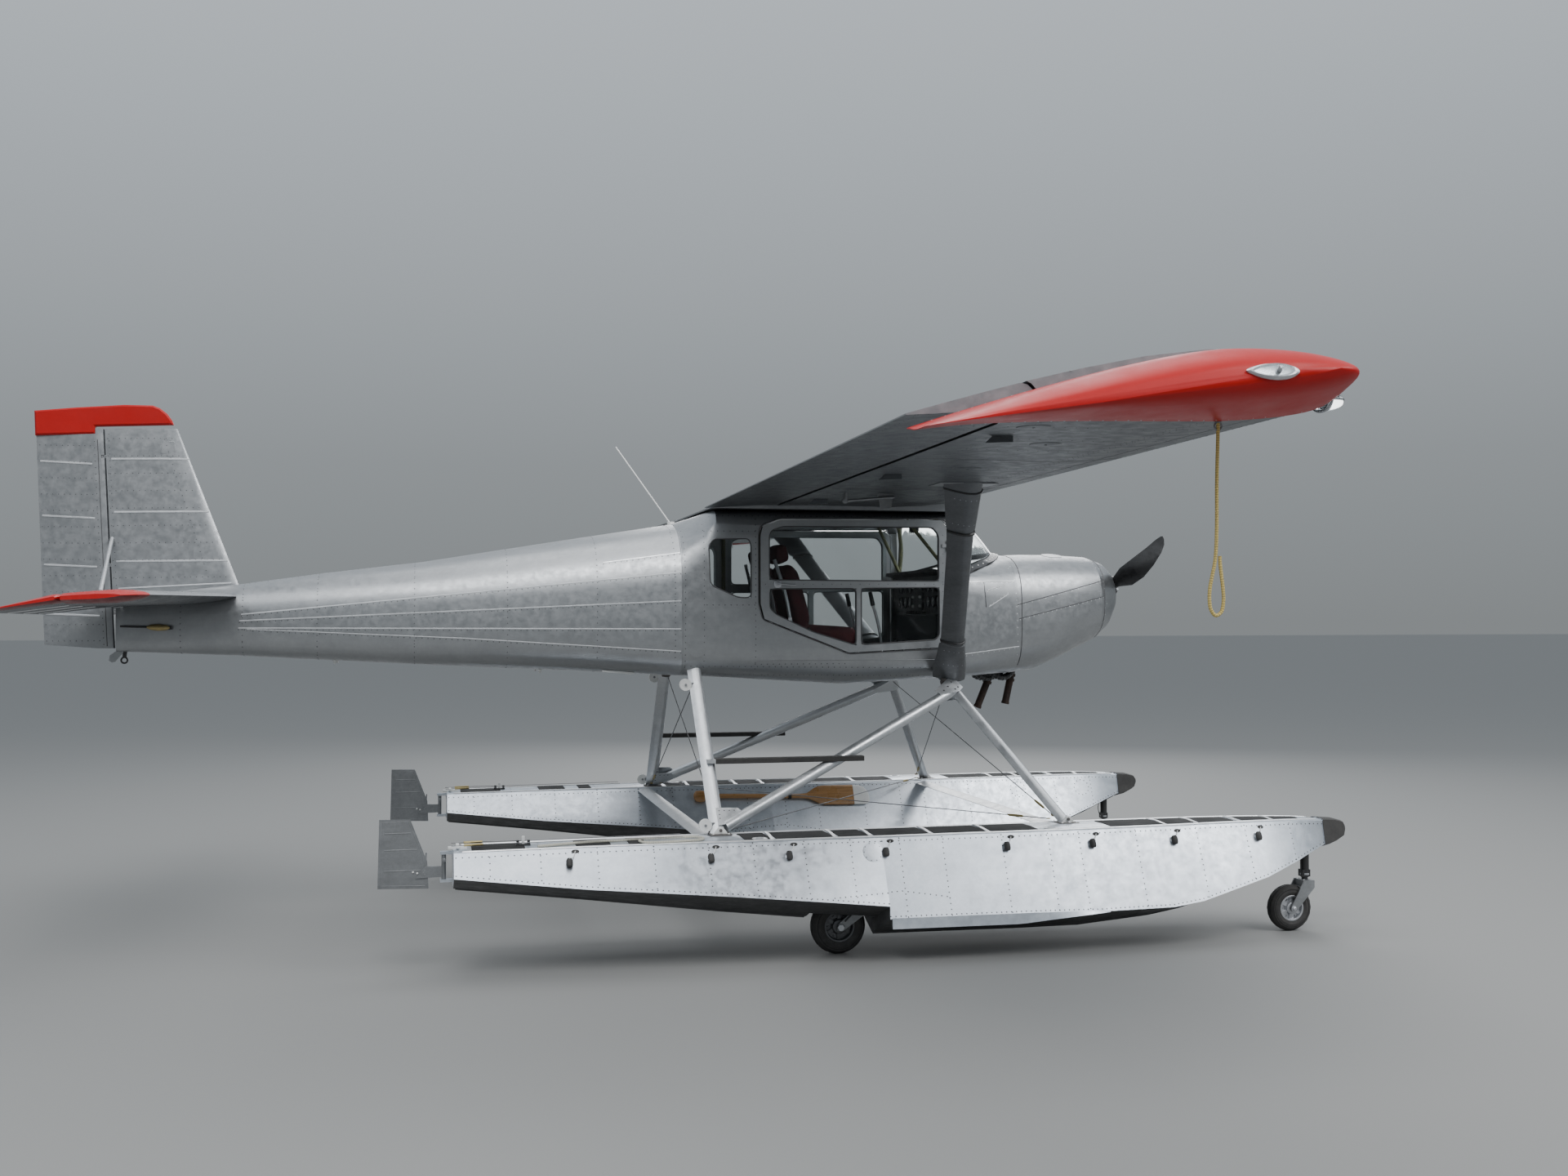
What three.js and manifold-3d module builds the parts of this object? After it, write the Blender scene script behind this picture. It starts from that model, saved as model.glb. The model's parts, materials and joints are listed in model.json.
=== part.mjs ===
// A high-wing bush aeroplane on amphibious floats, parked on its wheels.
// Millimetres. +X is the nose, +Y the port side, +Z up. The origin is on the ground under the
// middle of the aircraft's box. The fuselage sits about 3 degrees nose-up, the floats level.
import * as THREE from 'three';
import { mergeVertices } from 'three/addons/utils/BufferGeometryUtils.js';
import Module from 'manifold-3d';

const wasm = await Module();
wasm.setup();

// Driving sizes
const GAP = 0.3; // between two pieces that touch
const PORT = 1;
const STARBOARD = -1;
const NOSE_UP = 0.052; // slope of the fuselage's datum to the ground
const FIREWALL = 1946;

const WING = {
  chord: 1522, leadingX: 1562, leadingZ: 2440, rise: 0.0091, washIn: 120,
  rootY: 598, panelEndY: 4316, tipY: 4570, hinge: 0.74, cove: 7,
};
const SKIN = { roof: 10, cone: 14, cowl: 12 };
const DOOR = { thick: 28, gap: 8, hingeX: 1452, outerY: 575, glass: 4 };
const FLOAT = { y: 1306, sternX: -1320, wellHalf: 76, wellTop: 330 };
const MAIN_WHEEL = { x: 607, radius: 142.5, half: 48, bore: 9.5, axle: 9 };
const NOSE_WHEEL = { x: 3169, radius: 125, half: 38, bore: 8.5, axle: 8, swivelX: 3267 };
const PROP = { x: 2712, z: 1905, radius: 820, raise: 17 * Math.PI / 180, hub: 75 };
const RUDDER = { footX: -3117, footZ: 1543, lean: 0.0519, nose: 20 };
const ELEVATOR = { hingeX: -3083, hingeZ: 1808, nose: 22, droop: 8 * Math.PI / 180, span: 1520 };
const FEET = { y: 1163, rearX: 7, frontX: 1866, topY: 545, rearTopX: 0, frontTopX: 1446 };
const SPREADER = { rearX: -45, frontX: 1862, z: 590, chord: 90, thick: 32 };
const WATER_RUDDER = { x: -1365, pinR: 11 };

// Finishes: colour, roughness, metalness
const FINISH = {
  skin: [0x9a9d9e, 0.42, 0.75], floatSkin: [0xc9ccd0, 0.38, 0.7], tube: [0xb9bdc0, 0.35, 0.8],
  red: [0xc8201c, 0.25, 0.0], black: [0x141516, 0.4, 0.0], rubber: [0x1b1b1c, 0.8, 0.0],
  glass: [0xbfd0d6, 0.05, 0.0], steel: [0x8a8d90, 0.4, 0.9], rust: [0x6d4634, 0.6, 0.7],
  seat: [0x3a1518, 0.8, 0.0], wood: [0xb9803f, 0.5, 0.0], rope: [0xd0b24a, 0.9, 0.0],
  iron: [0x4a4c4e, 0.6, 0.6], plate: [0x6c7073, 0.5, 0.5],
};

const plane = new THREE.Group();
const v3 = (x, y, z) => new THREE.Vector3(x, y, z);

// A closed geometry becomes a solid once its shared vertices are merged.
function solid(geometry) {
  const bare = geometry.clone();
  bare.deleteAttribute('normal');
  bare.deleteAttribute('uv');
  const merged = mergeVertices(bare, 1e-4);
  return new wasm.Manifold(new wasm.Mesh({
    numProp: 3,
    vertProperties: new Float32Array(merged.attributes.position.array),
    triVerts: new Uint32Array(merged.index.array),
  }));
}

// Adds one named sub-part with its own finish.
function add(name, body, finish) {
  const mesh = body.getMesh();
  const geometry = new THREE.BufferGeometry();
  geometry.setAttribute('position', new THREE.BufferAttribute(new Float32Array(mesh.vertProperties), 3));
  geometry.setIndex(new THREE.BufferAttribute(new Uint32Array(mesh.triVerts), 1));
  geometry.computeVertexNormals();
  const [color, roughness, metalness] = finish;
  const node = new THREE.Mesh(geometry, new THREE.MeshStandardMaterial({ color, roughness, metalness }));
  node.name = name;
  plane.add(node);
}

// Flat triangles over one planar ring, by Newell's normal and ear clipping.
function capFaces(ring) {
  const normal = v3(0, 0, 0);
  ring.forEach((p, i) => {
    const q = ring[(i + 1) % ring.length];
    normal.x += (p.y - q.y) * (p.z + q.z);
    normal.y += (p.z - q.z) * (p.x + q.x);
    normal.z += (p.x - q.x) * (p.y + q.y);
  });
  normal.normalize();
  const side = Math.abs(normal.x) < 0.8 ? v3(1, 0, 0) : v3(0, 1, 0);
  const u = side.clone().cross(normal).normalize();
  const w = normal.clone().cross(u);
  const flat = ring.map((p) => new THREE.Vector2(p.dot(u), p.dot(w)));
  return THREE.ShapeUtils.triangulateShape(flat, []);
}

// Closed solid through rings with the same number of points, ends capped flat.
function loft(rings) {
  const count = rings[0].length;
  const index = [];
  for (let i = 0; i + 1 < rings.length; i += 1) {
    for (let j = 0; j < count; j += 1) {
      const a = i * count + j;
      const b = i * count + ((j + 1) % count);
      index.push(a, b, b + count, a, b + count, a + count);
    }
  }
  const last = (rings.length - 1) * count;
  capFaces(rings[0]).forEach(([a, b, c]) => index.push(a, c, b));
  capFaces(rings[rings.length - 1]).forEach(([a, b, c]) => index.push(last + a, last + b, last + c));
  const points = rings.flat();
  const position = new Float32Array(points.flatMap((p) => [p.x, p.y, p.z]));
  let volume = 0;
  for (let i = 0; i < index.length; i += 3) {
    volume += points[index[i]].dot(points[index[i + 1]].clone().cross(points[index[i + 2]]));
  }
  if (volume < 0) {
    for (let i = 0; i < index.length; i += 3) {
      [index[i + 1], index[i + 2]] = [index[i + 2], index[i + 1]];
    }
  }
  const geometry = new THREE.BufferGeometry();
  geometry.setAttribute('position', new THREE.BufferAttribute(position, 3));
  geometry.setIndex(index);
  return solid(geometry);
}

const box = (x0, x1, y0, y1, z0, z1) => solid(new THREE.BoxGeometry(x1 - x0, Math.abs(y1 - y0), z1 - z0)
  .translate((x0 + x1) / 2, (y0 + y1) / 2, (z0 + z1) / 2));

// Prism: an outline of [x, z] pairs carried from one y to another.
const prism = (outline, y0, y1) => loft([y0, y1].map((y) => outline.map(([x, z]) => v3(x, y, z))));

// Round bar between two points.
function rod(a, b, radius, sides = 12) {
  const along = b.clone().sub(a);
  const turn = new THREE.Quaternion().setFromUnitVectors(v3(0, 1, 0), along.clone().normalize());
  const middle = a.clone().add(b).multiplyScalar(0.5);
  return solid(new THREE.CylinderGeometry(radius, radius, along.length(), sides)
    .applyQuaternion(turn).translate(middle.x, middle.y, middle.z));
}

// Hinge with its lug on the fixed piece and its pin across a slot in the moving one.
function hingeSet(at, axis, ahead, reach, size = 11, open = 26) {
  const half = (length) => axis.clone().multiplyScalar(length);
  const disc = (radius, length, sides = 16) => rod(at.clone().sub(half(length)), at.clone().add(half(length)),
    radius, sides);
  const side = axis.clone().cross(ahead).normalize();
  const bar = (width, length, far) => loft([at, at.clone().addScaledVector(ahead, far)].map((p) => [[1, 1], [1, -1],
    [-1, -1], [-1, 1]].map(([s, t]) => p.clone().addScaledVector(side, s * width).addScaledVector(axis, t * length))));
  return {
    lug: disc(size, 4).add(bar(size * 0.8, 4, reach)).subtract(disc(4.4, 6)),
    slot: disc(size + 8, 8).add(bar(open, 8, reach + 10)),
    pin: disc(4, 10, 12),
  };
}

// Turned body: profile of [radius, along] pairs about an axis parallel to Y through (x, y, z).
function turned(profile, x, y, z, segments) {
  const points = profile.map(([r, t]) => new THREE.Vector2(r, t));
  points.push(points[0].clone());
  const body = solid(new THREE.LatheGeometry(points, segments).translate(x, y, z));
  return body;
}

// Outline moved outwards by a distance along the mean normals of its corners.
function spread(outline, distance) {
  let area = 0;
  outline.forEach(([x, z], i) => {
    const [nx, nz] = outline[(i + 1) % outline.length];
    area += x * nz - nx * z;
  });
  const way = Math.sign(area);
  return outline.map(([x, z], i) => {
    const before = outline[(i + outline.length - 1) % outline.length];
    const after = outline[(i + 1) % outline.length];
    const e1 = new THREE.Vector2(x - before[0], z - before[1]).normalize();
    const e2 = new THREE.Vector2(after[0] - x, after[1] - z).normalize();
    const n1 = new THREE.Vector2(e1.y, -e1.x).multiplyScalar(way);
    const n2 = new THREE.Vector2(e2.y, -e2.x).multiplyScalar(way);
    const mean = n1.clone().add(n2);
    const scale = (2 * distance) / mean.lengthSq();
    return [x + mean.x * scale, z + mean.y * scale];
  });
}

// Thin sheet: a grid of points given by a function of u and v, thickened along its normals.
function sheet(place, across, up, thick) {
  const at = (i, j, inward) => {
    const u = i / across;
    const v = j / up;
    const p = place(u, v);
    if (!inward) return p;
    const du = place(Math.min(u + 0.01, 1), v).sub(place(Math.max(u - 0.01, 0), v));
    const dv = place(u, Math.min(v + 0.01, 1)).sub(place(u, Math.max(v - 0.01, 0)));
    return p.add(du.cross(dv).normalize().multiplyScalar(thick));
  };
  const rings = [];
  for (let i = 0; i <= across; i += 1) {
    const outer = [];
    const inner = [];
    for (let j = 0; j <= up; j += 1) {
      outer.push(at(i, j, false));
      inner.unshift(at(i, j, true));
    }
    rings.push([...outer, ...inner]);
  }
  return loft(rings);
}

// Fuselage sections
const signedPower = (value, power) => Math.sign(value) * Math.abs(value) ** power;

// A rounded box section: higher roundness numbers make squarer shoulders.
function bodyRing(row, grow, count = 32) {
  const [x, half, top, bottom, roundTop, roundBottom, lean] = row;
  const middle = (top + bottom) / 2;
  const high = (top - bottom) / 2 + grow;
  return Array.from({ length: count }, (_, k) => {
    const a = (2 * Math.PI * (k + 0.5)) / count;
    const power = 2 / (Math.sin(a) > 0 ? roundTop : roundBottom);
    const z = middle + high * signedPower(Math.sin(a), power);
    return v3(x - lean * (z - 1430), (half + grow) * signedPower(Math.cos(a), power), z);
  });
}
const body = (rows, grow = 0) => loft(rows.map((row) => bodyRing(row, grow)));
// The same rows with the first or last one pushed along X, for a cut that runs past an end.
const pushed = (rows, first, last) => rows.map(([x, ...rest], i) => {
  const shift = i === 0 ? first : (i === rows.length - 1 ? last : 0);
  return [x + shift, ...rest];
});

// Columns: x, half width, top, bottom, roundness above, roundness below, lean
const CONE_ROWS = [
  [-3088, 52, 1838, 1541, 2.6, 4, 0], [-2800, 102, 1871, 1530, 2.5, 4, 0],
  [-2460, 161, 1908, 1516, 2.4, 4, 0], [-1999, 241, 1974, 1490, 2.4, 4.5, 0],
  [-1466, 334, 2039, 1462, 2.5, 5, 0], [-1102, 397, 2099, 1443, 2.5, 5, 0],
  [-637, 478, 2175, 1423, 2.6, 6, 0], [-80 - GAP, 575, 2262, 1394, 2.8, 8, 0],
];
const CABIN_ROWS = [
  [-80, 575, 2262, 1394, 2.8, 8, 0], [60, 575, 2306, 1389, 5, 8, 0], [112, 575, 2325, 1386, 12, 8, 0],
  [882, 575, 2325, 1337, 12, 8, 0], [1500, 575, 2325, 1366, 12, 8, 0],
];
const BOOT_ROWS = [
  [1500 + GAP, 573, 1992, 1366, 9, 8, 0], [1700, 545, 2040, 1376, 5, 6.5, 0.02],
  [1860, 505, 2076, 1382, 3.6, 4.5, NOSE_UP], [FIREWALL, 484, 2096, 1384, 3.3, 4, NOSE_UP],
];
const COWL_ROWS = [
  [FIREWALL + GAP, 484, 2096, 1384, 3.3, 4, NOSE_UP], [2110, 472, 2103, 1400, 3.1, 3.4, NOSE_UP],
  [2320, 446, 2103, 1484, 3, 3, NOSE_UP], [2510, 404, 2094, 1570, 2.8, 2.8, NOSE_UP],
];
const BOWL_ROWS = [
  [2510 + GAP, 404, 2094, 1570, 2.8, 2.8, NOSE_UP], [2600, 352, 2068, 1632, 2.6, 2.6, NOSE_UP],
  [2655, 285, 2030, 1705, 2.4, 2.4, NOSE_UP], [2684, 205, 1990, 1770, 2.2, 2.2, NOSE_UP],
  [2694, 120, 1950, 1845, 2, 2, NOSE_UP],
];

// Stabiliser and elevator share one plane that drops aft with the fuselage's datum.
// Columns: distance from the centre line, leading edge x
const TAIL_SPAN = [[0, -2437], [170, -2466], [1380, -2697], [1470, -2735], [1520, -2800]];
function tailRing(y, leadingX, endX, thick, grow) {
  const shares = [0, 0.02, 0.08, 0.2, 0.4, 0.7, 1];
  const depth = (c) => thick * (0.5 * Math.sqrt(Math.sin(Math.PI * Math.min(c, 0.5))) * (c < 0.5 ? 1
    : 1 - 0.22 * (c - 0.5) * 2)) + grow;
  const level = (x) => ELEVATOR.hingeZ + (x - ELEVATOR.hingeX) * NOSE_UP;
  const xs = shares.map((c) => leadingX + grow - c * (leadingX - endX + 2 * grow));
  const upper = xs.map((x, i) => v3(x, y, level(x) + Math.max(depth(shares[i]), 1.5)));
  const lower = xs.map((x, i) => v3(x, y, level(x) - Math.max(depth(shares[i]), 1.5)));
  return [...upper, ...lower.reverse()];
}
function stabiliser(grow) {
  const ends = [...TAIL_SPAN].reverse().map(([y, x]) => [-y, x]).concat(TAIL_SPAN.slice(1));
  return loft(ends.map(([y, x]) => {
    const near = Math.abs(y) > 1460 ? (Math.abs(y) > 1500 ? 0.35 : 0.8) : 1;
    return tailRing(y, x, ELEVATOR.hingeX + 30, 64 * near, grow);
  }));
}

const ELEVATOR_HINGES = [470, 1080];
const elevatorHinge = (y) => hingeSet(v3(ELEVATOR.hingeX, y, ELEVATOR.hingeZ), v3(0, 1, 0),
  v3(1, 0, NOSE_UP).normalize(), 34);
const eachElevatorHinge = ELEVATOR_HINGES.flatMap((y) => [elevatorHinge(-y), elevatorHinge(y)]);
const RUDDER_HINGES = [2010, 2600];
const hingeX = (z) => RUDDER.footX - (z - RUDDER.footZ) * RUDDER.lean;
const eachRudderHinge = RUDDER_HINGES.map((z) => hingeSet(v3(hingeX(z), 0, z),
  v3(-RUDDER.lean, 0, 1).normalize(), v3(1, 0, RUDDER.lean).normalize(), 34));
const lugsOf = (piece, hinges) => hinges.reduce((whole, hinge) => whole.add(hinge.lug), piece);
const slotsOf = (piece, hinges) => hinges.reduce((whole, hinge) => (
  whole.subtract(hinge.slot).add(hinge.pin)), piece);

// The tail cone is a skin, open behind the cabin's bulkhead.
const tailSlot = box(-3120, ELEVATOR.hingeX + 32, -200, 200, 1778, 1846);
let tailCone = body(CONE_ROWS);
const coneHollow = CONE_ROWS.slice(2);
tailCone = tailCone.subtract(body(pushed(coneHollow, 0, 60), -SKIN.cone));
tailCone = tailCone.subtract(stabiliser(GAP)).subtract(tailSlot);
// Keeps the largest piece where a cut leaves slivers.
const largest = (piece) => piece.decompose().sort((a, b) => b.volume() - a.volume())[0];
const tieDown = prism([[-3086, 1560], [-3030, 1560], [-3060, 1530], [-3096, 1486], [-3112, 1482],
  [-3128, 1492], [-3124, 1520], [-3086, 1548]], -9, 9);
add('tail_cone', largest(tailCone).add(tieDown), FINISH.skin);
add('stabiliser', lugsOf(stabiliser(0), eachElevatorHinge), FINISH.skin);

// Cabin: a hollow shell with door openings, rear windows and an open front.
const DOOR_OUTLINE = [
  [362, 2180], [362, 1800], [385, 1712], [872, 1522], [DOOR.hingeX, 1550], [DOOR.hingeX, 2240],
  [1420, 2276], [480, 2266], [376, 2228],
];
const UPPER_PANE = [[413, 2176], [413, 1930], [1405, 1926], [1405, 2190], [1370, 2234], [490, 2230],
  [424, 2206]];
const LOWER_REAR_PANE = [[415, 1880], [415, 1772], [450, 1738], [660, 1640], [915, 1562], [915, 1884]];
const LOWER_FRONT_PANE = [[945, 1885], [1408, 1892], [1408, 1620], [1385, 1592], [945, 1565]];
const REAR_PANE = [[70, 2119], [97, 2156], [295, 2158], [309, 2122], [310, 1831], [236, 1831], [79, 1902]];
const FLOOR_Z = 1440;
const INNER_Y = 550;
let cabin = body(CABIN_ROWS);
const cabinRoom = loft([[-60, 2232], [60, 2278], [112, 2300], [1520, 2300]].map(([x, top]) => [
  v3(x, -INNER_Y, FLOOR_Z), v3(x, INNER_Y, FLOOR_Z), v3(x, INNER_Y, top - 40),
  v3(x, INNER_Y - 60, top), v3(x, -INNER_Y + 60, top), v3(x, -INNER_Y, top - 40),
]));
cabin = cabin.subtract(cabinRoom.intersect(body(pushed(CABIN_ROWS, 0, 40), -SKIN.roof)))
  .subtract(prism(spread(DOOR_OUTLINE, DOOR.gap), -700, 700))
  .subtract(prism(REAR_PANE, -700, 700));
for (const side of [STARBOARD, PORT]) {
  cabin = cabin.subtract(prism(spread(REAR_PANE, 14 + GAP), (INNER_Y - 12) * side, INNER_Y * side));
}
// Door hinges: the shell carries the pin and outer knuckles, the door the middle one.
const HINGE = { x: 1456, y: 583, heights: [1660, 2130], radius: 7, pin: 3.5, middle: 10, end: 30 };
for (const side of [STARBOARD, PORT]) {
  for (const z of HINGE.heights) {
    const y = HINGE.y * side;
    const upright = (z0, z1, radius, sides = 12) => rod(v3(HINGE.x, y, z0), v3(HINGE.x, y, z1), radius, sides);
    const leaf = (z0, z1) => box(HINGE.x, HINGE.x + 34, Math.min(y, y - 13 * side),
      Math.max(y, y - 13 * side), z0, z1);
    for (const [z0, z1] of [[z - HINGE.end, z - HINGE.middle - GAP], [z + HINGE.middle + GAP, z + HINGE.end]]) {
      cabin = cabin.add(upright(z0, z1, HINGE.radius)).add(leaf(z0, z1));
    }
    cabin = cabin.add(upright(z - HINGE.end + 2, z + HINGE.end - 2, HINGE.pin));
  }
}
add('cabin_shell', cabin, FINISH.skin);

// Panes lie flat against the inside of the wall or the door.
for (const side of [STARBOARD, PORT]) {
  const name = side === PORT ? 'left' : 'right';
  const inside = (INNER_Y - GAP) * side;
  add(`rear_window_${name}`, prism(spread(REAR_PANE, 14), inside, inside - DOOR.glass * side), FINISH.glass);
}

// Boot cowl between the cabin and the firewall; its top is the deck inside the windscreen.
const bootOuter = body(BOOT_ROWS);
const tailPipes = (grow) => rod(v3(2006, 0, 1560), v3(1841, 0, 1169), 22 + grow, 12)
  .add(rod(v3(2118, 30, 1560), v3(2034, 30, 1188), 22 + grow, 12));
const bootHollow = body(pushed(BOOT_ROWS, -40, -SKIN.cowl), -SKIN.cowl);
add('boot_cowl', bootOuter.subtract(bootHollow).subtract(tailPipes(8)), FINISH.skin);

// Height of the boot cowl's top surface at a place, between its two nearest rows.
function bootTop(x, y) {
  const i = Math.min(BOOT_ROWS.findIndex((row) => row[0] >= x) - 1, BOOT_ROWS.length - 2);
  const [a, b] = [BOOT_ROWS[Math.max(i, 0)], BOOT_ROWS[Math.max(i, 0) + 1]];
  const t = THREE.MathUtils.clamp((x - a[0]) / (b[0] - a[0]), 0, 1);
  const [half, top, bottom, round] = [1, 2, 3, 4].map((k) => a[k] + (b[k] - a[k]) * t);
  const share = Math.max(1 - Math.abs(y / half) ** round, 0) ** (1 / round);
  return (top + bottom) / 2 + ((top - bottom) / 2) * share;
}
const SCREEN = { half: 545, footFront: 1906, footSide: 1506, headX: 1553, headZ: 2385, thick: 5, bulge: 68 };
function screenPoint(u, v) {
  const s = 2 * u - 1;
  const y = SCREEN.half * s;
  const footX = SCREEN.footFront - (SCREEN.footFront - SCREEN.footSide) * Math.abs(s) ** 2.4;
  const foot = v3(footX, y, bootTop(footX, y) + 6);
  const head = v3(SCREEN.headX - 24 * s ** 4, y, SCREEN.headZ - 40 * s ** 4);
  const middle = foot.clone().add(head).multiplyScalar(0.5);
  middle.add(v3(10, 0, SCREEN.bulge).multiplyScalar(1 - Math.abs(s) ** 3));
  return foot.lerp(middle, v).lerp(middle.lerp(head, v), v);
}
const screen = sheet(screenPoint, 20, 6, SCREEN.thick).subtract(body(BOOT_ROWS, GAP));
add('windscreen', largest(screen), FINISH.glass);

// Cowling and nose bowl, hollow, with the exhaust's opening below.
// The hollow keeps its end rows and runs on past them.
const lengthened = (rows, first, last) => [[rows[0][0] + first, ...rows[0].slice(1)], ...rows,
  [rows[rows.length - 1][0] + last, ...rows[rows.length - 1].slice(1)]];
const shell = (rows, first, last) => body(rows).subtract(body(lengthened(rows, first, last), -SKIN.cowl));
const cowlMouth = box(1958, 2125, -190, 190, 1300, 1500);
add('cowling', shell(COWL_ROWS, -60, 60).subtract(cowlMouth).subtract(tailPipes(8)), FINISH.skin);
const bowlInner = body([...BOWL_ROWS.slice(0, -1)].map((row, i) => (i === 0 ? [row[0] - 60, ...row.slice(1)]
  : [row[0] - 6, ...row.slice(1)])), -SKIN.cowl);
let bowl = body(BOWL_ROWS).subtract(bowlInner)
  .subtract(rod(v3(2560, 0, PROP.z), v3(2760, 0, PROP.z), 52, 20));
for (const side of [STARBOARD, PORT]) {
  const inlet = solid(new THREE.CylinderGeometry(1, 1, 200, 20).rotateZ(Math.PI / 2).scale(1, 78, 50)
    .translate(2680, 205 * side, PROP.z + 22));
  bowl = bowl.subtract(inlet);
}
add('nose_bowl', bowl, FINISH.skin);

// Engine as one block with its propeller flange; it stands off the firewall.
const engine = box(FIREWALL + 30, 2500, -280, 280, 1690, 2010)
  .add(rod(v3(2480, 0, PROP.z), v3(PROP.x - 26, 0, PROP.z), 42, 20))
  .add(box(FIREWALL - 35, FIREWALL + 45, -60, 60, 1800, 1860)).subtract(body(pushed(BOOT_ROWS, 0, GAP), GAP));
add('engine_block', engine, FINISH.iron);
const exhaust = rod(v3(2060, -170, 1570), v3(2060, 170, 1570), 55, 16)
  .add(box(2040, 2080, -20, 20, 1600, 1690 - GAP))
  .add(tailPipes(0));
add('exhaust', exhaust, FINISH.rust);

// Wing sections: cambered, 15 percent thick
const CAMBER = 0.034;
const camber = (c) => (c < 0.4 ? (CAMBER / 0.16) * (0.8 * c - c * c)
  : (CAMBER / 0.36) * (0.2 + 0.8 * c - c * c));
const plainDepth = (c) => 0.75 * (0.2969 * Math.sqrt(c) - 0.126 * c - 0.3516 * c ** 2 + 0.2843 * c ** 3
  - 0.1015 * c ** 4);
// The wing is drawn finer behind its thickest part.
const halfDepth = (c) => plainDepth(c) * (1 - 0.38 * Math.max((c - 0.3) / 0.7, 0));
// A point of the wing by chord share and height share, at a span station.
function wingPoint(y, c, h, change = {}) {
  const { nose = 0, tail = 0, lift = 0, drop = 0, scale = 1 } = change;
  const lead = new THREE.Vector2(WING.leadingX + nose, WING.leadingZ + WING.rise * Math.abs(y) + lift);
  const trail = new THREE.Vector2(WING.leadingX - WING.chord - tail,
    WING.leadingZ - WING.washIn + WING.rise * Math.abs(y) - drop);
  const along = trail.clone().sub(lead);
  const normal = new THREE.Vector2(along.y, -along.x).normalize();
  const p = lead.addScaledVector(along, c).addScaledVector(normal, h * scale * WING.chord);
  return v3(p.x, y, p.y);
}
const NOSE_SHARES = [0.6, 0.45, 0.3, 0.18, 0.09, 0.035, 0.008];
const hingeAt = (y) => wingPoint(y, WING.hinge, camber(WING.hinge));
const noseRadius = halfDepth(WING.hinge) * WING.chord;
// Arc about the hinge, from above to below, on its forward side.
function hingeArc(y, radius, degrees) {
  const ahead = wingPoint(y, 0, 0).sub(wingPoint(y, 1, 0)).normalize();
  const above = v3(-ahead.z, 0, ahead.x);
  return degrees.map((d) => hingeAt(y).addScaledVector(ahead, radius * Math.cos(d * Math.PI / 180))
    .addScaledVector(above, radius * Math.sin(d * Math.PI / 180)));
}
function panelRing(y) {
  const upper = NOSE_SHARES.map((c) => wingPoint(y, c, camber(c) + halfDepth(c)));
  const lower = NOSE_SHARES.map((c) => wingPoint(y, c, camber(c) - halfDepth(c))).reverse();
  const cove = hingeArc(y, noseRadius + WING.cove, [-70, -50, -30, -10, 10, 30, 50, 70]);
  return [...upper, wingPoint(y, 0, 0), ...lower, ...cove];
}
function flaperonRing(y) {
  const shares = [0.82, 0.91, 1];
  const upper = shares.map((c) => wingPoint(y, c, camber(c) + Math.max(halfDepth(c), 0.0016))).reverse();
  const lower = shares.map((c) => wingPoint(y, c, camber(c) - Math.max(halfDepth(c), 0.0016)));
  return [...upper, ...hingeArc(y, noseRadius, [90, 60, 30, 0, -30, -60, -90]), ...lower];
}
function tipRing(y, change) {
  const shares = [1, 0.9, 0.75, ...NOSE_SHARES];
  const upper = shares.map((c) => wingPoint(y, c, camber(c) + Math.max(halfDepth(c), 0.0016), change));
  const lower = shares.map((c) => wingPoint(y, c, camber(c) - Math.max(halfDepth(c), 0.0016), change)).reverse();
  return [...upper, wingPoint(y, 0, 0, change), ...lower];
}
// Columns: distance outboard, thickness left, share of the tip's nose lift and tail droop
const TIP_ROWS = [[0, 1, 0], [60, 0.97, 0.35], [120, 0.88, 0.75], [170, 0.75, 0.95], [210, 0.58, 1],
  [238, 0.37, 1], [254, 0.12, 1]];
const TIE_RING = { x: 1137, y: 4298, z: 2362 };
const FLAPERON_HINGES = [1000, 2330, 3700];
for (const side of [STARBOARD, PORT]) {
  const name = side === PORT ? 'left' : 'right';
  const hinges = FLAPERON_HINGES.map((y) => hingeSet(hingeAt(y * side),
    v3(0, 1, WING.rise * side).normalize(), v3(1, 0, 0.08).normalize(), noseRadius + 24, 14, noseRadius + 4));
  const ringOutline = [[TIE_RING.x - 14, TIE_RING.z + 60], [TIE_RING.x + 14, TIE_RING.z + 60],
    [TIE_RING.x + 10, TIE_RING.z], [TIE_RING.x - 10, TIE_RING.z]];
  const ring = prism(ringOutline, (TIE_RING.y - 6) * side, (TIE_RING.y + 6) * side);
  const panel = loft([panelRing((WING.rootY + GAP) * side), panelRing(WING.panelEndY * side)]);
  add(`wing_${name}`, lugsOf(panel.add(ring), hinges), FINISH.skin);
  add(`wing_tip_${name}`, loft(TIP_ROWS.map(([out, left, share]) => tipRing(
    (WING.panelEndY + GAP + out) * side,
    {
      nose: -12 * share - 160 * (1 - left) ** 2,
      tail: 20 * share,
      lift: 32 * share,
      drop: 47 + 26 * share,
      scale: left,
    },
  ))), FINISH.red);
  const flaperon = loft([flaperonRing((WING.rootY + 10) * side), flaperonRing((WING.panelEndY - 8) * side)]);
  add(`flaperon_${name}`, hinges.reduce((whole, hinge) => whole.subtract(hinge.slot), flaperon)
    .add(hinges.reduce((pins, hinge) => pins.add(hinge.pin), hinges[0].pin)), FINISH.skin);
}
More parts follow.
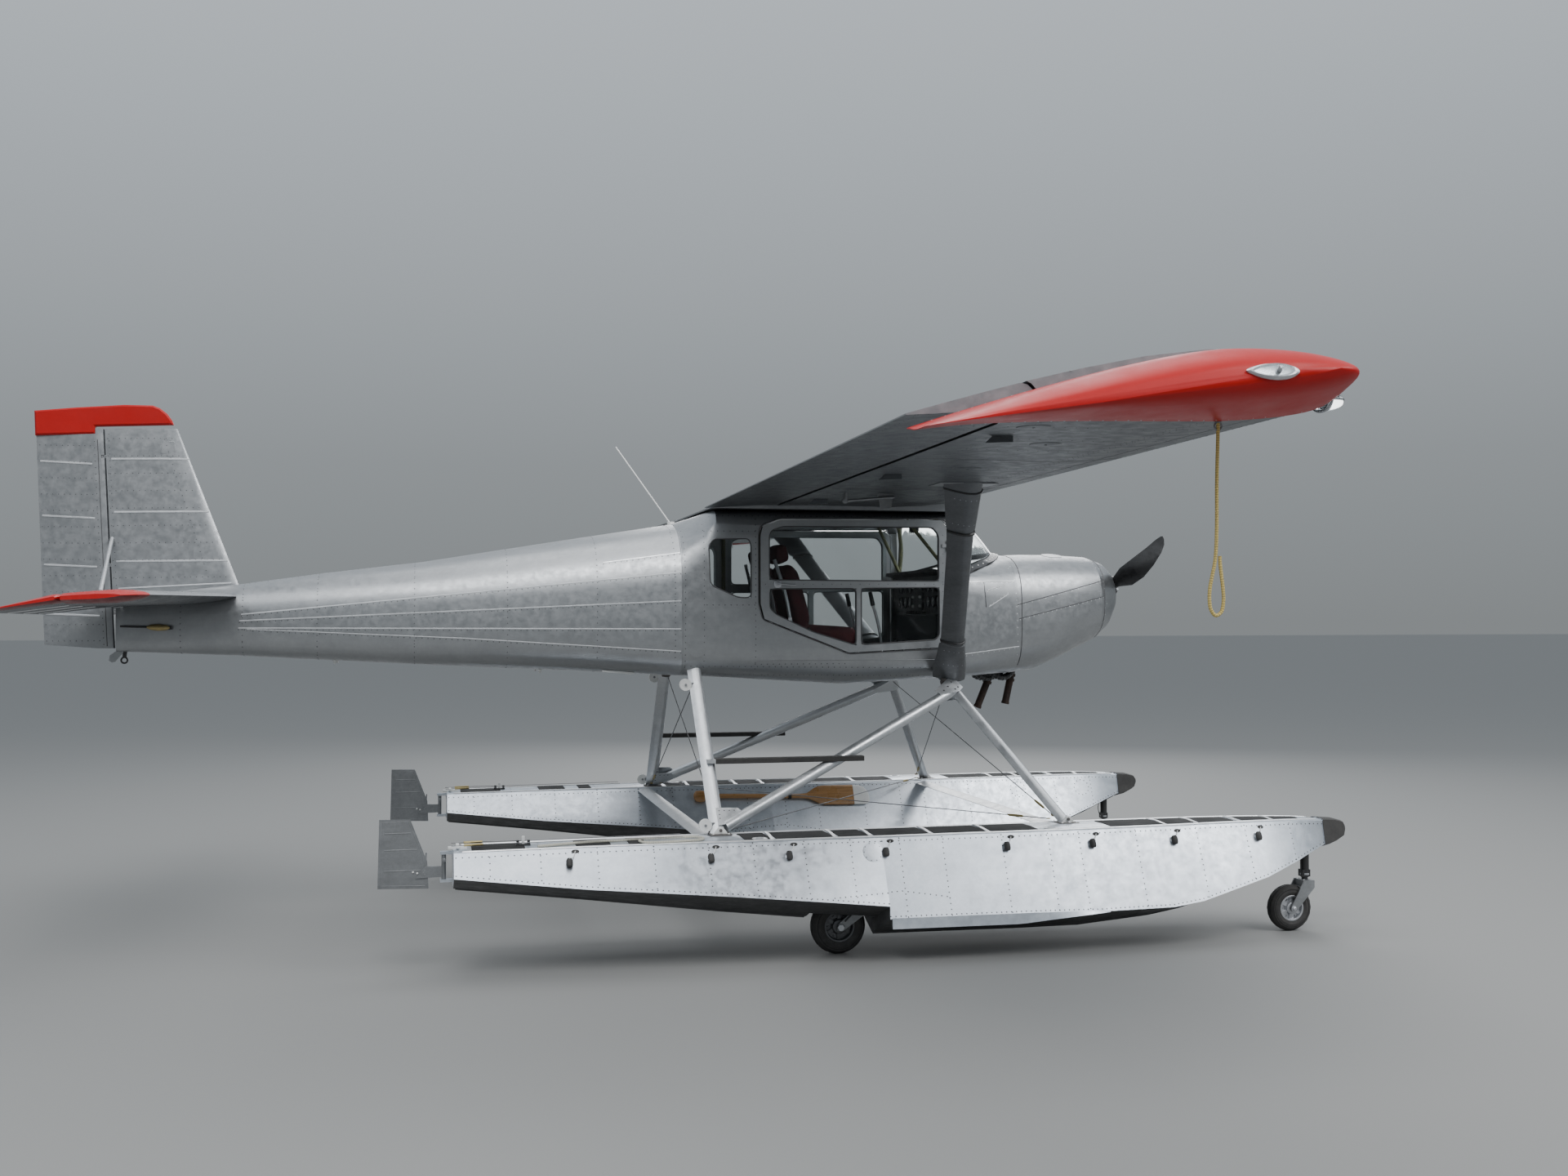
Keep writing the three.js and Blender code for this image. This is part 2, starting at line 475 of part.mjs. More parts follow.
// Centre section over the cabin, flat below where it lies on the roof.
function centreRing(y) {
  const shares = [0.975, 0.85, 0.72, ...NOSE_SHARES];
  const upper = shares.map((c) => wingPoint(0, c, camber(c) + halfDepth(c)));
  const ring = [...upper, wingPoint(0, 0, 0), v3(1553, 0, 2402), v3(1500, 0, 2325 + GAP), v3(79, 0, 2325 + GAP)];
  return ring.map((p) => v3(p.x, y, p.z));
}
add('centre_section', loft([centreRing(-WING.rootY), centreRing(WING.rootY)]), FINISH.skin);

// Streamlined bar: rounded in front, fine behind, its chord along X.
function streamRing(at, along, chord, thick) {
  const shares = [0, 0.06, 0.2, 0.4, 0.7, 1];
  const depth = shares.map((c) => (plainDepth(Math.min(c, 0.97)) / 0.15) * thick);
  const up = along.clone().cross(v3(1, 0, 0)).normalize();
  const front = v3(1, 0, 0);
  const place = (c, h) => at.clone().addScaledVector(front, chord * (0.42 - c)).addScaledVector(up, h);
  const upper = shares.slice(1).map((c, i) => place(c, depth[i + 1]));
  const lower = shares.slice(1).map((c, i) => place(c, -depth[i + 1])).reverse();
  return [place(0, 0), ...upper, ...lower];
}
// Columns of each row: share of the way, chord, thickness
function streamBar(a, b, rows, grow = 0) {
  const along = b.clone().sub(a).normalize();
  const reach = (2 * grow) / a.distanceTo(b);
  return loft(rows.map(([t, chord, thick], i) => {
    const share = t + (i === 0 ? -reach : (i === rows.length - 1 ? reach : 0));
    return streamRing(a.clone().lerp(b, share), along, chord + 2 * grow, thick + 2 * grow);
  }));
}
const LIFT_ROWS = [[-0.035, 198, 76], [0.02, 196, 76], [0.17, 150, 62], [0.172, 137, 54], [0.8, 137, 54],
  [0.802, 156, 62], [1, 198, 76], [1.05, 206, 78]];
const liftStrut = (side, grow) => streamBar(v3(1474, 600 * side, 1416), v3(1073, 1980 * side, 2352),
  LIFT_ROWS, grow);
for (const side of [STARBOARD, PORT]) {
  const name = side === PORT ? 'left' : 'right';
  const wing = loft([panelRing((WING.rootY + GAP) * side), panelRing(WING.panelEndY * side)]);
  const strut = liftStrut(side, 0).subtract(body(CABIN_ROWS, GAP)).subtract(body(BOOT_ROWS, GAP))
    .subtract(wing).subtract(wing.translate([0, 0, -GAP]));
  add(`lift_strut_${name}`, largest(strut), FINISH.skin);
}

// Fin, with its foot fitted over the cone and the stabiliser
const finLead = (z) => -2467 - ((z - 1901) * (2793 - 2467)) / (2770 - 1901);
const finBack = (z) => RUDDER.footX - (z - RUDDER.footZ) * RUDDER.lean + RUDDER.nose + 7;
function finRing(z0, grow) {
  const thick = 62 - (z0 - 1840) * 0.018;
  const shares = [0, 0.02, 0.08, 0.2, 0.45, 1];
  const depth = [0, 0.16, 0.3, 0.42, 0.5, 0.4];
  const levelAt = (x) => z0 + (x + 3088) * NOSE_UP * 0.5;
  const right = shares.map((c, i) => {
    const x = finLead(z0) + grow - c * (finLead(z0) - finBack(z0) + 2 * grow);
    return v3(x, Math.max(depth[i] * thick, 1.2) + grow, levelAt(x));
  });
  const left = right.map((p) => v3(p.x, -p.y, p.z)).reverse();
  return [...right, ...left];
}
const fin = (grow) => loft([1810, 1901, 2330, 2752].map((z) => finRing(z, grow)));
const STAB_STRUT = { topX: -3112, topZ: 2150, footX: -3047, footY: 700, footZ: 1826, radius: 10 };
const strutPin = (radius) => rod(v3(STAB_STRUT.topX, -38, STAB_STRUT.topZ),
  v3(STAB_STRUT.topX, 38, STAB_STRUT.topZ), radius);
const finBody = fin(0).subtract(stabiliser(GAP)).subtract(body(CONE_ROWS, GAP)).subtract(tailSlot)
  .subtract(strutPin(5));
add('fin', lugsOf(largest(finBody), eachRudderHinge), FINISH.skin);
let tailStruts = strutPin(4.5);
for (const side of [STARBOARD, PORT]) {
  tailStruts = tailStruts.add(rod(v3(STAB_STRUT.topX, 34 * side, STAB_STRUT.topZ + 4),
    v3(STAB_STRUT.footX, STAB_STRUT.footY * side, STAB_STRUT.footZ), STAB_STRUT.radius));
}
add('stabiliser_struts', tailStruts.subtract(stabiliser(GAP)).subtract(fin(GAP).subtract(strutPin(4.7))),
  FINISH.tube);

// Rudder with its red horn cap over the fin
function rudderRing(z0, trailX) {
  const lead = hingeX(z0);
  const right = [[RUDDER.nose, 3], [14, 14], [0, 19], [-60, 17]].map(([dx, y]) => v3(lead + dx, y, z0));
  right.push(v3(trailX, 2.5, z0 + (lead - trailX) * 0.06));
  return [...right, ...right.map((p) => v3(p.x, -p.y, p.z)).reverse()];
}
const rudderBlade = loft([[1559, -3453], [1850, -3466], [2330, -3487], [2752, -3505]]
  .map(([z, x]) => rudderRing(z, x)));
const CAP_OUTLINE = [[-3510, 2839], [-3505, 2706], [-3204, 2722], [-3204, 2762], [-2806, 2781], [-2812, 2802],
  [-2840, 2842], [-2876, 2870], [-2912, 2884], [-3060, 2883], [-3300, 2862]];
const cap = loft([[-24, -9], [-15, 0], [15, 0], [24, -9]].map(([y, inset]) => spread(CAP_OUTLINE, inset)
  .map(([x, z]) => v3(x, y, z))));
add('rudder', slotsOf(rudderBlade.subtract(prism(spread(CAP_OUTLINE, GAP), -40, 40)), eachRudderHinge),
  FINISH.skin);
add('rudder_cap', cap, FINISH.red);

// Elevator: two halves on one torque tube ahead of the rudder, drooped as parked
function elevatorRing(y, trail, thick) {
  const ring = [];
  for (const d of [90, 50, 15, -15, -50, -90]) {
    ring.push([Math.cos(d * Math.PI / 180) * thick / 2, Math.sin(d * Math.PI / 180) * thick / 2]);
  }
  ring.push([-trail, -2], [-trail, 2]);
  const turn = Math.atan(NOSE_UP) + ELEVATOR.droop;
  return ring.map(([along, up]) => v3(ELEVATOR.hingeX + along * Math.cos(turn) + up * -Math.sin(turn), y,
    ELEVATOR.hingeZ + along * Math.sin(turn) + up * Math.cos(turn)));
}
// Columns: distance from the centre line, length behind the hinge, thickness
const ELEVATOR_ROWS = [[52, 40, 44], [215, 338, 44], [1380, 326, 42], [1490, 300, 36], [1520, 250, 16]];
let elevator = rod(v3(ELEVATOR.hingeX, -60, ELEVATOR.hingeZ), v3(ELEVATOR.hingeX, 60, ELEVATOR.hingeZ), 12);
for (const side of [STARBOARD, PORT]) {
  elevator = elevator.add(loft(ELEVATOR_ROWS.map(([y, trail, thick]) => elevatorRing(y * side, trail, thick))));
}
add('elevator', slotsOf(elevator, eachElevatorHinge), FINISH.skin);

// Propeller: hub and two swept blades
function bladeRing(radius, chord, thick, pitch, sweep, way) {
  const out = v3(0, Math.cos(PROP.raise) * -way, Math.sin(PROP.raise) * way);
  const round = v3(1, 0, 0).cross(out);
  const across = round.clone().multiplyScalar(Math.cos(pitch)).add(v3(Math.sin(pitch), 0, 0));
  const face = out.clone().cross(across).normalize();
  const centre = v3(PROP.x, 0, PROP.z).addScaledVector(out, radius).addScaledVector(across, sweep);
  return [[0.5, 0], [0.25, 0.42], [-0.1, 0.5], [-0.5, 0], [-0.1, -0.25], [0.25, -0.2]]
    .map(([c, h]) => centre.clone().addScaledVector(across, c * chord).addScaledVector(face, h * thick));
}
// Columns: radius, chord, thickness, pitch in degrees, sweep
const BLADE_ROWS = [[30, 58, 46, 62, 0], [110, 66, 34, 42, 4], [250, 128, 22, 32, 12], [430, 132, 15, 24, 14],
  [600, 112, 11, 18, 4], [740, 84, 8, 15, -14], [800, 54, 6, 14, -26], [PROP.radius, 18, 4, 14, -36]];
let propeller = rod(v3(PROP.x - 25.5, 0, PROP.z), v3(PROP.x + 24, 0, PROP.z), PROP.hub, 24)
  .add(rod(v3(PROP.x + 20, 0, PROP.z), v3(PROP.x + 46, 0, PROP.z), 40, 20));
for (const way of [1, -1]) {
  propeller = propeller.add(loft(BLADE_ROWS.map(([r, chord, thick, pitch, sweep]) => bladeRing(r, chord, thick,
    pitch * Math.PI / 180, sweep, way))));
}
add('propeller', propeller, FINISH.black);

// Doors hang on their front edge; each carries one glass sheet inside its frame.
for (const side of [STARBOARD, PORT]) {
  const name = side === PORT ? 'left' : 'right';
  const out = DOOR.outerY * side;
  const inner = (DOOR.outerY - DOOR.thick) * side;
  let door = prism(DOOR_OUTLINE, out, inner);
  for (const pane of [UPPER_PANE, LOWER_REAR_PANE, LOWER_FRONT_PANE]) {
    door = door.subtract(prism(pane, out + 20 * side, inner - 20 * side));
  }
  for (const z of HINGE.heights) {
    const y = HINGE.y * side;
    const upright = (half, radius) => rod(v3(HINGE.x, y, z - half), v3(HINGE.x, y, z + half), radius, 12);
    door = door.add(box(HINGE.x - 34, HINGE.x, Math.min(y, y - 13 * side), Math.max(y, y - 13 * side),
      z - HINGE.middle, z + HINGE.middle)).add(upright(HINGE.middle, HINGE.radius))
      .subtract(upright(HINGE.middle + 5, HINGE.pin + 0.4));
  }
  add(`door_${name}`, door, FINISH.skin);
  add(`door_window_${name}`, prism(spread(DOOR_OUTLINE, -26), inner - GAP * side, inner - (GAP + DOOR.glass) * side),
    FINISH.glass);
}

// Seats on one frame, and the instrument panel between the cabin walls
let seats = box(600, 960, -470, 470, FLOOR_Z + GAP, 1570);
for (const y of [-260, 260]) {
  const cushion = [[560, 1560], [1010, 1560], [1024, 1610], [1010, 1672], [600, 1650]];
  const back = [[560, 1620], [650, 1640], [560, 2080], [520, 2110], [470, 2090]];
  seats = seats.add(prism(cushion, y - 215, y + 215)).add(prism(back, y - 205, y + 205));
}
add('seats', seats, FINISH.seat);
const panelBoard = box(1472, 1498, -INNER_Y + GAP, INNER_Y - GAP, 1735, 1975)
  .add(prism([[1472, 1940], [1498, 1940], [1498, 1988], [1404, 2002], [1400, 1984], [1472, 1966]], -470, 470));
add('instrument_panel', panelBoard, FINISH.black);
add('antenna_whip', rod(v3(-56, 0, 2272), v3(-379, 0, 2718), 4, 8).add(rod(v3(-54, 0, 2250), v3(-54, 0, 2284), 22, 12))
  .subtract(body(CABIN_ROWS, GAP)), FINISH.tube);

// Floats
// The sides lean inwards from a wide chine to a narrow deck.
// Columns: x, half width at the chine, chine, keel, gunwale, half width of the deck
const FLOAT_ROWS = [
  [-1320, 235, 488, 406, 591, 140], [-700, 290, 424, 334, 598, 150], [0, 325, 367, 244, 602, 163],
  [500, 330, 318, 188, 604, 165], [789, 330, 288, 165, 604, 165], [790, 330, 225, 98, 604, 165],
  [1560, 330, 221, 91, 606, 165], [1920, 330, 215, 92, 608, 165], [2328, 318, 218, 126, 610, 155],
  [2500, 306, 240, 154, 611, 147], [2653, 288, 279, 194, 612, 138], [2907, 245, 340, 268, 612, 120],
  [3107, 184, 403, 346, 610, 100], [3250, 122, 449, 412, 606, 78], [3342, 78, 474, 450, 600, 58],
  [3343, 84, 470, 446, 606, 62], [3420, 70, 490, 462, 602, 52], [3485, 44, 515, 494, 586, 34],
  [3510, 16, 545, 530, 562, 12],
];
const DECK_EDGE = 10;
function floatHull(side, grow) {
  return loft(FLOAT_ROWS.map(([x, half, chine, keel, gunwale, deck]) => {
    const w = half + grow;
    const d = deck + grow;
    const rise = Math.min(5, 0.1 * d);
    const points = [[0, keel - grow], [w, chine - grow], [d, gunwale + grow],
      [d - Math.min(DECK_EDGE, 0.3 * d), gunwale + rise + grow], [0, gunwale + rise + 4 + grow],
      [-d + Math.min(DECK_EDGE, 0.3 * d), gunwale + rise + grow], [-d, gunwale + grow], [-w, chine - grow]];
    return points.map(([dy, z]) => v3(x, FLOAT.y * side + dy, z));
  }));
}
const rudderLug = (y, z) => prism([[WATER_RUDDER.x - 18, z], [FLOAT.sternX + 10, z], [FLOAT.sternX + 10, z + 14],
  [WATER_RUDDER.x - 18, z + 14]], y - 16, y + 16);
for (const side of [STARBOARD, PORT]) {
  const name = side === PORT ? 'left' : 'right';
  const y = FLOAT.y * side;
  const well = box(440, 786, y - FLOAT.wellHalf, y + FLOAT.wellHalf, 100, FLOAT.wellTop);
  add(`float_${name}`, floatHull(side, 0).subtract(well).add(rudderLug(y, 440)).add(rudderLug(y, 574)),
    FINISH.floatSkin);
}

// Struts between fuselage and floats. Each is fitted to the hull, the deck and its neighbours.
const MAIN_ROWS = (chord, thick) => [[-0.14, chord, thick], [1.1, chord, thick]];
const footAt = (x, side) => v3(x, FEET.y * side, 675);
const STRUTS = {
  rear: { size: [76, 42], ends: (s) => [footAt(FEET.rearX, s), v3(FEET.rearTopX, FEET.topY * s, 1408)] },
  front: { size: [66, 40], ends: (s) => [footAt(FEET.frontX, s), v3(FEET.frontTopX, FEET.topY * s, 1372)] },
};
function strut(kind, side, grow) {
  const [a, b] = STRUTS[kind].ends(side);
  return streamBar(a, b, MAIN_ROWS(...STRUTS[kind].size), grow);
}
const stepBar = (side) => box(-10, 840, 922 * side, 976 * side, 952, 972);
for (const side of [STARBOARD, PORT]) {
  const name = side === PORT ? 'left' : 'right';
  const hull = floatHull(side, GAP);
  const airframe = body(CABIN_ROWS, GAP);
  const lift = liftStrut(side, GAP);
  const trimmed = (piece) => largest(piece.subtract(hull).subtract(airframe).subtract(body(BOOT_ROWS, GAP))
    .subtract(lift));
  const diagonal = (grow) => rod(v3(42, (FEET.y + 26) * side, 648), v3(1490, (FEET.topY + 60) * side, 1308),
    30 + grow, 14);
  const rear = strut('rear', side, 0).add(stepBar(side).subtract(diagonal(GAP)));
  add(`float_strut_rear_${name}`, trimmed(rear), FINISH.tube);
  add(`float_strut_front_${name}`, trimmed(strut('front', side, 0)), FINISH.tube);
  add(`float_strut_diagonal_${name}`, trimmed(diagonal(0).subtract(strut('rear', side, GAP))
    .subtract(strut('front', side, GAP))), FINISH.tube);
}
// Cross bars between the floats' inboard sides
for (const [name, x] of [['front', SPREADER.frontX], ['rear', SPREADER.rearX]]) {
  let bar = loft([-1160, 1160].map((y) => streamRing(v3(x, y, SPREADER.z), v3(0, 1, 0), SPREADER.chord,
    SPREADER.thick)));
  for (const side of [STARBOARD, PORT]) {
    bar = bar.subtract(floatHull(side, GAP));
  }
  add(`spreader_bar_${name}`, largest(bar), FINISH.tube);
}

// Main gear: a trailing arm in the wheel well behind the step
const wheelProfile = (wheel) => {
  const { radius: r, half: h, bore } = wheel;
  const rim = r * 0.52;
  const side = [[bore, 0.85 * h], [0.24 * r, 0.85 * h], [0.3 * r, 0.4 * h], [rim - 8, 0.4 * h], [rim, 0.8 * h],
    [0.7 * r, h], [0.87 * r, 0.92 * h], [0.97 * r, 0.55 * h]];
  return [...side.map(([a, t]) => [a, -t]), ...side.reverse().map(([a, t]) => [a, t])]
    .flatMap((p, i, all) => (i === 7 ? [p, [r, -0.18 * h], [r, 0.18 * h]] : [p])).filter((p) => p.length === 2);
};
for (const side of [STARBOARD, PORT]) {
  const name = side === PORT ? 'left' : 'right';
  const y = FLOAT.y * side;
  const { x, radius, half, axle } = MAIN_WHEEL;
  const plate = [[x - 20, radius - 14], [x + 6, radius - 22], [x + 168, 232], [x + 168, FLOAT.wellTop - GAP],
    [x + 112, FLOAT.wellTop - GAP], [x + 112, 262], [x - 12, radius + 18]];
  const arm = prism(plate, y + (half + 8) * side, y + (half + 20) * side)
    .add(rod(v3(x, y - (half + 4) * side, radius), v3(x, y + (half + 16) * side, radius), axle, 16));
  add(`main_gear_arm_${name}`, arm, FINISH.steel);
  add(`main_wheel_${name}`, turned(wheelProfile(MAIN_WHEEL), x, y, radius, 24), FINISH.rubber);
}

// Nose gear: a fixed leg, a castering fork and its wheel
for (const side of [STARBOARD, PORT]) {
  const name = side === PORT ? 'left' : 'right';
  const y = FLOAT.y * side;
  const { x, radius, half, axle, swivelX } = NOSE_WHEEL;
  const leg = rod(v3(swivelX, y, 275 + GAP), v3(swivelX, y, 470), 17, 16)
    .add(box(swivelX - 26, swivelX + 22, y - 22, y + 22, 292, 330)).subtract(floatHull(side, GAP));
  add(`nose_gear_leg_${name}`, largest(leg), FINISH.steel);
  const blade = [[swivelX + 28, 275], [swivelX - 34, 275], [x - 14, radius + 12], [x - 14, radius - 14],
    [x + 14, radius - 14], [swivelX + 28, 236]];
  const fork = box(swivelX - 34, swivelX + 28, y - half - 16, y + half + 16, 240, 275)
    .add(prism(blade, y - half - 16, y - half - 7)).add(prism(blade, y + half + 7, y + half + 16))
    .add(rod(v3(x, y - half - 12, radius), v3(x, y + half + 12, radius), axle, 16));
  add(`nose_fork_${name}`, fork, FINISH.steel);
  add(`nose_wheel_${name}`, turned(wheelProfile(NOSE_WHEEL), x, y, radius, 20), FINISH.rubber);
}

// Water rudders, parked up behind each stern
const BLADE_OUTLINE = [[-1669, 748], [-1523, 745], [-1443, 540], [-1437, 411], [-1676, 417]];
for (const side of [STARBOARD, PORT]) {
  const name = side === PORT ? 'left' : 'right';
  const y = FLOAT.y * side;
  const { x, pinR } = WATER_RUDDER;
  const rudder = rod(v3(x, y, 454.5), v3(x, y, 573.5), pinR, 16)
    .add(box(-1470, x, y - 6, y + 6, 470, 512)).add(box(x - 8, x + 8, y - 60, y + 60, 545, 557))
    .add(prism(BLADE_OUTLINE, y - 3, y + 3));
  add(`water_rudder_${name}`, rudder, FINISH.plate);
}

// Paddle clipped along the leaning inboard side of the port float
const paddleY = (z) => 1084 + (z - 535) * 0.466;
const leaning = (outline, thick) => loft([-thick / 2, thick / 2].map((dy) => outline.map(([x, z]) => (
  v3(x, paddleY(z) + dy, z)))));
const BLADE_EDGE = [[1030, 516], [1080, 494], [1110, 481], [1146, 473], [1354, 470], [1445, 470], [1458, 482],
  [1461, 499], [1446, 548], [1405, 588], [1354, 595], [1146, 595], [1110, 591], [1080, 581], [1030, 545]];
const GRIP_EDGE = [[268, 524], [280, 511], [334, 509], [347, 520], [352, 532], [352, 562], [347, 574], [334, 584],
  [280, 583], [268, 571]];
const clip = (x, z) => box(x, x + 22, paddleY(z) - 19, paddleY(z) + 80, z - 19, z + 19);
const paddle = rod(v3(345, paddleY(546), 546), v3(1060, paddleY(531), 531), 15, 12)
  .add(leaning(GRIP_EDGE, 28)).add(leaning(BLADE_EDGE, 13)).add(clip(392, 545)).add(clip(900, 535));
add('paddle', paddle.subtract(floatHull(PORT, GAP)), FINISH.wood);

// Free ropes, each a plain tube along its route
function rope(points, radius, steps, sides) {
  const curve = new THREE.CatmullRomCurve3(points.map((p) => v3(...p)), false, 'centripetal');
  const section = new THREE.Shape(Array.from({ length: sides }, (_, k) => new THREE.Vector2(
    radius * Math.cos((2 * Math.PI * k) / sides), radius * Math.sin((2 * Math.PI * k) / sides))));
  return solid(new THREE.ExtrudeGeometry(section, { steps, extrudePath: curve, bevelEnabled: false }));
}
// Tie-down rope: hangs from the ring, with an eye spliced in its end
const TIE_ROPE = [
  [1137, -4298, 2361.7], [1137, -4298, 2340], [1136, -4297, 2290], [1134, -4296, 2220], [1132, -4296, 2140],
  [1131, -4297, 2060], [1129, -4298, 1990], [1126, -4298, 1930], [1121, -4298, 1890], [1112, -4298, 1850],
  [1104, -4297, 1810], [1102, -4296, 1770], [1108, -4295, 1735], [1126, -4294, 1716], [1146, -4294, 1728],
  [1154, -4295, 1765], [1152, -4296, 1805], [1146, -4297, 1850], [1141, -4298, 1890], [1140, -4298, 1915],
];
add('tie_down_rope', rope(TIE_ROPE, 6, 70, 8), FINISH.rope);
// Height of a float's deck at a place
function deckHeight(x, y) {
  const i = FLOAT_ROWS.findIndex((row) => row[0] > x) - 1;
  const [a, b] = [FLOAT_ROWS[i], FLOAT_ROWS[i + 1]];
  const t = (x - a[0]) / (b[0] - a[0]);
  const gunwale = a[4] + (b[4] - a[4]) * t;
  const deck = a[5] + (b[5] - a[5]) * t;
  return gunwale + 9 - (4 * Math.abs(Math.abs(y) - FLOAT.y)) / (deck - DECK_EDGE);
}
// Mooring line laid forward along the starboard deck, turned back at the rear strut's foot
// Columns: x, y
const MOORING = [[-921, -1401], [-860, -1386], [-751, -1356], [-670, -1342], [-589, -1334], [-490, -1318],
  [-392, -1300], [-320, -1290], [-254, -1286], [-190, -1290], [-140, -1304], [-108, -1330], [-100, -1362],
  [-114, -1392], [-150, -1412], [-237, -1428], [-310, -1434], [-376, -1432], [-402, -1416], [-416, -1390],
  [-420, -1362]];
add('mooring_line', rope(MOORING.map(([x, y]) => [x, y, deckHeight(x, y) + 7.6]), 7, 80, 8), FINISH.rope);

export default plane;
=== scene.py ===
"""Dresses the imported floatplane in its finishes, fittings and rigging.

Every length is in metres in the part's own frame: +X to the nose, +Y to port, +Z up.
"""

from __future__ import annotations

import json
import logging
import math
from dataclasses import dataclass, field
from enum import Enum

import bmesh
import bpy
import numpy as np
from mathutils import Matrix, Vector
from mathutils.bvhtree import BVHTree

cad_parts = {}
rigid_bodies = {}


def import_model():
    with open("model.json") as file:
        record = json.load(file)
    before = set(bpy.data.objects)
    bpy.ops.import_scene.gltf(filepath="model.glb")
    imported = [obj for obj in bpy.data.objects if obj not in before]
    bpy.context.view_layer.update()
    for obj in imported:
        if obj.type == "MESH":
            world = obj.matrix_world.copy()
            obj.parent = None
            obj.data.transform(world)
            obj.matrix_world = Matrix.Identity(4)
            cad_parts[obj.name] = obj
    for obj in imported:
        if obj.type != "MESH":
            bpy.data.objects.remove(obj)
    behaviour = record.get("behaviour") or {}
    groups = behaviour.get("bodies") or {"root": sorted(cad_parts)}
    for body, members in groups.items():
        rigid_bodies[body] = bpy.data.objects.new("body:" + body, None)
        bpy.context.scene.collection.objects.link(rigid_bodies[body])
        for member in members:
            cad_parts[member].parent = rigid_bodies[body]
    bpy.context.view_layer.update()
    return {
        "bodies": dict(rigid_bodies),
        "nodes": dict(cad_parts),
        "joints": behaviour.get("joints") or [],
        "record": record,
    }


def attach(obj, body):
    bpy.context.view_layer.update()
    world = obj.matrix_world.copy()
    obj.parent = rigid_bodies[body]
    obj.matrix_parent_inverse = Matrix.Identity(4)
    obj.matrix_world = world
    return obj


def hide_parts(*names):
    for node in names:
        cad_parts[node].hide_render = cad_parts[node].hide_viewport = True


log = logging.getLogger("floatplane")
Array = np.ndarray
Node = bpy.types.Node
Socket = bpy.types.NodeSocket
Material = bpy.types.Material
SIDES = (-1.0, 1.0)  # starboard, port
UP = np.array([0, 0, 1])
ACROSS = np.array([0, 1, 0])
AHEAD = np.array([1, 0, 0])
# Radius and height of the rivet heads
SKIN_HEAD = (0.005, 0.0017)
TAIL_HEAD = (0.0048, 0.0016)
COWL_HEAD = (0.0042, 0.0016)


class Side(Enum):
    """The two sides of the aircraft, by the sign of Y."""

    RIGHT = -1
    LEFT = 1

    def of(self, name: str) -> str:
        """The name of this side's node or piece."""
        return f"{name}_{self.name.lower()}"


def unit(rows: Array) -> Array:
    """Each row divided by its own length."""
    rows = np.asarray(rows, float)
    return rows / np.maximum(np.linalg.norm(rows, axis=-1, keepdims=True), 1e-12)


def turns(count: int) -> Array:
    """Evenly spaced angles of one whole turn."""
    return np.linspace(0, 2 * math.pi, count, endpoint=False)


def circle(centre: Array, radius: float, count: int, first: Array = AHEAD, second: Array = UP) -> Array:
    """Points at the centre + radius * (cos t * first + sin t * second), for t once round."""
    t = turns(count)[:, None]
    return np.asarray(centre) + radius * (np.cos(t) * first + np.sin(t) * second)


# Shapes


@dataclass
class Shape:
    """Closed surfaces as points and faces, before they become a mesh."""

    points: Array
    faces: list
    finish: int = 0
    uv: Array | None = None

    def mirrored(self) -> Shape:
        """The same shape on the other side of the centre line."""
        return Shape(self.points * np.array([1, -1, 1]), [f[::-1] for f in self.faces], self.finish, self.uv)


def skin(rings: Array, caps: bool = True, loop: bool = False, finish: int = 0) -> Shape:
    """A surface through rings with equal numbers of points.

    Face (i, j) joins point j and j + 1 of ring i to the same points of ring i + 1.

    Args:
        rings: points as (rings, points, 3), each ring closed on itself.
        caps: whether the first and last ring are filled.
        loop: whether the last ring joins the first one.
        finish: index of the finish that its faces take.

    Returns:
        The closed shape.
    """
    rings = np.asarray(rings, float)
    count, across = rings.shape[:2]
    rows = count if loop else count - 1
    i, j = np.meshgrid(np.arange(rows), np.arange(across), indexing="ij")
    near, far = i * across, ((i + 1) % count) * across
    beside = (j + 1) % across
    faces = np.stack([near + j, near + beside, far + beside, far + j], -1).reshape(-1, 4).tolist()
    if caps and not loop:
        faces.append(list(range(across))[::-1])
        faces.append(list(range((count - 1) * across, count * across)))
    return Shape(rings.reshape(-1, 3), faces, finish)


def tube(path: Array, radius: float | Array, sides: int = 8, aside: Array | None = None,
         finish: int = 0) -> Shape:
    """A round bar along a path: circles in the planes across its tangents.

    Args:
        path: points of the centre line as (n, 3).
        radius: one radius, or one for each point.
        sides: points round each circle.
        aside: direction that is kept out of the tangents, the widest one by default.
        finish: index of the finish.

    Returns:
        The closed shape.
    """
    path = np.asarray(path, float)
    tangent = unit(np.gradient(path, axis=0))
    if aside is None:
        aside = np.eye(3)[np.argmin(np.abs(tangent).mean(0))]
    side = unit(np.cross(tangent, aside))
    rise = np.cross(side, tangent)
    turn = turns(sides)
    size = np.broadcast_to(np.asarray(radius, float), (len(path),))[:, None, None]
    rim = np.cos(turn)[None, :, None] * side[:, None] + np.sin(turn)[None, :, None] * rise[:, None]
    return skin(path[:, None] + size * rim, finish=finish)


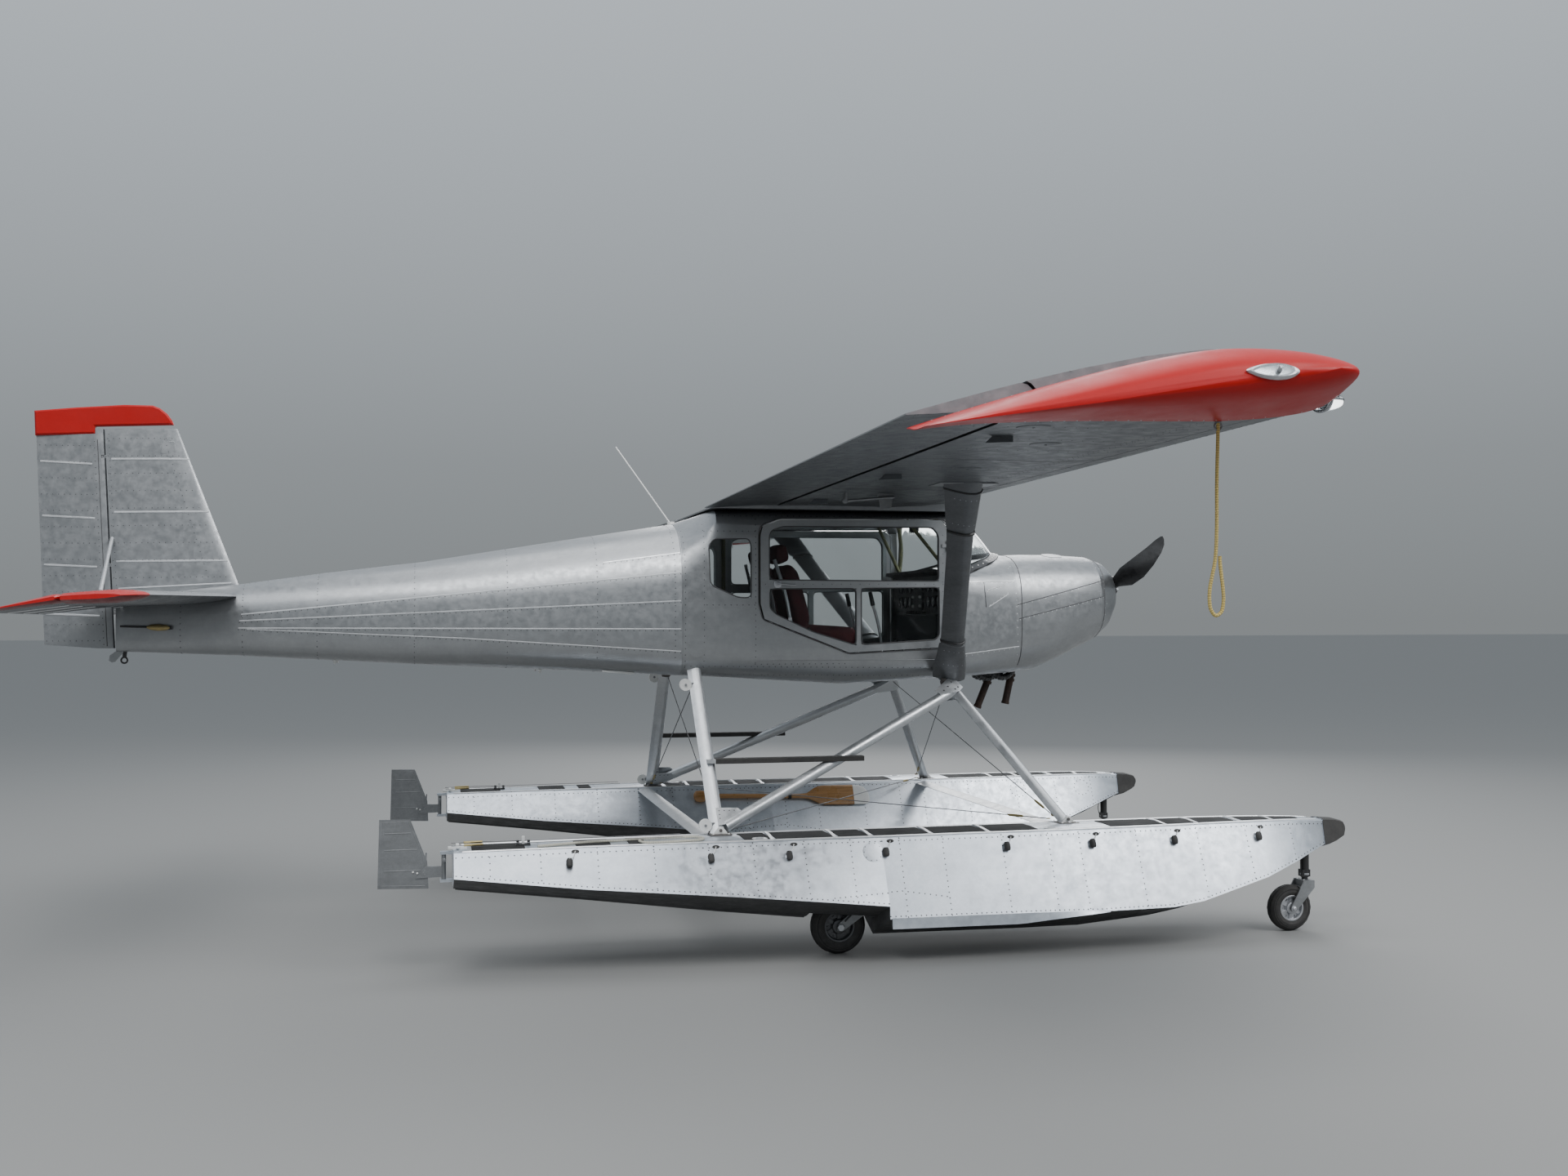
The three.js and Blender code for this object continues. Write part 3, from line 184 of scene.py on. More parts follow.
def turned(profile: Array, centre: Array, axis: Array, sides: int = 24, loop: bool = False,
           finish: int = 0) -> Shape:
    """A profile of (radius, distance along the axis) turned once round the axis through the centre.

    Args:
        profile: (radius, distance along the axis) of each ring.
        centre, axis: a point and the direction of the axis.
        sides: points round each ring.
        loop: whether the last ring joins the first one.
        finish: index of the finish.

    Returns:
        The closed shape.
    """
    profile = np.asarray(profile, float)
    axis = unit(np.asarray(axis, float))
    side = unit(np.cross(axis, UP if abs(axis[2]) < 0.9 else AHEAD))
    rise = np.cross(axis, side)
    turn = turns(sides)
    rim = np.cos(turn)[:, None] * side + np.sin(turn)[:, None] * rise
    rings = np.asarray(centre) + profile[:, 1, None, None] * axis + profile[:, 0, None, None] * rim
    return skin(rings, loop=loop, finish=finish)


def bar(start: Array, end: Array, width: float, height: float, lean: Array = UP, finish: int = 0) -> Shape:
    """A flat bar between two points, its height along the lean direction.

    Args:
        start, end: middles of its two ends.
        width, height: its size across.
        lean: direction that the height leans to.
        finish: index of the finish.

    Returns:
        The closed shape.
    """
    start, end = np.asarray(start, float), np.asarray(end, float)
    along = unit(end - start)
    side = unit(np.cross(along, lean))
    rise = np.cross(side, along)
    corners = np.array([[1, 1], [-1, 1], [-1, -1], [1, -1]]) * [width / 2, height / 2]
    ring = corners[:, :1] * side + corners[:, 1:] * rise
    return skin(np.stack([start + ring, end + ring]), finish=finish)


def plate(outline: Array, normal: Array, thick: float, finish: int = 0) -> Shape:
    """A flat outline of 3-D points carried both ways along its normal by half a thickness.

    Args:
        outline: corners as (n, 3).
        normal: direction across the plate.
        thick: thickness.
        finish: index of the finish.

    Returns:
        The closed shape.
    """
    outline = np.asarray(outline, float)
    step = unit(np.asarray(normal, float)) * thick / 2
    return skin(np.stack([outline - step, outline + step]), finish=finish)


def domes(at: Array, normal: Array, radius: float, height: float, finish: int = 0) -> Shape:
    """Small raised heads: a ring of six points at the skin and one at the top, for each place.

    Args:
        at: places of the heads.
        normal: one outward direction, or one for each place.
        radius, height: size of a head.
        finish: index of the finish.

    Returns:
        All the heads as one shape.
    """
    at = np.asarray(at, float)
    if len(at) == 0:
        return Shape(np.zeros((0, 3)), [], finish)
    normal = np.broadcast_to(unit(normal), at.shape)
    flat = np.where(np.abs(normal[:, 2:]) < 0.9, UP, AHEAD)
    side = unit(np.cross(normal, flat))
    rise = np.cross(normal, side)
    turn = turns(6)
    rim = np.cos(turn)[None, :, None] * side[:, None] + np.sin(turn)[None, :, None] * rise[:, None]
    foot = at[:, None] + radius * rim - 0.0008 * normal[:, None]
    points = np.concatenate([foot, (at + height * normal)[:, None]], 1)
    start = (np.arange(len(at)) * 7)[:, None, None]
    around = np.stack([np.arange(6), (np.arange(6) + 1) % 6, np.full(6, 6)], -1)
    faces = (start + around).reshape(-1, 3).tolist()
    faces += (start[:, 0] + np.arange(6)[::-1]).tolist()
    return Shape(points.reshape(-1, 3), faces, finish)


def curve(points: Array, count: int) -> Array:
    """A centripetal Catmull-Rom curve through the points, sampled evenly in its parameter.

    Args:
        points: points that the curve passes through.
        count: number of samples.

    Returns:
        Samples as (count, 3).
    """
    p = np.asarray(points, float)
    p = np.concatenate([[2 * p[0] - p[1]], p, [2 * p[-1] - p[-2]]])
    t = np.concatenate([[0], np.cumsum(np.sqrt(np.linalg.norm(np.diff(p, axis=0), axis=1)))])
    u = np.linspace(t[1], t[-2], count)
    k = np.clip(np.searchsorted(t, u, side="right") - 1, 1, len(p) - 3)

    def mix(a: Array, b: Array, ta: Array, tb: Array) -> Array:
        """The point at u on the straight run from a at ta to b at tb."""
        return ((tb - u)[:, None] * a + (u - ta)[:, None] * b) / (tb - ta)[:, None]

    a1 = mix(p[k - 1], p[k], t[k - 1], t[k])
    a2 = mix(p[k], p[k + 1], t[k], t[k + 1])
    a3 = mix(p[k + 1], p[k + 2], t[k + 1], t[k + 2])
    b1 = mix(a1, a2, t[k - 1], t[k + 1])
    b2 = mix(a2, a3, t[k], t[k + 2])
    return mix(b1, b2, t[k], t[k + 1])


def along(start: Array, end: Array, pitch: float) -> Array:
    """Places from start to end, spaced by about the pitch.

    Args:
        start, end: first and last place.
        pitch: wanted distance between places.

    Returns:
        Places as (n, 3).
    """
    start, end = np.asarray(start, float), np.asarray(end, float)
    count = max(int(round(np.linalg.norm(end - start) / pitch)), 1) + 1
    return start + np.linspace(0, 1, count)[:, None] * (end - start)


class Cover:
    """The outside of some CAD nodes, on which fittings and rivets are laid."""

    def __init__(self, *names: str) -> None:
        """Joins the faces of the named nodes into one search tree.

        Args:
            names: the CAD nodes.
        """
        corners, faces, start = [], [], 0
        for name in names:
            mesh = bpy.data.objects[name].data
            points = np.zeros(len(mesh.vertices) * 3)
            mesh.vertices.foreach_get("co", points)
            corners += points.reshape(-1, 3).tolist()
            faces += [[start + k for k in face.vertices] for face in mesh.polygons]
            start = len(corners)
        self.tree = BVHTree.FromPolygons(corners, faces)

    def cast(self, places: Array, toward: Array) -> tuple[Array, Array]:
        """Where lines through the places, from 3 m outside, first meet the nodes.

        Args:
            places: points as (n, 3); only their place across the direction counts.
            toward: direction of all the lines.

        Returns:
            Points met and the outward normals there; lines that miss are left out.
        """
        step = unit(np.asarray(toward, float))
        found = [self.tree.ray_cast(Vector(p - 3 * step), Vector(step)) for p in np.atleast_2d(places)]
        hits = [(tuple(h[0]), tuple(h[1])) for h in found if h[0] is not None]
        if not hits:
            return np.zeros((0, 3)), np.zeros((0, 3))
        points, normals = np.array(hits).transpose(1, 0, 2)
        normals *= -np.sign((normals * step).sum(1, keepdims=True))
        return points, normals

    def spot(self, x: float, y: float, z: float, toward: Array) -> tuple[Array, Array]:
        """The point and outward normal where one line meets the nodes."""
        points, normals = self.cast([[x, y, z]], toward)
        return points[0], normals[0]

    def rivets(self, rows: list, toward: Array, radius: float = 0.0042, height: float = 0.0017) -> Shape:
        """Rivet heads along straight rows, laid on the nodes.

        Args:
            rows: (start, end, pitch) for each row.
            toward: direction in which the rows are laid.
            radius: radius of a head.
            height: height of a head.

        Returns:
            All the heads as one shape.
        """
        places = np.concatenate([along(a, b, pitch) for a, b, pitch in rows])
        return domes(*self.cast(places, toward), radius, height)

    def line(self, start: Array, end: Array, toward: Array, radius: float, lift: float = 0.0,
             pitch: float = 0.03, finish: int = 0) -> Shape:
        """A thin round bead laid on the nodes from start to end.

        Args:
            start, end: ends of the bead; only their place across the direction counts.
            toward: direction in which it is laid.
            radius: radius of the bead.
            lift: how far its middle stands off the nodes.
            pitch: distance between its points.
            finish: index of the finish.

        Returns:
            The bead, or an empty shape where nothing is met.
        """
        points, normals = self.cast(along(start, end, pitch), toward)
        if len(points) < 2:
            return Shape(np.zeros((0, 3)), [], finish)
        return tube(points + lift * normals, radius, 6, unit(normals.mean(0)), finish)


# Finishes


class Sheet:
    """A node tree that is written one node at a time."""

    def __init__(self, tree: bpy.types.NodeTree) -> None:
        """Starts on a tree with no nodes."""
        self.tree = tree
        tree.nodes.clear()

    def node(self, kind: str, settings: dict | None = None, **values: object) -> Node:
        """Adds a node.

        Args:
            kind: Blender's name of the node's type.
            settings: properties of the node itself.
            values: inputs by name, with _ for a blank; a socket is linked, anything else is set.

        Returns:
            The new node.
        """
        made = self.tree.nodes.new(kind)
        for name, value in (settings or {}).items():
            setattr(made, name, value)
        for name, value in values.items():
            socket = made.inputs[int(name[1:])] if name[1:].isdigit() else made.inputs[name.replace("_", " ")]
            if isinstance(value, Socket):
                self.tree.links.new(value, socket)
            else:
                socket.default_value = value
        return made

    def link(self, value: Socket, shader: Node, name: str) -> None:
        """Links a value to the shader's socket of that name."""
        self.tree.links.new(value, shader.inputs[name])

    def maths(self, operation: str, *values: object) -> Socket:
        """The result of one arithmetic node on the given values."""
        inputs = {f"_{i}": value for i, value in enumerate(values)}
        return self.node("ShaderNodeMath", {"operation": operation}, **inputs).outputs[0]

    def mixed(self, first: object, second: object, factor: object, way: str = "MIX") -> Socket:
        """Two colours mixed by a factor."""
        settings = {"data_type": "RGBA", "blend_type": way}
        return self.node("ShaderNodeMix", settings, Factor=factor, _6=first, _7=second).outputs[2]

    def spread(self, value: Socket, low: float, high: float, start: object = 0.0,
               end: object = 1.0) -> Socket:
        """A value's range from low to high, carried to start and end."""
        return self.node("ShaderNodeMapRange", _0=value, _1=low, _2=high, _3=start, _4=end).outputs[0]

    def place(self) -> Socket:
        """Object coordinates, which are the part's own frame in metres."""
        return self.node("ShaderNodeTexCoord").outputs["Object"]


def grouped(name: str, inputs: dict, output: str, kind: str) -> tuple[Sheet, dict]:
    """A new shader node group with its sockets.

    Args:
        name: name of the group.
        inputs: first value by name; a tuple makes a colour socket, a number a plain one.
        output: name of its output.
        kind: socket type of its output.

    Returns:
        The sheet to write on and the group's inputs by name.
    """
    tree = bpy.data.node_groups.new(name, "ShaderNodeTree")
    for label, value in inputs.items():
        sort = "NodeSocketColor" if isinstance(value, tuple) else "NodeSocketFloat"
        tree.interface.new_socket(label, in_out="INPUT", socket_type=sort).default_value = value
    tree.interface.new_socket(output, in_out="OUTPUT", socket_type=kind)
    sheet = Sheet(tree)
    return sheet, sheet.node("NodeGroupInput").outputs


def group_named(name: str) -> bpy.types.NodeTree:
    """The shared effect with that name, made the first time that it is asked for.

    Args:
        name: name of the effect.

    Returns:
        Its node group.
    """
    if name not in bpy.data.node_groups:
        {"blotched_tone": blotched_tone, "uneven_gloss": uneven_gloss, "fine_relief": fine_relief}[name]()
    return bpy.data.node_groups[name]


def blotched_tone() -> None:
    """Two tones mixed by large soft blotches, small stains and faint streaks along X."""
    tones = {"First": (0.5, 0.5, 0.5, 1), "Second": (0.4, 0.4, 0.4, 1), "Scale": 3.0, "Stain": 0.3}
    sheet, given = grouped("blotched_tone", tones, "Color", "NodeSocketColor")
    place = sheet.place()
    soft = sheet.node("ShaderNodeTexNoise", Vector=place, Scale=given["Scale"], Detail=6.0, Roughness=0.62)
    fine = sheet.node("ShaderNodeTexNoise", Vector=place, Scale=55.0, Detail=4.0, Roughness=0.7)
    drawn = sheet.node("ShaderNodeMapping", Vector=place, Scale=(1.5, 9.0, 26.0))
    streak = sheet.node("ShaderNodeTexNoise", Vector=drawn.outputs[0], Scale=1.0, Detail=5.0, Roughness=0.6)
    stained = sheet.maths("MULTIPLY_ADD", fine.outputs[0], 0.7, soft.outputs[0])
    streaked = sheet.maths("MULTIPLY_ADD", streak.outputs[0], given["Stain"], stained)
    tone = sheet.mixed(given["First"], given["Second"], sheet.spread(streaked, 0.66, 1.42))
    sheet.node("NodeGroupOutput", Color=tone)


def uneven_gloss() -> None:
    """A roughness that wanders between two values over patches of a given size."""
    sheet, given = grouped("uneven_gloss", {"Low": 0.3, "High": 0.5, "Scale": 8.0}, "Roughness",
                           "NodeSocketFloat")
    patch = sheet.node("ShaderNodeTexNoise", Vector=sheet.place(), Scale=given["Scale"], Detail=5.0,
                       Roughness=0.65)
    gloss = sheet.spread(patch.outputs[0], 0.35, 0.65, given["Low"], given["High"])
    sheet.node("NodeGroupOutput", Roughness=gloss)


def fine_relief() -> None:
    """Small bumps over broad waves, as rolled and dented sheet metal has."""
    sheet, given = grouped("fine_relief", {"Scale": 40.0, "Fine": 0.1, "Broad": 0.2}, "Normal",
                           "NodeSocketVector")
    place = sheet.place()
    small = sheet.node("ShaderNodeTexNoise", Vector=place, Scale=given["Scale"], Detail=4.0)
    large = sheet.node("ShaderNodeTexNoise", Vector=place, Scale=4.5, Detail=1.0)
    waves = sheet.node("ShaderNodeBump", Strength=given["Broad"], Distance=0.02, Height=large.outputs[0])
    grain = sheet.node("ShaderNodeBump", Strength=given["Fine"], Distance=0.001, Height=small.outputs[0],
                       Normal=waves.outputs[0])
    sheet.node("NodeGroupOutput", Normal=grain.outputs[0])


@dataclass(frozen=True)
class Finish:
    """A weathered surface: two tones, an uneven gloss and a fine relief.

    Attributes:
        name, slot: name of the material and the part's slot that it stands for.
        first, second: the two tones, in linear colour.
        low, high: least and greatest roughness.
        metal: how metallic it is.
        scale, stain: fineness of the blotches and strength of the streaks.
        grain, fine, broad: fineness and strength of the bumps, and strength of the waves under them.
        coat, shine: clear coat and plain reflection.
    """

    name: str
    slot: str
    first: tuple[float, float, float]
    second: tuple[float, float, float]
    low: float = 0.35
    high: float = 0.5
    metal: float = 0.0
    scale: float = 3.0
    stain: float = 0.3
    grain: float = 40.0
    fine: float = 0.1
    broad: float = 0.1
    coat: float = 0.0
    shine: float = 0.5

    def dress(self, sheet: Sheet, shader: Node, tone: Socket) -> None:
        """Links the tone to the shader; other finishes put their own pattern in between."""
        sheet.link(tone, shader, "Base Color")

    def share(self, sheet: Sheet, name: str, **values: object) -> Socket:
        """What the shared effect of that name gives with this finish's own values."""
        return sheet.node("ShaderNodeGroup", {"node_tree": group_named(name)}, **values).outputs[0]

    def write(self, sheet: Sheet) -> Node:
        """Writes the whole material and returns its shader.

        Args:
            sheet: the material's sheet.

        Returns:
            The shader.
        """
        shader = sheet.node("ShaderNodeBsdfPrincipled", Metallic=self.metal, Coat_Weight=self.coat,
                            Coat_Roughness=0.08, Specular_IOR_Level=self.shine)
        tone = self.share(sheet, "blotched_tone", First=(*self.first, 1), Second=(*self.second, 1),
                          Scale=self.scale, Stain=self.stain)
        gloss = self.share(sheet, "uneven_gloss", Low=self.low, High=self.high, Scale=self.scale * 3)
        relief = self.share(sheet, "fine_relief", Scale=self.grain, Fine=self.fine, Broad=self.broad)
        sheet.link(gloss, shader, "Roughness")
        sheet.link(relief, shader, "Normal")
        self.dress(sheet, shader, tone)
        return shader

    def material(self) -> Material:
        """The finish as a material, made once.

        Returns:
            The material.
        """
        if self.name not in bpy.data.materials:
            made = bpy.data.materials.new(self.name)
            made.use_nodes = True
            sheet = Sheet(made.node_tree)
            sheet.node("ShaderNodeOutputMaterial", Surface=self.write(sheet).outputs[0])
        return bpy.data.materials[self.name]


@dataclass(frozen=True)
class Tipped(Finish):
    """Bare metal whose ends beyond a distance from the middle plane are painted."""

    limit: float = 1.38
    paint: tuple[float, float, float] = (0.42, 0.004, 0.004)

    def dress(self, sheet: Sheet, shader: Node, tone: Socket) -> None:
        """Mixes the paint in, and the metal out, where Y is beyond the limit on either side.

        Args:
            sheet: the material's sheet.
            shader: its shader.
            tone: colour of the surface.
        """
        across = sheet.node("ShaderNodeSeparateXYZ", _0=sheet.place()).outputs[1]
        mask = sheet.maths("GREATER_THAN", sheet.maths("ABSOLUTE", across), self.limit)
        sheet.link(sheet.mixed(tone, (*self.paint, 1), mask), shader, "Base Color")
        sheet.link(sheet.spread(mask, 0.0, 1.0, self.metal, 0.0), shader, "Metallic")


@dataclass(frozen=True)
class Wood(Finish):
    """Varnished wood: bands of grain drawn out along X."""

    def dress(self, sheet: Sheet, shader: Node, tone: Socket) -> None:
        """Darkens the tone along wavy lines of grain.

        Args:
            sheet: the material's sheet.
            shader: its shader.
            tone: colour of the surface.
        """
        drawn = sheet.node("ShaderNodeMapping", Vector=sheet.place(), Scale=(3.0, 60.0, 60.0))
        grain = sheet.node("ShaderNodeTexNoise", Vector=drawn.outputs[0], Scale=1.6, Detail=6.0,
                           Roughness=0.7, Distortion=0.6)
        lines = sheet.spread(grain.outputs[0], 0.35, 0.68, 0.55, 1.1)
        sheet.link(sheet.mixed(tone, lines, 1.0, "MULTIPLY"), shader, "Base Color")


@dataclass(frozen=True)
class Woven(Finish):
    """Two crossed sets of threads, shaded and raised by the height that weave() gives."""

    strength: float = 0.35
    depth: float = 0.0008
    darkest: float = 0.72
    lowest: float = 0.0

    def weave(self, sheet: Sheet) -> Socket:
        """Height of the crossed threads over the surface."""
        raise NotImplementedError

    def dress(self, sheet: Sheet, shader: Node, tone: Socket) -> None:
        """Shades the tone between the threads and raises them.

        Args:
            sheet: the material's sheet.
            shader: its shader.
            tone: colour of the surface.
        """
        weave = self.weave(sheet)
        lines = sheet.spread(weave, self.lowest, 1, self.darkest, 1.15)
        sheet.link(sheet.mixed(tone, lines, 1.0, "MULTIPLY"), shader, "Base Color")
        relief = sheet.node("ShaderNodeBump", Strength=self.strength, Distance=self.depth, Height=weave)
        sheet.link(relief.outputs[0], shader, "Normal")


@dataclass(frozen=True)
class Cloth(Woven):
    """Woven cloth on Object coordinates."""

    threads: float = 420.0

    def weave(self, sheet: Sheet) -> Socket:
        """Waves along Y times waves along the diagonal.

        Args:
            sheet: the material's sheet.

        Returns:
            Height of the threads.
        """
        place = sheet.place()
        waves = [sheet.node("ShaderNodeTexWave", {"bands_direction": way}, Vector=place,
                            Scale=self.threads / 6.3)
                 for way in ("Y", "DIAGONAL")]
        return sheet.maths("MULTIPLY", *(wave.outputs[1] for wave in waves))


@dataclass(frozen=True)
class Braid(Woven):
    """Braided rope: two sets of strands that wind both ways in the tube's own UV map."""

    strength: float = 0.6
    depth: float = 0.0015
    darkest: float = 0.55
    lowest: float = -1.0
    strands: float = 5.0
    pitch: float = 60.0

    def weave(self, sheet: Sheet) -> Socket:
        """The sine of u and v times the sine of v minus u, each in whole turns.

        Args:
            sheet: the material's sheet.

        Returns:
            Height of the strands.
        """
        place = sheet.node("ShaderNodeUVMap", {"uv_map": "UVMap"}).outputs[0]
        parts = sheet.node("ShaderNodeSeparateXYZ", _0=place).outputs
        winds = []
        for way in (1, -1):
            turn = sheet.maths("MULTIPLY", parts[0], way * self.strands * 2 * math.pi)
            run = sheet.maths("MULTIPLY_ADD", parts[1], self.pitch * 2 * math.pi, turn)
            winds.append(sheet.maths("SINE", run))
        return sheet.maths("MULTIPLY", *winds)


@dataclass(frozen=True)
class Clear(Finish):
    """Clear acrylic with faint wipe marks in its gloss."""

    def write(self, sheet: Sheet) -> Node:
        """Writes a plain glass shader whose gloss alone wanders.

        Args:
            sheet: the material's sheet.

        Returns:
            The shader.
        """
        gloss = self.share(sheet, "uneven_gloss", Low=self.low, High=self.high, Scale=9.0)
        return sheet.node("ShaderNodeBsdfPrincipled", Base_Color=(*self.first, 1), Metallic=0.0, IOR=1.2,
                          Transmission_Weight=1.0, Roughness=gloss)


SKIN = Finish("aged_aluminium", "bare_skin", (0.4, 0.41, 0.42), (0.32, 0.33, 0.34), 0.3, 0.46, 0.85, 9.0, 0.5,
              60, 0.16, 0.07)
FLOAT_SKIN = Finish("float_aluminium", "float_skin", (0.72, 0.76, 0.81), (0.52, 0.56, 0.61), 0.28, 0.44, 0.82,
                    7.0, 0.4, 60, 0.12, 0.08)
# Near black for the floats' bottoms, their low faces that look aft and their keel strips: painted shade.
FLOAT_BOTTOM_SHADE = Finish("dark_bottom_paint", "float_skin", (0.045, 0.047, 0.05), (0.09, 0.09, 0.09), 0.45, 0.7,
                      0.0, 4, 0.5, 90, 0.25, 0.05)
TUBE = Finish("brushed_strut_metal", "strut_metal", (0.72, 0.735, 0.75), (0.55, 0.565, 0.58), 0.32, 0.5, 0.85,
              5.0, 0.5, 90, 0.12, 0.03)
SEAM = Finish("dark_joint_line", "bare_skin", (0.06, 0.06, 0.065), (0.12, 0.12, 0.12), 0.6, 0.8)
# Much paler than the skin: raised beads on creases and ribs painted as highlight lines; also used on the deck
# straps, edge rails and cowl fasteners.
BRIGHT_TRIM_AND_HIGHLIGHT = Finish("bright_metal_edge", "bare_skin", (0.8, 0.81, 0.82), (0.64, 0.65, 0.66), 0.28, 0.42, 0.7, 6.0)
# Darker metal for the faces that look down: painted shade under the wings, centre section, round covers and
# hinge brackets.
SHADED_UNDERSIDE = Finish("dull_metal_below", "bare_skin", (0.155, 0.165, 0.175), (0.1, 0.105, 0.115), 0.34, 0.5,
                   0.8, 6.0, 0.5, 60, 0.12, 0.06)
# Dark metal for the lift struts, standing in for the shade that they sit in: painted shade.
SHADED_LIFT_STRUT = Finish("dull_strut_metal", "strut_metal", (0.2, 0.205, 0.215), (0.13, 0.135, 0.14), 0.34, 0.5, 0.75,
               6.0, 0.5, 90, 0.12, 0.03)
RIVET = Finish("rivet_heads", "bare_skin", (0.15, 0.155, 0.16), (0.08, 0.08, 0.085), 0.45, 0.6, 0.6, 9.0)
FLOAT_RIVET = Finish("float_rivet_heads", "float_skin", (0.12, 0.125, 0.135), (0.08, 0.083, 0.09), 0.45, 0.6,
                     0.5, 9.0)
RED = Finish("gloss_red_paint", "red_paint", (0.42, 0.004, 0.004), (0.34, 0.003, 0.003), 0.36, 0.48, 0.0, 2.0,
             0.2, 30, 0.03, 0.05, 0.04, shine=0.28)
BLACK = Finish("satin_black_paint", "black_paint", (0.016, 0.016, 0.018), (0.03, 0.03, 0.03), 0.32, 0.5, 0.0,
               5.0, 0.4, 60, 0.1, 0.03, 0.2)
RUBBER = Finish("worn_tyre_rubber", "tyre_rubber", (0.022, 0.022, 0.023), (0.055, 0.052, 0.048), 0.62, 0.85,
                0.0, 7, 0.4, 180, 0.35, 0.03)
STEEL = Finish("gear_steel_paint", "gear_steel", (0.34, 0.35, 0.36), (0.22, 0.225, 0.23), 0.4, 0.6, 0.7, 9.0,
               0.5, 90, 0.2, 0.03)
HUB = Finish("dark_hub_metal", "gear_steel", (0.16, 0.163, 0.168), (0.09, 0.092, 0.096), 0.38, 0.55, 0.75,
             14.0, 0.4)
RIM = Finish("wheel_rim_metal", "gear_steel", (0.62, 0.63, 0.65), (0.42, 0.43, 0.45), 0.3, 0.5, 0.85, 14.0,
             0.4)
RUST = Finish("heat_browned_steel", "exhaust_steel", (0.1, 0.058, 0.042), (0.045, 0.034, 0.03), 0.5, 0.75,
              0.5, 14.0, 0.7, 120, 0.4, 0.05)
IRON = Finish("dark_cast_metal", "engine_iron", (0.1, 0.1, 0.105), (0.05, 0.05, 0.05), 0.5, 0.75, 0.6, 12.0,
              0.5, 120, 0.5, 0.1)
PLASTIC = Finish("matt_black_board", "board_plastic", (0.025, 0.025, 0.027), (0.045, 0.045, 0.047), 0.5, 0.7,
                 0.0, 10, 0.3, 220, 0.3, 0.02)
WHITE = Finish("white_enamel", "strut_metal", (0.82, 0.82, 0.8), (0.7, 0.7, 0.68), 0.3, 0.45, 0.0, 6.0, 0.4)
FABRIC = Cloth("maroon_seat_cloth", "seat_cloth", (0.115, 0.022, 0.028), (0.07, 0.014, 0.018), 0.75, 0.92)
WOOD = Wood("varnished_paddle_wood", "paddle_wood", (0.5, 0.27, 0.1), (0.4, 0.2, 0.07), 0.22, 0.4, 0.0, 4.0,
            0.3, 60, 0.06, 0, 0.4)
YELLOW_ROPE = Braid("yellow_braid", "rope_fibre", (0.72, 0.55, 0.16), (0.6, 0.47, 0.2), 0.75, 0.9, scale=20.0)
PALE_ROPE = Braid("pale_braid", "rope_fibre", (0.68, 0.66, 0.56), (0.54, 0.52, 0.44), 0.75, 0.9, scale=20.0)
GLASS = Clear("clear_acrylic", "window", (0.93, 0.96, 0.96), (0.9, 0.9, 0.9), 0.02, 0.07)
WIRE = Finish("rigging_wire", "strut_metal", (0.25, 0.25, 0.26), (0.14, 0.14, 0.14), 0.4, 0.6, 0.8, 20.0)
BRASS = Finish("worn_brass", "strut_metal", (0.45, 0.36, 0.16), (0.3, 0.25, 0.14), 0.4, 0.6, 0.8, 20.0)

TAIL_TOP = Tipped("tail_plane_above", "bare_skin", SKIN.first, SKIN.second, 0.3, 0.46, 0.85, 9.0, 0.5, 60.0,
                  0.16, 0.07)
# A darker copy of the tail planes' finish, red tips too, for their faces that look down: painted shade.
TAIL_SHADED_BELOW = Tipped("tail_plane_below", "bare_skin", SHADED_UNDERSIDE.first, SHADED_UNDERSIDE.second, 0.34, 0.5, 0.8, 6.0,
                    0.5, 60, 0.12, 0.06, paint=(0.17, 0.002, 0.002))
PRIMER = Finish("green_primer_tube", "strut_metal", (0.2, 0.2, 0.1), (0.14, 0.145, 0.08), 0.5, 0.7, 0.0, 6.0)
BRACKET = Finish("stained_steel_bracket", "gear_steel", (0.2, 0.19, 0.18), (0.11, 0.1, 0.095), 0.45, 0.7, 0.6,
                 22.0, 0.6, 120, 0.3)
# Near black for the deck's non-slip strips, and for thin rings that paint shade into the tyres' grooves.
GRIP_AND_GROOVE_SHADE = Finish("tyre_groove", "tyre_rubber", (0.008, 0.008, 0.008), (0.014, 0.014, 0.014), 0.8, 0.95)


# Pieces


def piece(name: str, shapes: list, finishes: list, body: str = "airframe", smooth: float = 40.0,
          bevel: float = 0.0) -> bpy.types.Object:
    """Joins shapes into one mesh object that rides on a CAD body.

    Args:
        name: name of the piece.
        shapes: shapes to join; each one's finish indexes the next list.
        finishes: finishes of the piece.
        body: CAD body that carries it.
        smooth: angle in degrees over which an edge stays sharp.
        bevel: width of a small bevel on its sharp edges, 0 for none.

    Returns:
        The finished object.
    """
    shapes = [s for s in shapes if len(s.faces)]
    starts = np.cumsum([0] + [len(s.points) for s in shapes])
    points = np.concatenate([s.points for s in shapes])
    faces = [[k + start for k in f] for s, start in zip(shapes, starts) for f in s.faces]
    mesh = bpy.data.meshes.new(name)
    mesh.from_pydata(points.tolist(), [], faces)
    mesh.polygons.foreach_set("material_index",
                              np.repeat([s.finish for s in shapes], [len(s.faces) for s in shapes]))
    made = bmesh.new()
    made.from_mesh(mesh)
    bmesh.ops.recalc_face_normals(made, faces=made.faces)
    made.to_mesh(mesh)
    made.free()
    for finish in finishes:
        mesh.materials.append(finish.material())
    mesh.shade_smooth()
    mesh.set_sharp_from_angle(angle=math.radians(smooth))
    thing = bpy.data.objects.new(name, mesh)
    bpy.context.scene.collection.objects.link(thing)
    if bevel:
        edge = thing.modifiers.new("softened_edges", "BEVEL")
        edge.width = bevel
        edge.segments = 2
        edge.limit_method = "ANGLE"
    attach(thing, body)
    log.info("%s: %d faces", name, len(faces))
    return thing


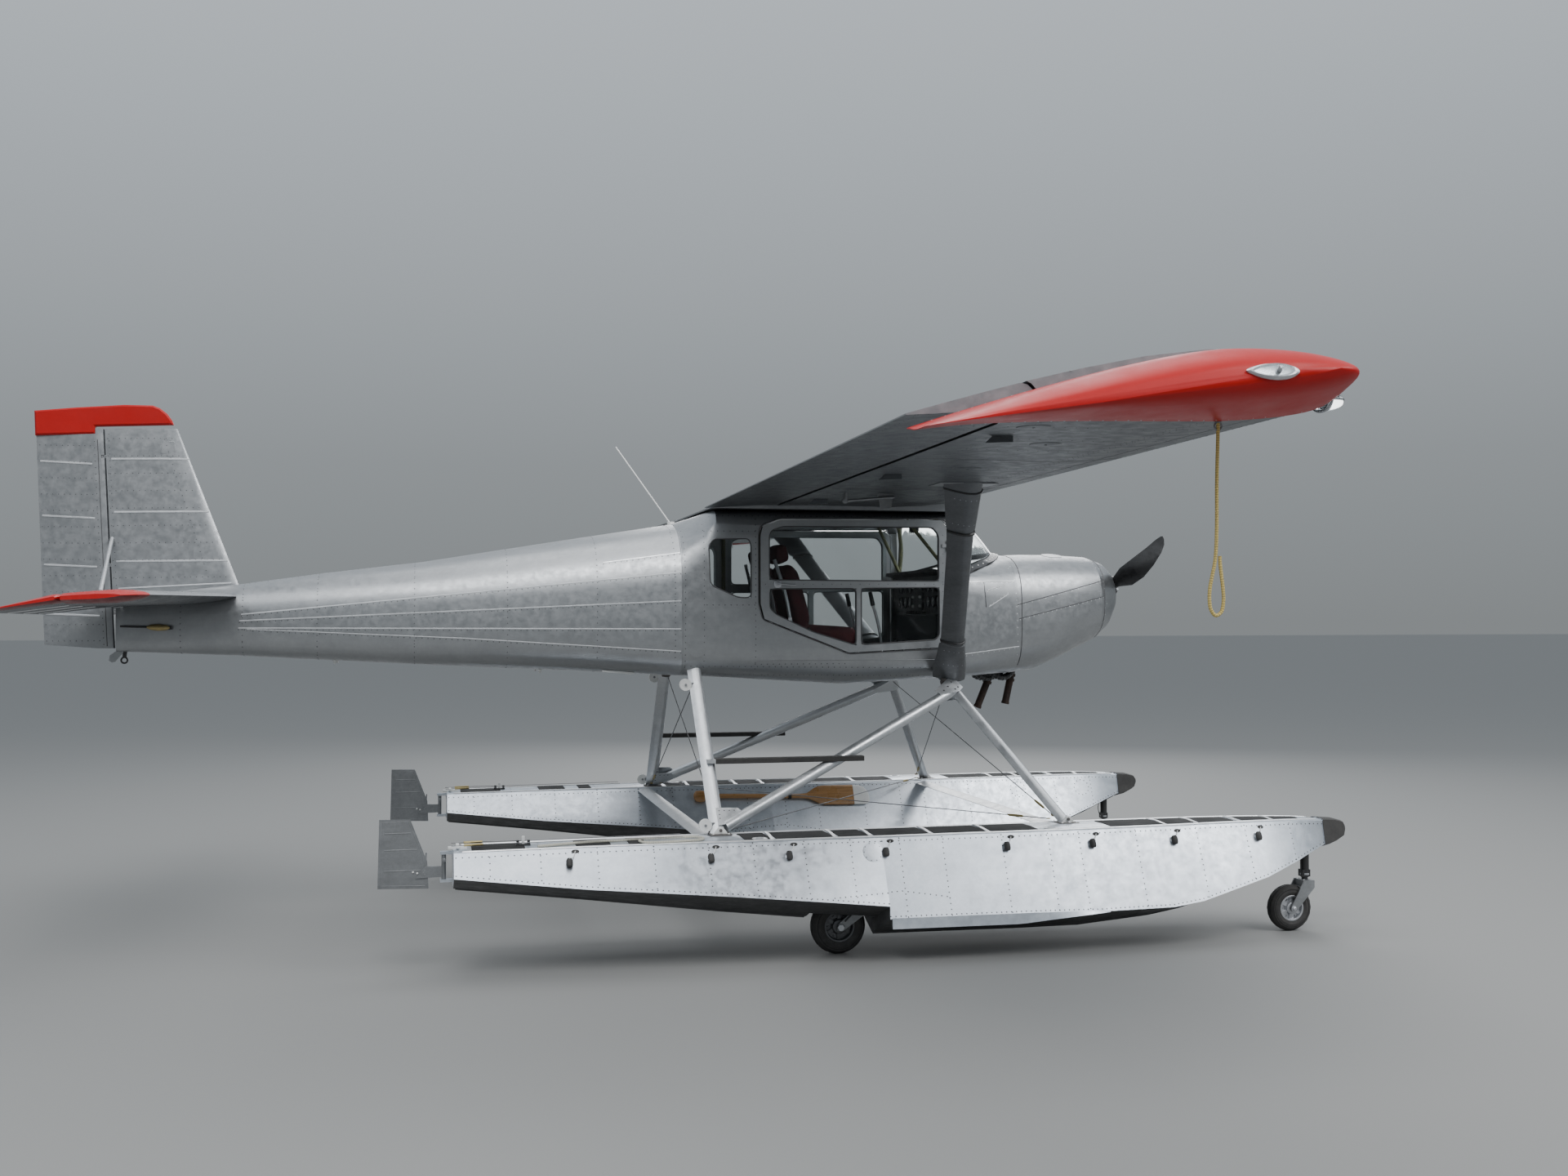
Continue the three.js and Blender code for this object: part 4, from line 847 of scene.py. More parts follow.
def joined_shading() -> bpy.types.NodeTree:
    """Geometry nodes that join a CAD node's loose triangles and keep only its real edges sharp.

    Returns:
        The node group.
    """
    name = "joined_shading"
    if name in bpy.data.node_groups:
        return bpy.data.node_groups[name]
    tree = bpy.data.node_groups.new(name, "GeometryNodeTree")
    tree.interface.new_socket("Geometry", in_out="INPUT", socket_type="NodeSocketGeometry")
    tree.interface.new_socket("Angle", in_out="INPUT", socket_type="NodeSocketFloat").default_value = 0.5
    tree.interface.new_socket("Geometry", in_out="OUTPUT", socket_type="NodeSocketGeometry")
    sheet = Sheet(tree)
    given = sheet.node("NodeGroupInput")
    merged = sheet.node("GeometryNodeMergeByDistance", Geometry=given.outputs[0], Distance=0.00004)
    smooth = sheet.node("GeometryNodeSetShadeSmooth", Geometry=merged.outputs[0])
    angle = sheet.node("GeometryNodeInputMeshEdgeAngle")
    under = sheet.node("FunctionNodeCompare", {"operation": "LESS_THAN"}, _0=angle.outputs[0],
                       _1=given.outputs["Angle"])
    edges = sheet.node("GeometryNodeSetShadeSmooth", {"domain": "EDGE"}, Geometry=smooth.outputs[0],
                       Shade_Smooth=under.outputs[0])
    sheet.node("NodeGroupOutput", Geometry=edges.outputs[0])
    return tree


@dataclass
class Carried:
    """The CAD nodes that stay in view, each in its finish."""

    nodes: dict
    angle: float = 26.0
    finishes: dict = field(default_factory=lambda: {
        "bare_skin": SKIN, "float_skin": FLOAT_SKIN, "strut_metal": TUBE, "red_paint": RED,
        "black_paint": BLACK, "engine_iron": IRON, "exhaust_steel": RUST, "gear_steel": STEEL,
        "window": GLASS, "tyre_rubber": RUBBER, "seat_cloth": FABRIC, "board_plastic": PLASTIC,
        "paddle_wood": WOOD, "rope_fibre": YELLOW_ROPE,
    })

    def dress(self, record: dict) -> None:
        """Gives each node its finish and joined shading.

        Args:
            record: the part's record, which gives each node its slot.
        """
        slots = {row["node"]: row["material_slot"] for row in record["subparts"]}
        for name, thing in self.nodes.items():
            finish = self.finishes[slots[name]]
            thing.data.materials.clear()
            thing.data.materials.append(finish.material())
            thing.data.polygons.foreach_set("material_index", np.zeros(len(thing.data.polygons), np.int32))
            shading = thing.modifiers.new("joined_shading", "NODES")
            shading.node_group = joined_shading()
            shading["Socket_1"] = math.radians(self.angle)

    def repaint(self, name: str, finish: Finish, chosen: object) -> None:
        """Gives some of a node's faces another finish.

        Args:
            name: the CAD node.
            finish: finish of the chosen faces.
            chosen: function of the faces' centres and normals that returns a mask.
        """
        mesh = self.nodes[name].data
        centre, normal = np.zeros(len(mesh.polygons) * 3), np.zeros(len(mesh.polygons) * 3)
        index = np.zeros(len(mesh.polygons), np.int32)
        mesh.polygons.foreach_get("center", centre)
        mesh.polygons.foreach_get("normal", normal)
        mesh.polygons.foreach_get("material_index", index)
        mesh.materials.append(finish.material())
        index[chosen(centre.reshape(-1, 3), normal.reshape(-1, 3))] = len(mesh.materials) - 1
        mesh.polygons.foreach_set("material_index", index)

    def paint_parts(self) -> None:
        """Paints the faces that differ from the rest of their node, among them painted shade on faces that
        look down and on the lift struts.
        """
        # Faces of the tail planes that look down take a darker copy of their finish: painted shade.
        for name in ("stabiliser", "elevator"):
            self.nodes[name].data.materials[0] = TAIL_TOP.material()
            self.repaint(name, TAIL_SHADED_BELOW, lambda centre, normal: normal[:, 2] < -0.2)
        self.nodes["antenna_whip"].data.materials[0] = WHITE.material()
        # Faces of the centre section, wings and flaperons that look down take darker metal: painted shade.
        self.repaint("centre_section", SHADED_UNDERSIDE, lambda centre, normal: normal[:, 2] < -0.3)
        for side in Side:
            for name in (side.of("wing"), side.of("flaperon")):
                self.repaint(name, SHADED_UNDERSIDE, lambda centre, normal: normal[:, 2] < -0.3)
            # The lift struts take dark metal: painted shade.
            self.nodes[side.of("lift_strut")].data.materials[0] = SHADED_LIFT_STRUT.material()
            # Faces of the floats that look down, and low faces that look aft, take near black: painted shade.
            self.repaint(side.of("float"), FLOAT_BOTTOM_SHADE, lambda centre, normal: (normal[:, 2] < -0.5) | (
                (normal[:, 0] < -0.5) & (centre[:, 2] < 0.33)))
            self.repaint(side.of("float"), RUBBER, lambda centre, normal: centre[:, 0] > 3.3425)
            self.nodes[side.of("nose_gear_leg")].data.materials[0] = BLACK.material()
            for wheel, x, radius, hub in (("main_wheel", 0.607, 0.1425, HUB),
                                          ("nose_wheel", 3.169, 0.125, RIM)):
                def inner(centre: Array, normal: Array, x: float = x, radius: float = radius) -> Array:
                    """The faces inside half of the wheel's radius."""
                    return np.hypot(centre[:, 0] - x, centre[:, 2] - radius) < 0.5 * radius

                self.repaint(side.of(wheel), hub, inner)


@dataclass
class Studio:
    """Camera where the photograph was taken, pale floor and soft light."""

    place: tuple = (-1.443, -9.04, 1.7)
    turn: float = 12.9
    rise: float = 1.22
    roll: float = 0.1
    lens: float = 35.68
    floor: float = 300.0

    def camera(self) -> None:
        """Sets the camera where the photograph was taken from."""
        data = bpy.data.cameras.new("photo_camera")
        data.lens = self.lens
        data.sensor_width = 36.0
        data.clip_end = 600.0
        camera = bpy.data.objects.new("photo_camera", data)
        camera.location = self.place
        camera.rotation_euler = [math.radians(a) for a in (90 + self.rise, self.roll, -self.turn)]
        bpy.context.scene.collection.objects.link(camera)
        bpy.context.scene.camera = camera

    def ground(self) -> None:
        """Lays the plain pale floor."""
        half = self.floor / 2
        mesh = bpy.data.meshes.new("studio_floor")
        corners = [(-half, -half, 0), (half, -half, 0), (half, half, 0), (-half, half, 0)]
        mesh.from_pydata(corners, [], [(0, 1, 2, 3)])
        paint = bpy.data.materials.new("pale_floor")
        paint.use_nodes = True
        shader = paint.node_tree.nodes["Principled BSDF"]
        shader.inputs["Base Color"].default_value = (0.235, 0.235, 0.23, 1)
        shader.inputs["Roughness"].default_value = 0.85
        mesh.materials.append(paint)
        floor = bpy.data.objects.new("studio_floor", mesh)
        bpy.context.scene.collection.objects.link(floor)

    def light(self) -> None:
        """Sets a bright soft sky and four large lamps."""
        world = bpy.data.worlds.new("soft_sky")
        bpy.context.scene.world = world
        world.use_nodes = True
        sheet = Sheet(world.node_tree)
        place = sheet.node("ShaderNodeTexCoord").outputs["Generated"]
        height = sheet.node("ShaderNodeSeparateXYZ", _0=place)
        ramp = sheet.node("ShaderNodeValToRGB", _0=height.outputs[2])
        ramp.color_ramp.elements[0].position = 0.0
        ramp.color_ramp.elements[0].color = (0.28, 0.3, 0.31, 1)
        ramp.color_ramp.elements[1].position = 0.55
        ramp.color_ramp.elements[1].color = (0.84, 0.92, 1, 1)
        for position, color in ((0.82, (0.84, 0.92, 1, 1)), (1, (0.42, 0.47, 0.52, 1))):
            ramp.color_ramp.elements.new(position).color = color
        middle = ramp.color_ramp.elements.new(0.1)
        middle.color = (0.34, 0.37, 0.39, 1)
        glow = sheet.node("ShaderNodeBackground", Color=ramp.outputs[0], Strength=0.85)
        sheet.node("ShaderNodeOutputWorld", Surface=glow.outputs[0])
        # Columns: name, place, size, power, aim
        lamps = [
            ("key_lamp", (-3.0, -9.0, 11.0), 6.0, 900.0, (0.0, 0.0, 1.0)),
            ("bow_lamp", (8.0, -8.0, 9.0), 6.0, 800.0, (1.0, 0.0, 0.6)),
            ("top_lamp", (0.5, 0.0, 9.5), 8.0, 420.0, (0.0, 0.0, 0.0)),
            ("far_lamp", (4.0, 9.0, 6.0), 7.0, 500.0, (0.0, 0.0, 1.2)),
        ]
        for name, at, size, power, aim in lamps:
            data = bpy.data.lights.new(name, "AREA")
            data.size = size
            data.energy = power
            lamp = bpy.data.objects.new(name, data)
            lamp.location = at
            lamp.rotation_euler = (Vector(aim) - Vector(at)).to_track_quat("-Z", "Y").to_euler()
            bpy.context.scene.collection.objects.link(lamp)


@dataclass
class Ropes:
    """The tie-down rope under the wing and the mooring line on the deck."""

    tie_radius: float = 0.006
    line_radius: float = 0.007
    deck_lift: float = 0.0076

    def tie_route(self) -> Array:
        """The tie-down rope's points, as in the part's source.

        Returns:
            Points as (n, 3).
        """
        return np.array([
            (1137, -4298, 2361.7), (1137, -4298, 2340), (1136, -4297, 2290), (1134, -4296, 2220),
            (1132, -4296, 2140), (1131, -4297, 2060), (1129, -4298, 1990), (1126, -4298, 1930),
            (1121, -4298, 1890), (1112, -4298, 1850), (1104, -4297, 1810), (1102, -4296, 1770),
            (1108, -4295, 1735), (1126, -4294, 1716), (1146, -4294, 1728), (1154, -4295, 1765),
            (1152, -4296, 1805), (1146, -4297, 1850), (1141, -4298, 1890), (1140, -4298, 1915),
        ]) / 1000

    def line_route(self) -> Array:
        """The mooring line's points, as in the part's source, laid on the deck.

        Returns:
            Points as (n, 3).
        """
        flat = np.array([
            (-921, -1401), (-860, -1386), (-751, -1356), (-670, -1342), (-589, -1334), (-490, -1318),
            (-392, -1300), (-320, -1290), (-254, -1286), (-190, -1290), (-140, -1304), (-108, -1330),
            (-100, -1362), (-114, -1392), (-150, -1412), (-237, -1428), (-310, -1434), (-376, -1432),
            (-402, -1416), (-416, -1390), (-420, -1362),
        ]) / 1000
        deck = Cover("float_right")
        points, _ = deck.cast(np.c_[flat, np.zeros(len(flat))], -UP)
        return points + [0, 0, self.deck_lift]

    def rope(self, name: str, node: str, route: Array, radius: float, finish: Finish, lay: str) -> None:
        """Args:
            name: name of the piece.
            node: CAD node that it replaces.
            route: points that it passes through.
            radius: radius of the rope.
        """
        path = curve(route, 30 * (len(route) - 1))
        sides = 16
        shape = tube(path, radius, sides, ACROSS if lay == "hanging" else UP)
        made = piece(name, [shape], [finish])
        length = np.concatenate([[0], np.cumsum(np.linalg.norm(np.diff(path, axis=0), axis=1))])
        mesh = made.data
        uv = mesh.uv_layers.new(name="UVMap")
        corner = np.zeros(len(mesh.loops), np.int32)
        mesh.loops.foreach_get("vertex_index", corner)
        places = np.stack([(corner % sides) / sides, length[corner // sides]], -1)
        uv.data.foreach_set("uv", places.ravel())
        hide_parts(node)

    def build(self) -> None:
        """Makes both ropes."""
        self.rope("tie_rope_braid", "tie_down_rope", self.tie_route(), self.tie_radius, YELLOW_ROPE,
                  "hanging")
        self.rope("mooring_line_braid", "mooring_line", self.line_route(), self.line_radius, PALE_ROPE,
                  "loose")


def outline(points: list, y: float) -> Array:
    """An outline of (x, z) pairs set at one y."""
    flat = np.asarray(points, float)
    return np.c_[flat[:, 0], np.full(len(flat), y), flat[:, 1]]


def rounded(points: Array, radius: float, steps: int = 5) -> Array:
    """A closed outline whose corners are replaced by short quadratic curves.

    Args:
        points: corners as (n, 3).
        radius: how far from each corner its curve starts.
        steps: points on each curve.

    Returns:
        The rounded outline.
    """
    points = np.asarray(points, float)
    before, after = np.roll(points, 1, 0) - points, np.roll(points, -1, 0) - points
    reach = np.minimum(radius, 0.45 * np.minimum(np.linalg.norm(before, axis=1),
                                                 np.linalg.norm(after, axis=1)))
    a = points + reach[:, None] * unit(before)
    b = points + reach[:, None] * unit(after)
    t = np.linspace(0, 1, steps)[None, :, None]
    arcs = (1 - t) ** 2 * a[:, None] + 2 * t * (1 - t) * points[:, None] + t ** 2 * b[:, None]
    return arcs.reshape(-1, 3)


def closed_tube(path: Array, radius: float, sides: int = 6, finish: int = 0) -> Shape:
    """A round bar along a closed path that lies roughly in one plane.

    Args:
        path: points of the centre line as (n, 3), without the first one again.
        radius: radius of the bar.
        sides: points round it.
        finish: index of the finish.

    Returns:
        The closed shape.
    """
    path = np.asarray(path, float)
    keep = np.linalg.norm(path - np.roll(path, 1, 0), axis=1) > 1e-6
    path = path[keep]
    tangent = unit(np.roll(path, -1, 0) - np.roll(path, 1, 0))
    middle = path - path.mean(0)
    flat = unit(np.cross(middle, np.roll(middle, -1, 0)).sum(0))
    side = unit(np.cross(tangent, flat))
    turn = turns(sides)
    rim = np.cos(turn)[None, :, None] * side[:, None] + np.sin(turn)[None, :, None] * flat
    return skin(path[:, None] + radius * rim, loop=True, finish=finish)


def both(shapes: list) -> list:
    """The shapes and their mirror images."""
    return shapes + [shape.mirrored() for shape in shapes]


def washer(at: Array, normal: Array, radius: float, height: float, sides: int = 12, finish: int = 0) -> Shape:
    """A low round disc with a softened rim, standing on a surface.

    Args:
        at, normal: middle of its foot and the direction that it faces.
        radius, height: size of the disc.
        sides: points round it.
        finish: index of the finish.

    Returns:
        The closed shape.
    """
    profile = [(radius * 0.98, -0.001), (radius, 0), (radius, height * 0.7), (radius * 0.86, height),
               (radius * 0.2, height)]
    return turned(np.array(profile), at, normal, sides, finish=finish)


def grip(at: Array, reach: float, thick: float) -> Shape:
    """A short square bar along X, to turn a cap or lid by."""
    return bar(at - AHEAD * reach, at + AHEAD * reach, thick, thick)


@dataclass
class TailCone:
    """Creases, frames and small fittings of the tapered rear fuselage."""

    # Columns: x and height at the front, x and height at the back, radius of the bead
    creases: tuple = (
        (-0.085, 2.08, -0.5, 2.025, 0.0036), (-0.085, 1.97, -2.43, 1.741, 0.0052),
        (-0.085, 1.812, -2.44, 1.706, 0.0052), (-0.085, 1.657, -2.445, 1.667, 0.0052),
        (-0.085, 1.534, -1.251, 1.609, 0.0034), (-1.251, 1.609, -2.4, 1.661, 0.0034),
    )
    frames: tuple = (-2.75, -2.425, -2.031, -1.515, -1.018, -0.536, -0.115)
    pitch: float = 0.032

    def build(self) -> None:
        """Lays beads and rivets on both sides of the cone."""
        cover = Cover("tail_cone")
        beads, rows = [], []
        for x, z, back, low, radius in self.creases:
            start, end = np.array([x, 0, z]), np.array([back, 0, low])
            beads.append(cover.line(start, end, ACROSS, radius, -0.5 * radius, 0.12))
            rows.append((start - [0, 0, 0.009], end - [0, 0, 0.009], self.pitch))
        # The crease beads are much paler than the skin: painted highlight along each crease.
        piece("tail_cone_beads", both(beads), [BRIGHT_TRIM_AND_HIGHLIGHT])
        rows += [([x, 0, 1.5], [x, 0, 2.2], self.pitch) for x in self.frames]
        roof = [([x, -0.4, 0], [x, 0.4, 0], self.pitch) for x in self.frames]
        roof += [([-2.4, y, 0], [-0.12, y, 0], self.pitch) for y in (-0.05, 0.05)]
        belly = [([x, -0.32, 0], [x, 0.32, 0], self.pitch) for x in self.frames]
        piece("tail_cone_rivets", both([cover.rivets(rows, ACROSS, *SKIN_HEAD)]) + [
            cover.rivets(roof, -UP, *SKIN_HEAD), cover.rivets(belly, UP, *SKIN_HEAD)], [RIVET])
        self.fittings(cover)

    def fittings(self, cover: Cover) -> None:
        """Adds cable fairleads, a step rail, the elevator's control rods and a tie-down eye.

        Args:
            cover: outer faces of the cone.
        """
        shapes = []
        guide = [(0.011, -0.002), (0.011, 0.004), (0.006, 0.012), (0.008, 0.02), (0.002, 0.022)]
        for x in (-1.943, -0.828):
            shapes.append(turned(guide, *cover.spot(x, -0.12 - 0.06 * (x + 2), 0, UP), 12))
        rail, _ = cover.cast([[-0.5, -0.4, 0], [-0.32, -0.4, 0]], UP)
        shapes.append(bar(rail[0] - [0, 0, 0.006], rail[1] - [0, 0, 0.006], 0.022, 0.012))
        piece("cone_fairleads", both(shapes), [WHITE], bevel=0.0015)
        boot, out = cover.spot(-2.8, 0, 1.67, ACROSS)
        outer = boot + out * 0.016
        tip = np.array([-3.06, -0.075, 1.678])
        sleeve = [(0.006, 0), (0.015, 0.02), (0.019, 0.06), (0.015, 0.1), (0.006, 0.12)]
        rods = [tube([tip, outer], 0.006, 10), turned(sleeve, outer, unit(tip - outer), 14, finish=1),
                bar(boot, outer, 0.02, 0.02)]
        piece("tail_link_rods", both(rods), [BLACK, BRASS], bevel=0.001)
        root, _ = cover.spot(-3.045, 0, 0, UP)
        low = root + [-0.006, 0, -0.034]
        stub = tube([root + 0.02 * UP, low], 0.011, 12)
        eye = closed_tube(circle(low - 0.012 * UP, 0.016, 24), 0.005, 8)
        piece("tail_tie_stub", [stub, eye], [BLACK], bevel=0.001)


@dataclass
class Cabin:
    """Door seals, pane beads, latches and the shell's rivets."""

    wall: float = 0.5752
    door: tuple = ((0.362, 2.18), (0.362, 1.8), (0.385, 1.712), (0.872, 1.522), (1.452, 1.55), (1.452, 2.24),
                   (1.42, 2.276), (0.48, 2.266), (0.376, 2.228))
    panes: tuple = (
        ((0.413, 2.176), (0.413, 1.93), (1.405, 1.926), (1.405, 2.19), (1.37, 2.234), (0.49, 2.23),
         (0.424, 2.206)),
        ((0.415, 1.88), (0.415, 1.772), (0.45, 1.738), (0.66, 1.64), (0.915, 1.562), (0.915, 1.884)),
        ((0.945, 1.885), (1.408, 1.892), (1.408, 1.62), (1.385, 1.592), (0.945, 1.565)),
    )
    rear: tuple = ((0.07, 2.119), (0.097, 2.156), (0.295, 2.158), (0.309, 2.122), (0.31, 1.831),
                   (0.236, 1.831), (0.079, 1.902))

    def build(self) -> None:
        """Dresses both doors and the shell."""
        for side in Side:
            y = side.value * self.wall
            seals = [closed_tube(rounded(outline(p, y - side.value * depth), 0.03), radius)
                     for depth, radius in ((0, 0.0032), (0.014, 0.004)) for p in self.panes]
            piece(side.of("door_pane_seals"), seals, [SEAM], side.of("door"))
            self.latch(side)
            rim = closed_tube(rounded(outline(self.rear, y), 0.03), 0.0035)
            middle = np.array([0.907, 1.9])
            frame = outline((self.door - middle) * 1.021 + middle, y)
            piece(side.of("cabin_seals"), [rim, closed_tube(rounded(frame, 0.02), 0.003)], [SEAM])
        self.rivets()

    def latch(self, side: Side) -> None:
        """Adds the door's handle, lock and screws.

        Args:
            side: side of the aircraft.
        """
        y = side.value * self.wall
        out = ACROSS * side.value
        at = np.array([0.46, y, 1.907])
        lever = curve([at, at + out * 0.022 + [0.01, 0, 0], at + out * 0.026 + [0.05, 0, -0.004],
                       at + out * 0.02 + [0.1, 0, -0.006]], 16)
        shapes = [washer(at, out, 0.022, 0.006, 20), tube(lever, np.linspace(0.006, 0.0045, 16), 10),
                  washer([0.53, y, 1.712], out, 0.01, 0.003, 16)]
        screws = np.concatenate([along([0.39, y, 1.906], [1.43, y, 1.909], 0.055),
                                 along([1.429, y, 1.6], [1.429, y, 2.19], 0.055)])
        heads = domes(screws, out, 0.0035, 0.0015, 1)
        piece(side.of("door_handle"), shapes + [heads], [RIM, RIVET], side.of("door"))

    def rivets(self) -> None:
        """Lays rivet rows on the shell's sides and belly, and a round patch."""
        cover = Cover("cabin_shell")
        pitch = 0.034
        rows = [
            ([-0.06, 0, 1.41], [-0.06, 0, 2.24], pitch), ([0.045, 0, 1.41], [0.045, 0, 2.24], pitch),
            ([0.335, 0, 1.4], [0.335, 0, 2.27], pitch), ([1.475, 0, 1.4], [1.475, 0, 1.6], pitch),
            ([-0.06, 0, 1.452], [1.47, 0, 1.43], pitch), ([-0.06, 0, 1.405], [1.47, 0, 1.385], pitch),
            ([0.335, 0, 1.46], [0.85, 0, 1.46], pitch), ([0.05, 0, 2.285], [1.47, 0, 2.296], pitch),
            ([0.06, 0, 1.79], [0.33, 0, 1.79], pitch), ([0.05, 0, 2.2], [0.33, 0, 2.2], pitch),
        ]
        side = cover.rivets(rows, ACROSS, *SKIN_HEAD)
        belly = [([x, -0.5, 0], [x, 0.5, 0], pitch) for x in (0.05, 0.4, 0.8, 1.16, 1.46)]
        belly += [([0, y, 0], [1.48, y, 0], 0.05) for y in (-0.3, 0.3)]
        under = cover.rivets(belly, UP, *SKIN_HEAD)
        piece("cabin_rivets", both([side]) + [under], [RIVET])
        patch = washer(*cover.spot(0.002, 0, 1.545, ACROSS), 0.045, 0.002, 28)
        strips = [cover.line([0.34, 0, 1.478], [1.46, 0, 1.478], ACROSS, 0.0022, 0, 0.1),
                  cover.line([-0.075, 0, 1.41], [-0.075, 0, 2.2], ACROSS, 0.002, 0, 0.03)]
        piece("cabin_patches", both([patch] + strips), [SKIN])


@dataclass
class Cockpit:
    """What shows through the glass: padded seats, dials, sticks and frame tubes."""

    seat_y: tuple = (-0.26, 0.26)
    floor: float = 1.4403
    # Columns: name, middle, half sizes, lean back in radians
    pads: tuple = (
        ("cushion", (0.785, 0.0, 1.612), (0.215, 0.205, 0.05), 0.06),
        ("backrest", (0.6, 0.0, 1.835), (0.046, 0.195, 0.205), -0.26),
        ("headroll", (0.527, 0.0, 2.085), (0.04, 0.15, 0.052), -0.26),
    )

    softness: float = 0.42
    frames: int = 20

    def pad(self, name: str, middle: Array, half: Array, lean: float) -> bpy.types.Object:
        """One crowned pad: a superellipsoid, blown up by a short cloth simulation.

        The point at angles (a, b) is half * (cos a cos b, cos a sin b, sin a), each sine and cosine taken
        to a small power so that the form is a soft box.

        Args:
            name: name of the piece.
            middle: centre of the pad.
            half: half sizes along its own axes.
            lean: turn about Y in radians.

        Returns:
            The pad, riding on the airframe.
        """
        def soft(value: Array) -> Array:
            """The value to the small power, its sign kept."""
            return np.sign(value) * np.abs(value) ** self.softness

        a = np.linspace(-math.pi / 2, math.pi / 2, 25)[:, None]
        b = turns(40)[None, :]
        flat = np.stack([soft(np.cos(a)) * soft(np.cos(b)), soft(np.cos(a)) * soft(np.sin(b)),
                         soft(np.sin(a)) * np.ones_like(b)], -1)
        local = flat * np.asarray(half)
        c, s = math.cos(lean), math.sin(lean)
        turn = np.array([[c, 0, s], [0, 1, 0], [-s, 0, c]])
        rings = local @ turn.T + np.asarray(middle)
        shape = skin(rings[1:-1])
        made = piece(name, [shape], [FABRIC], smooth=180)
        self.blow_up(made)
        rounder = made.modifiers.new("rounder", "SUBSURF")
        rounder.levels = rounder.render_levels = 1
        return made

    def blow_up(self, thing: bpy.types.Object, cap: float = 0.014) -> None:
        """Swells a pad by cloth pressure for some frames and keeps the result.

        Args:
            thing: the pad's object.
            cap: how far a point may move.
        """
        remesh = thing.modifiers.new("even_mesh", "REMESH")
        remesh.mode = "VOXEL"
        remesh.voxel_size = 0.011
        self.settle(thing)
        before = np.zeros(len(thing.data.vertices) * 3)
        thing.data.vertices.foreach_get("co", before)
        cloth = thing.modifiers.new("cloth", "CLOTH")
        cloth.settings.use_pressure = True
        cloth.settings.uniform_pressure_force = 4.0
        cloth.settings.effector_weights.gravity = 0.0
        scene = bpy.context.scene
        for step in range(1, self.frames + 1):
            scene.frame_set(step)
        self.settle(thing)
        after = np.zeros(len(before))
        thing.data.vertices.foreach_get("co", after)
        move = (after - before).reshape(-1, 3)
        size = np.linalg.norm(move, axis=1, keepdims=True)
        move *= np.minimum(1, cap / np.maximum(size, 1e-9))
        thing.data.vertices.foreach_set("co", (before.reshape(-1, 3) + move).ravel())
        thing.data.shade_smooth()
        scene.frame_set(1)

    def settle(self, thing: bpy.types.Object) -> None:
        """Replaces the mesh with what its modifiers give, and removes them.

        Args:
            thing: object whose mesh is replaced.
        """
        graph = bpy.context.evaluated_depsgraph_get()
        mesh = bpy.data.meshes.new_from_object(thing.evaluated_get(graph))
        thing.modifiers.clear()
        thing.data = mesh

    def seats(self) -> None:
        """Makes two seats, each of three pads on a tube frame."""
        for y, label in zip(self.seat_y, ("right", "left")):
            for kind, middle, half, lean in self.pads:
                self.pad(f"seat_{kind}_{label}", np.array(middle) + [0, y, 0], half, lean)
            frame = []
            for dy in (-0.19, 0.19):
                frame.append(tube(curve([[1, y + dy, 1.545], [0.62, y + dy, 1.545], [0.585, y + dy, 1.6],
                                         [0.535, y + dy, 1.84], [0.478, y + dy * 0.8, 2.05]], 40), 0.011, 10))
                for x in (0.66, 0.95):
                    frame.append(tube([[x, y + dy, self.floor], [x, y + dy, 1.545]], 0.01, 10))
            frame += [tube([[x, y - 0.19, 1.545], [x, y + 0.19, 1.545]], 0.01, 10) for x in (0.64, 0.96)]
            piece(f"seat_frame_{label}", frame, [TUBE])
            belt = [bar([0.66, y + dy, 1.66], [0.7, y + dy * 1.1, 1.5], 0.045, 0.003, AHEAD)
                    for dy in (-0.215, 0.215)]
            piece(f"seat_belts_{label}", belt, [PLASTIC])
        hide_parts("seats")

    def board(self) -> None:
        """Fits round dials, two plain radios, knobs and switches to the instrument board."""
        face = 1.472
        shapes = []
        dials = [(y, z, 0.036) for z in (1.905, 1.815) for y in (-0.36, -0.27, -0.18, 0.18, 0.27, 0.36)]
        for y, z, r in dials:
            at = np.array([face, y, z])
            ring = [(r, 0), (r, 0.006), (r * 0.9, 0.008), (r * 0.84, 0.003), (r * 0.2, 0.003)]
            shapes.append(turned(ring, at, -AHEAD, 24))
            shapes.append(washer(at - AHEAD * 0.002, -AHEAD, r * 0.8, 0.0015, 20, 1))
            angle = math.radians(50 + 400 * y + 700 * z)
            needle = np.array([0, math.cos(angle), math.sin(angle)]) * r * 0.68
            shapes.append(bar(at - AHEAD * 0.0045, at - AHEAD * 0.0045 + needle, 0.002, 0.001, AHEAD, 2))
            ticks = circle(at - AHEAD * 0.0038, 0.7 * r, 12, ACROSS)
            shapes.append(domes(ticks, -AHEAD, 0.0016, 0.0005, 2))
        for z in (1.905, 1.845, 1.79):
            shapes.append(bar([face - 0.004, -0.085, z], [face - 0.004, 0.085, z], 0.016, 0.046))
            for y in (-0.068, 0.068):
                shapes.append(washer(np.array([face - 0.012, y, z]), -AHEAD, 0.009, 0.012, 14, 2))
        for y in np.linspace(-0.12, 0.12, 6):
            knob = [(0.003, 0), (0.003, 0.03), (0.01, 0.034), (0.011, 0.046), (0.004, 0.05)]
            shapes.append(turned(knob, [face, y, 1.752], -AHEAD, 12))
        piece("board_instruments", shapes, [PLASTIC, BLACK, WHITE], bevel=0.001)

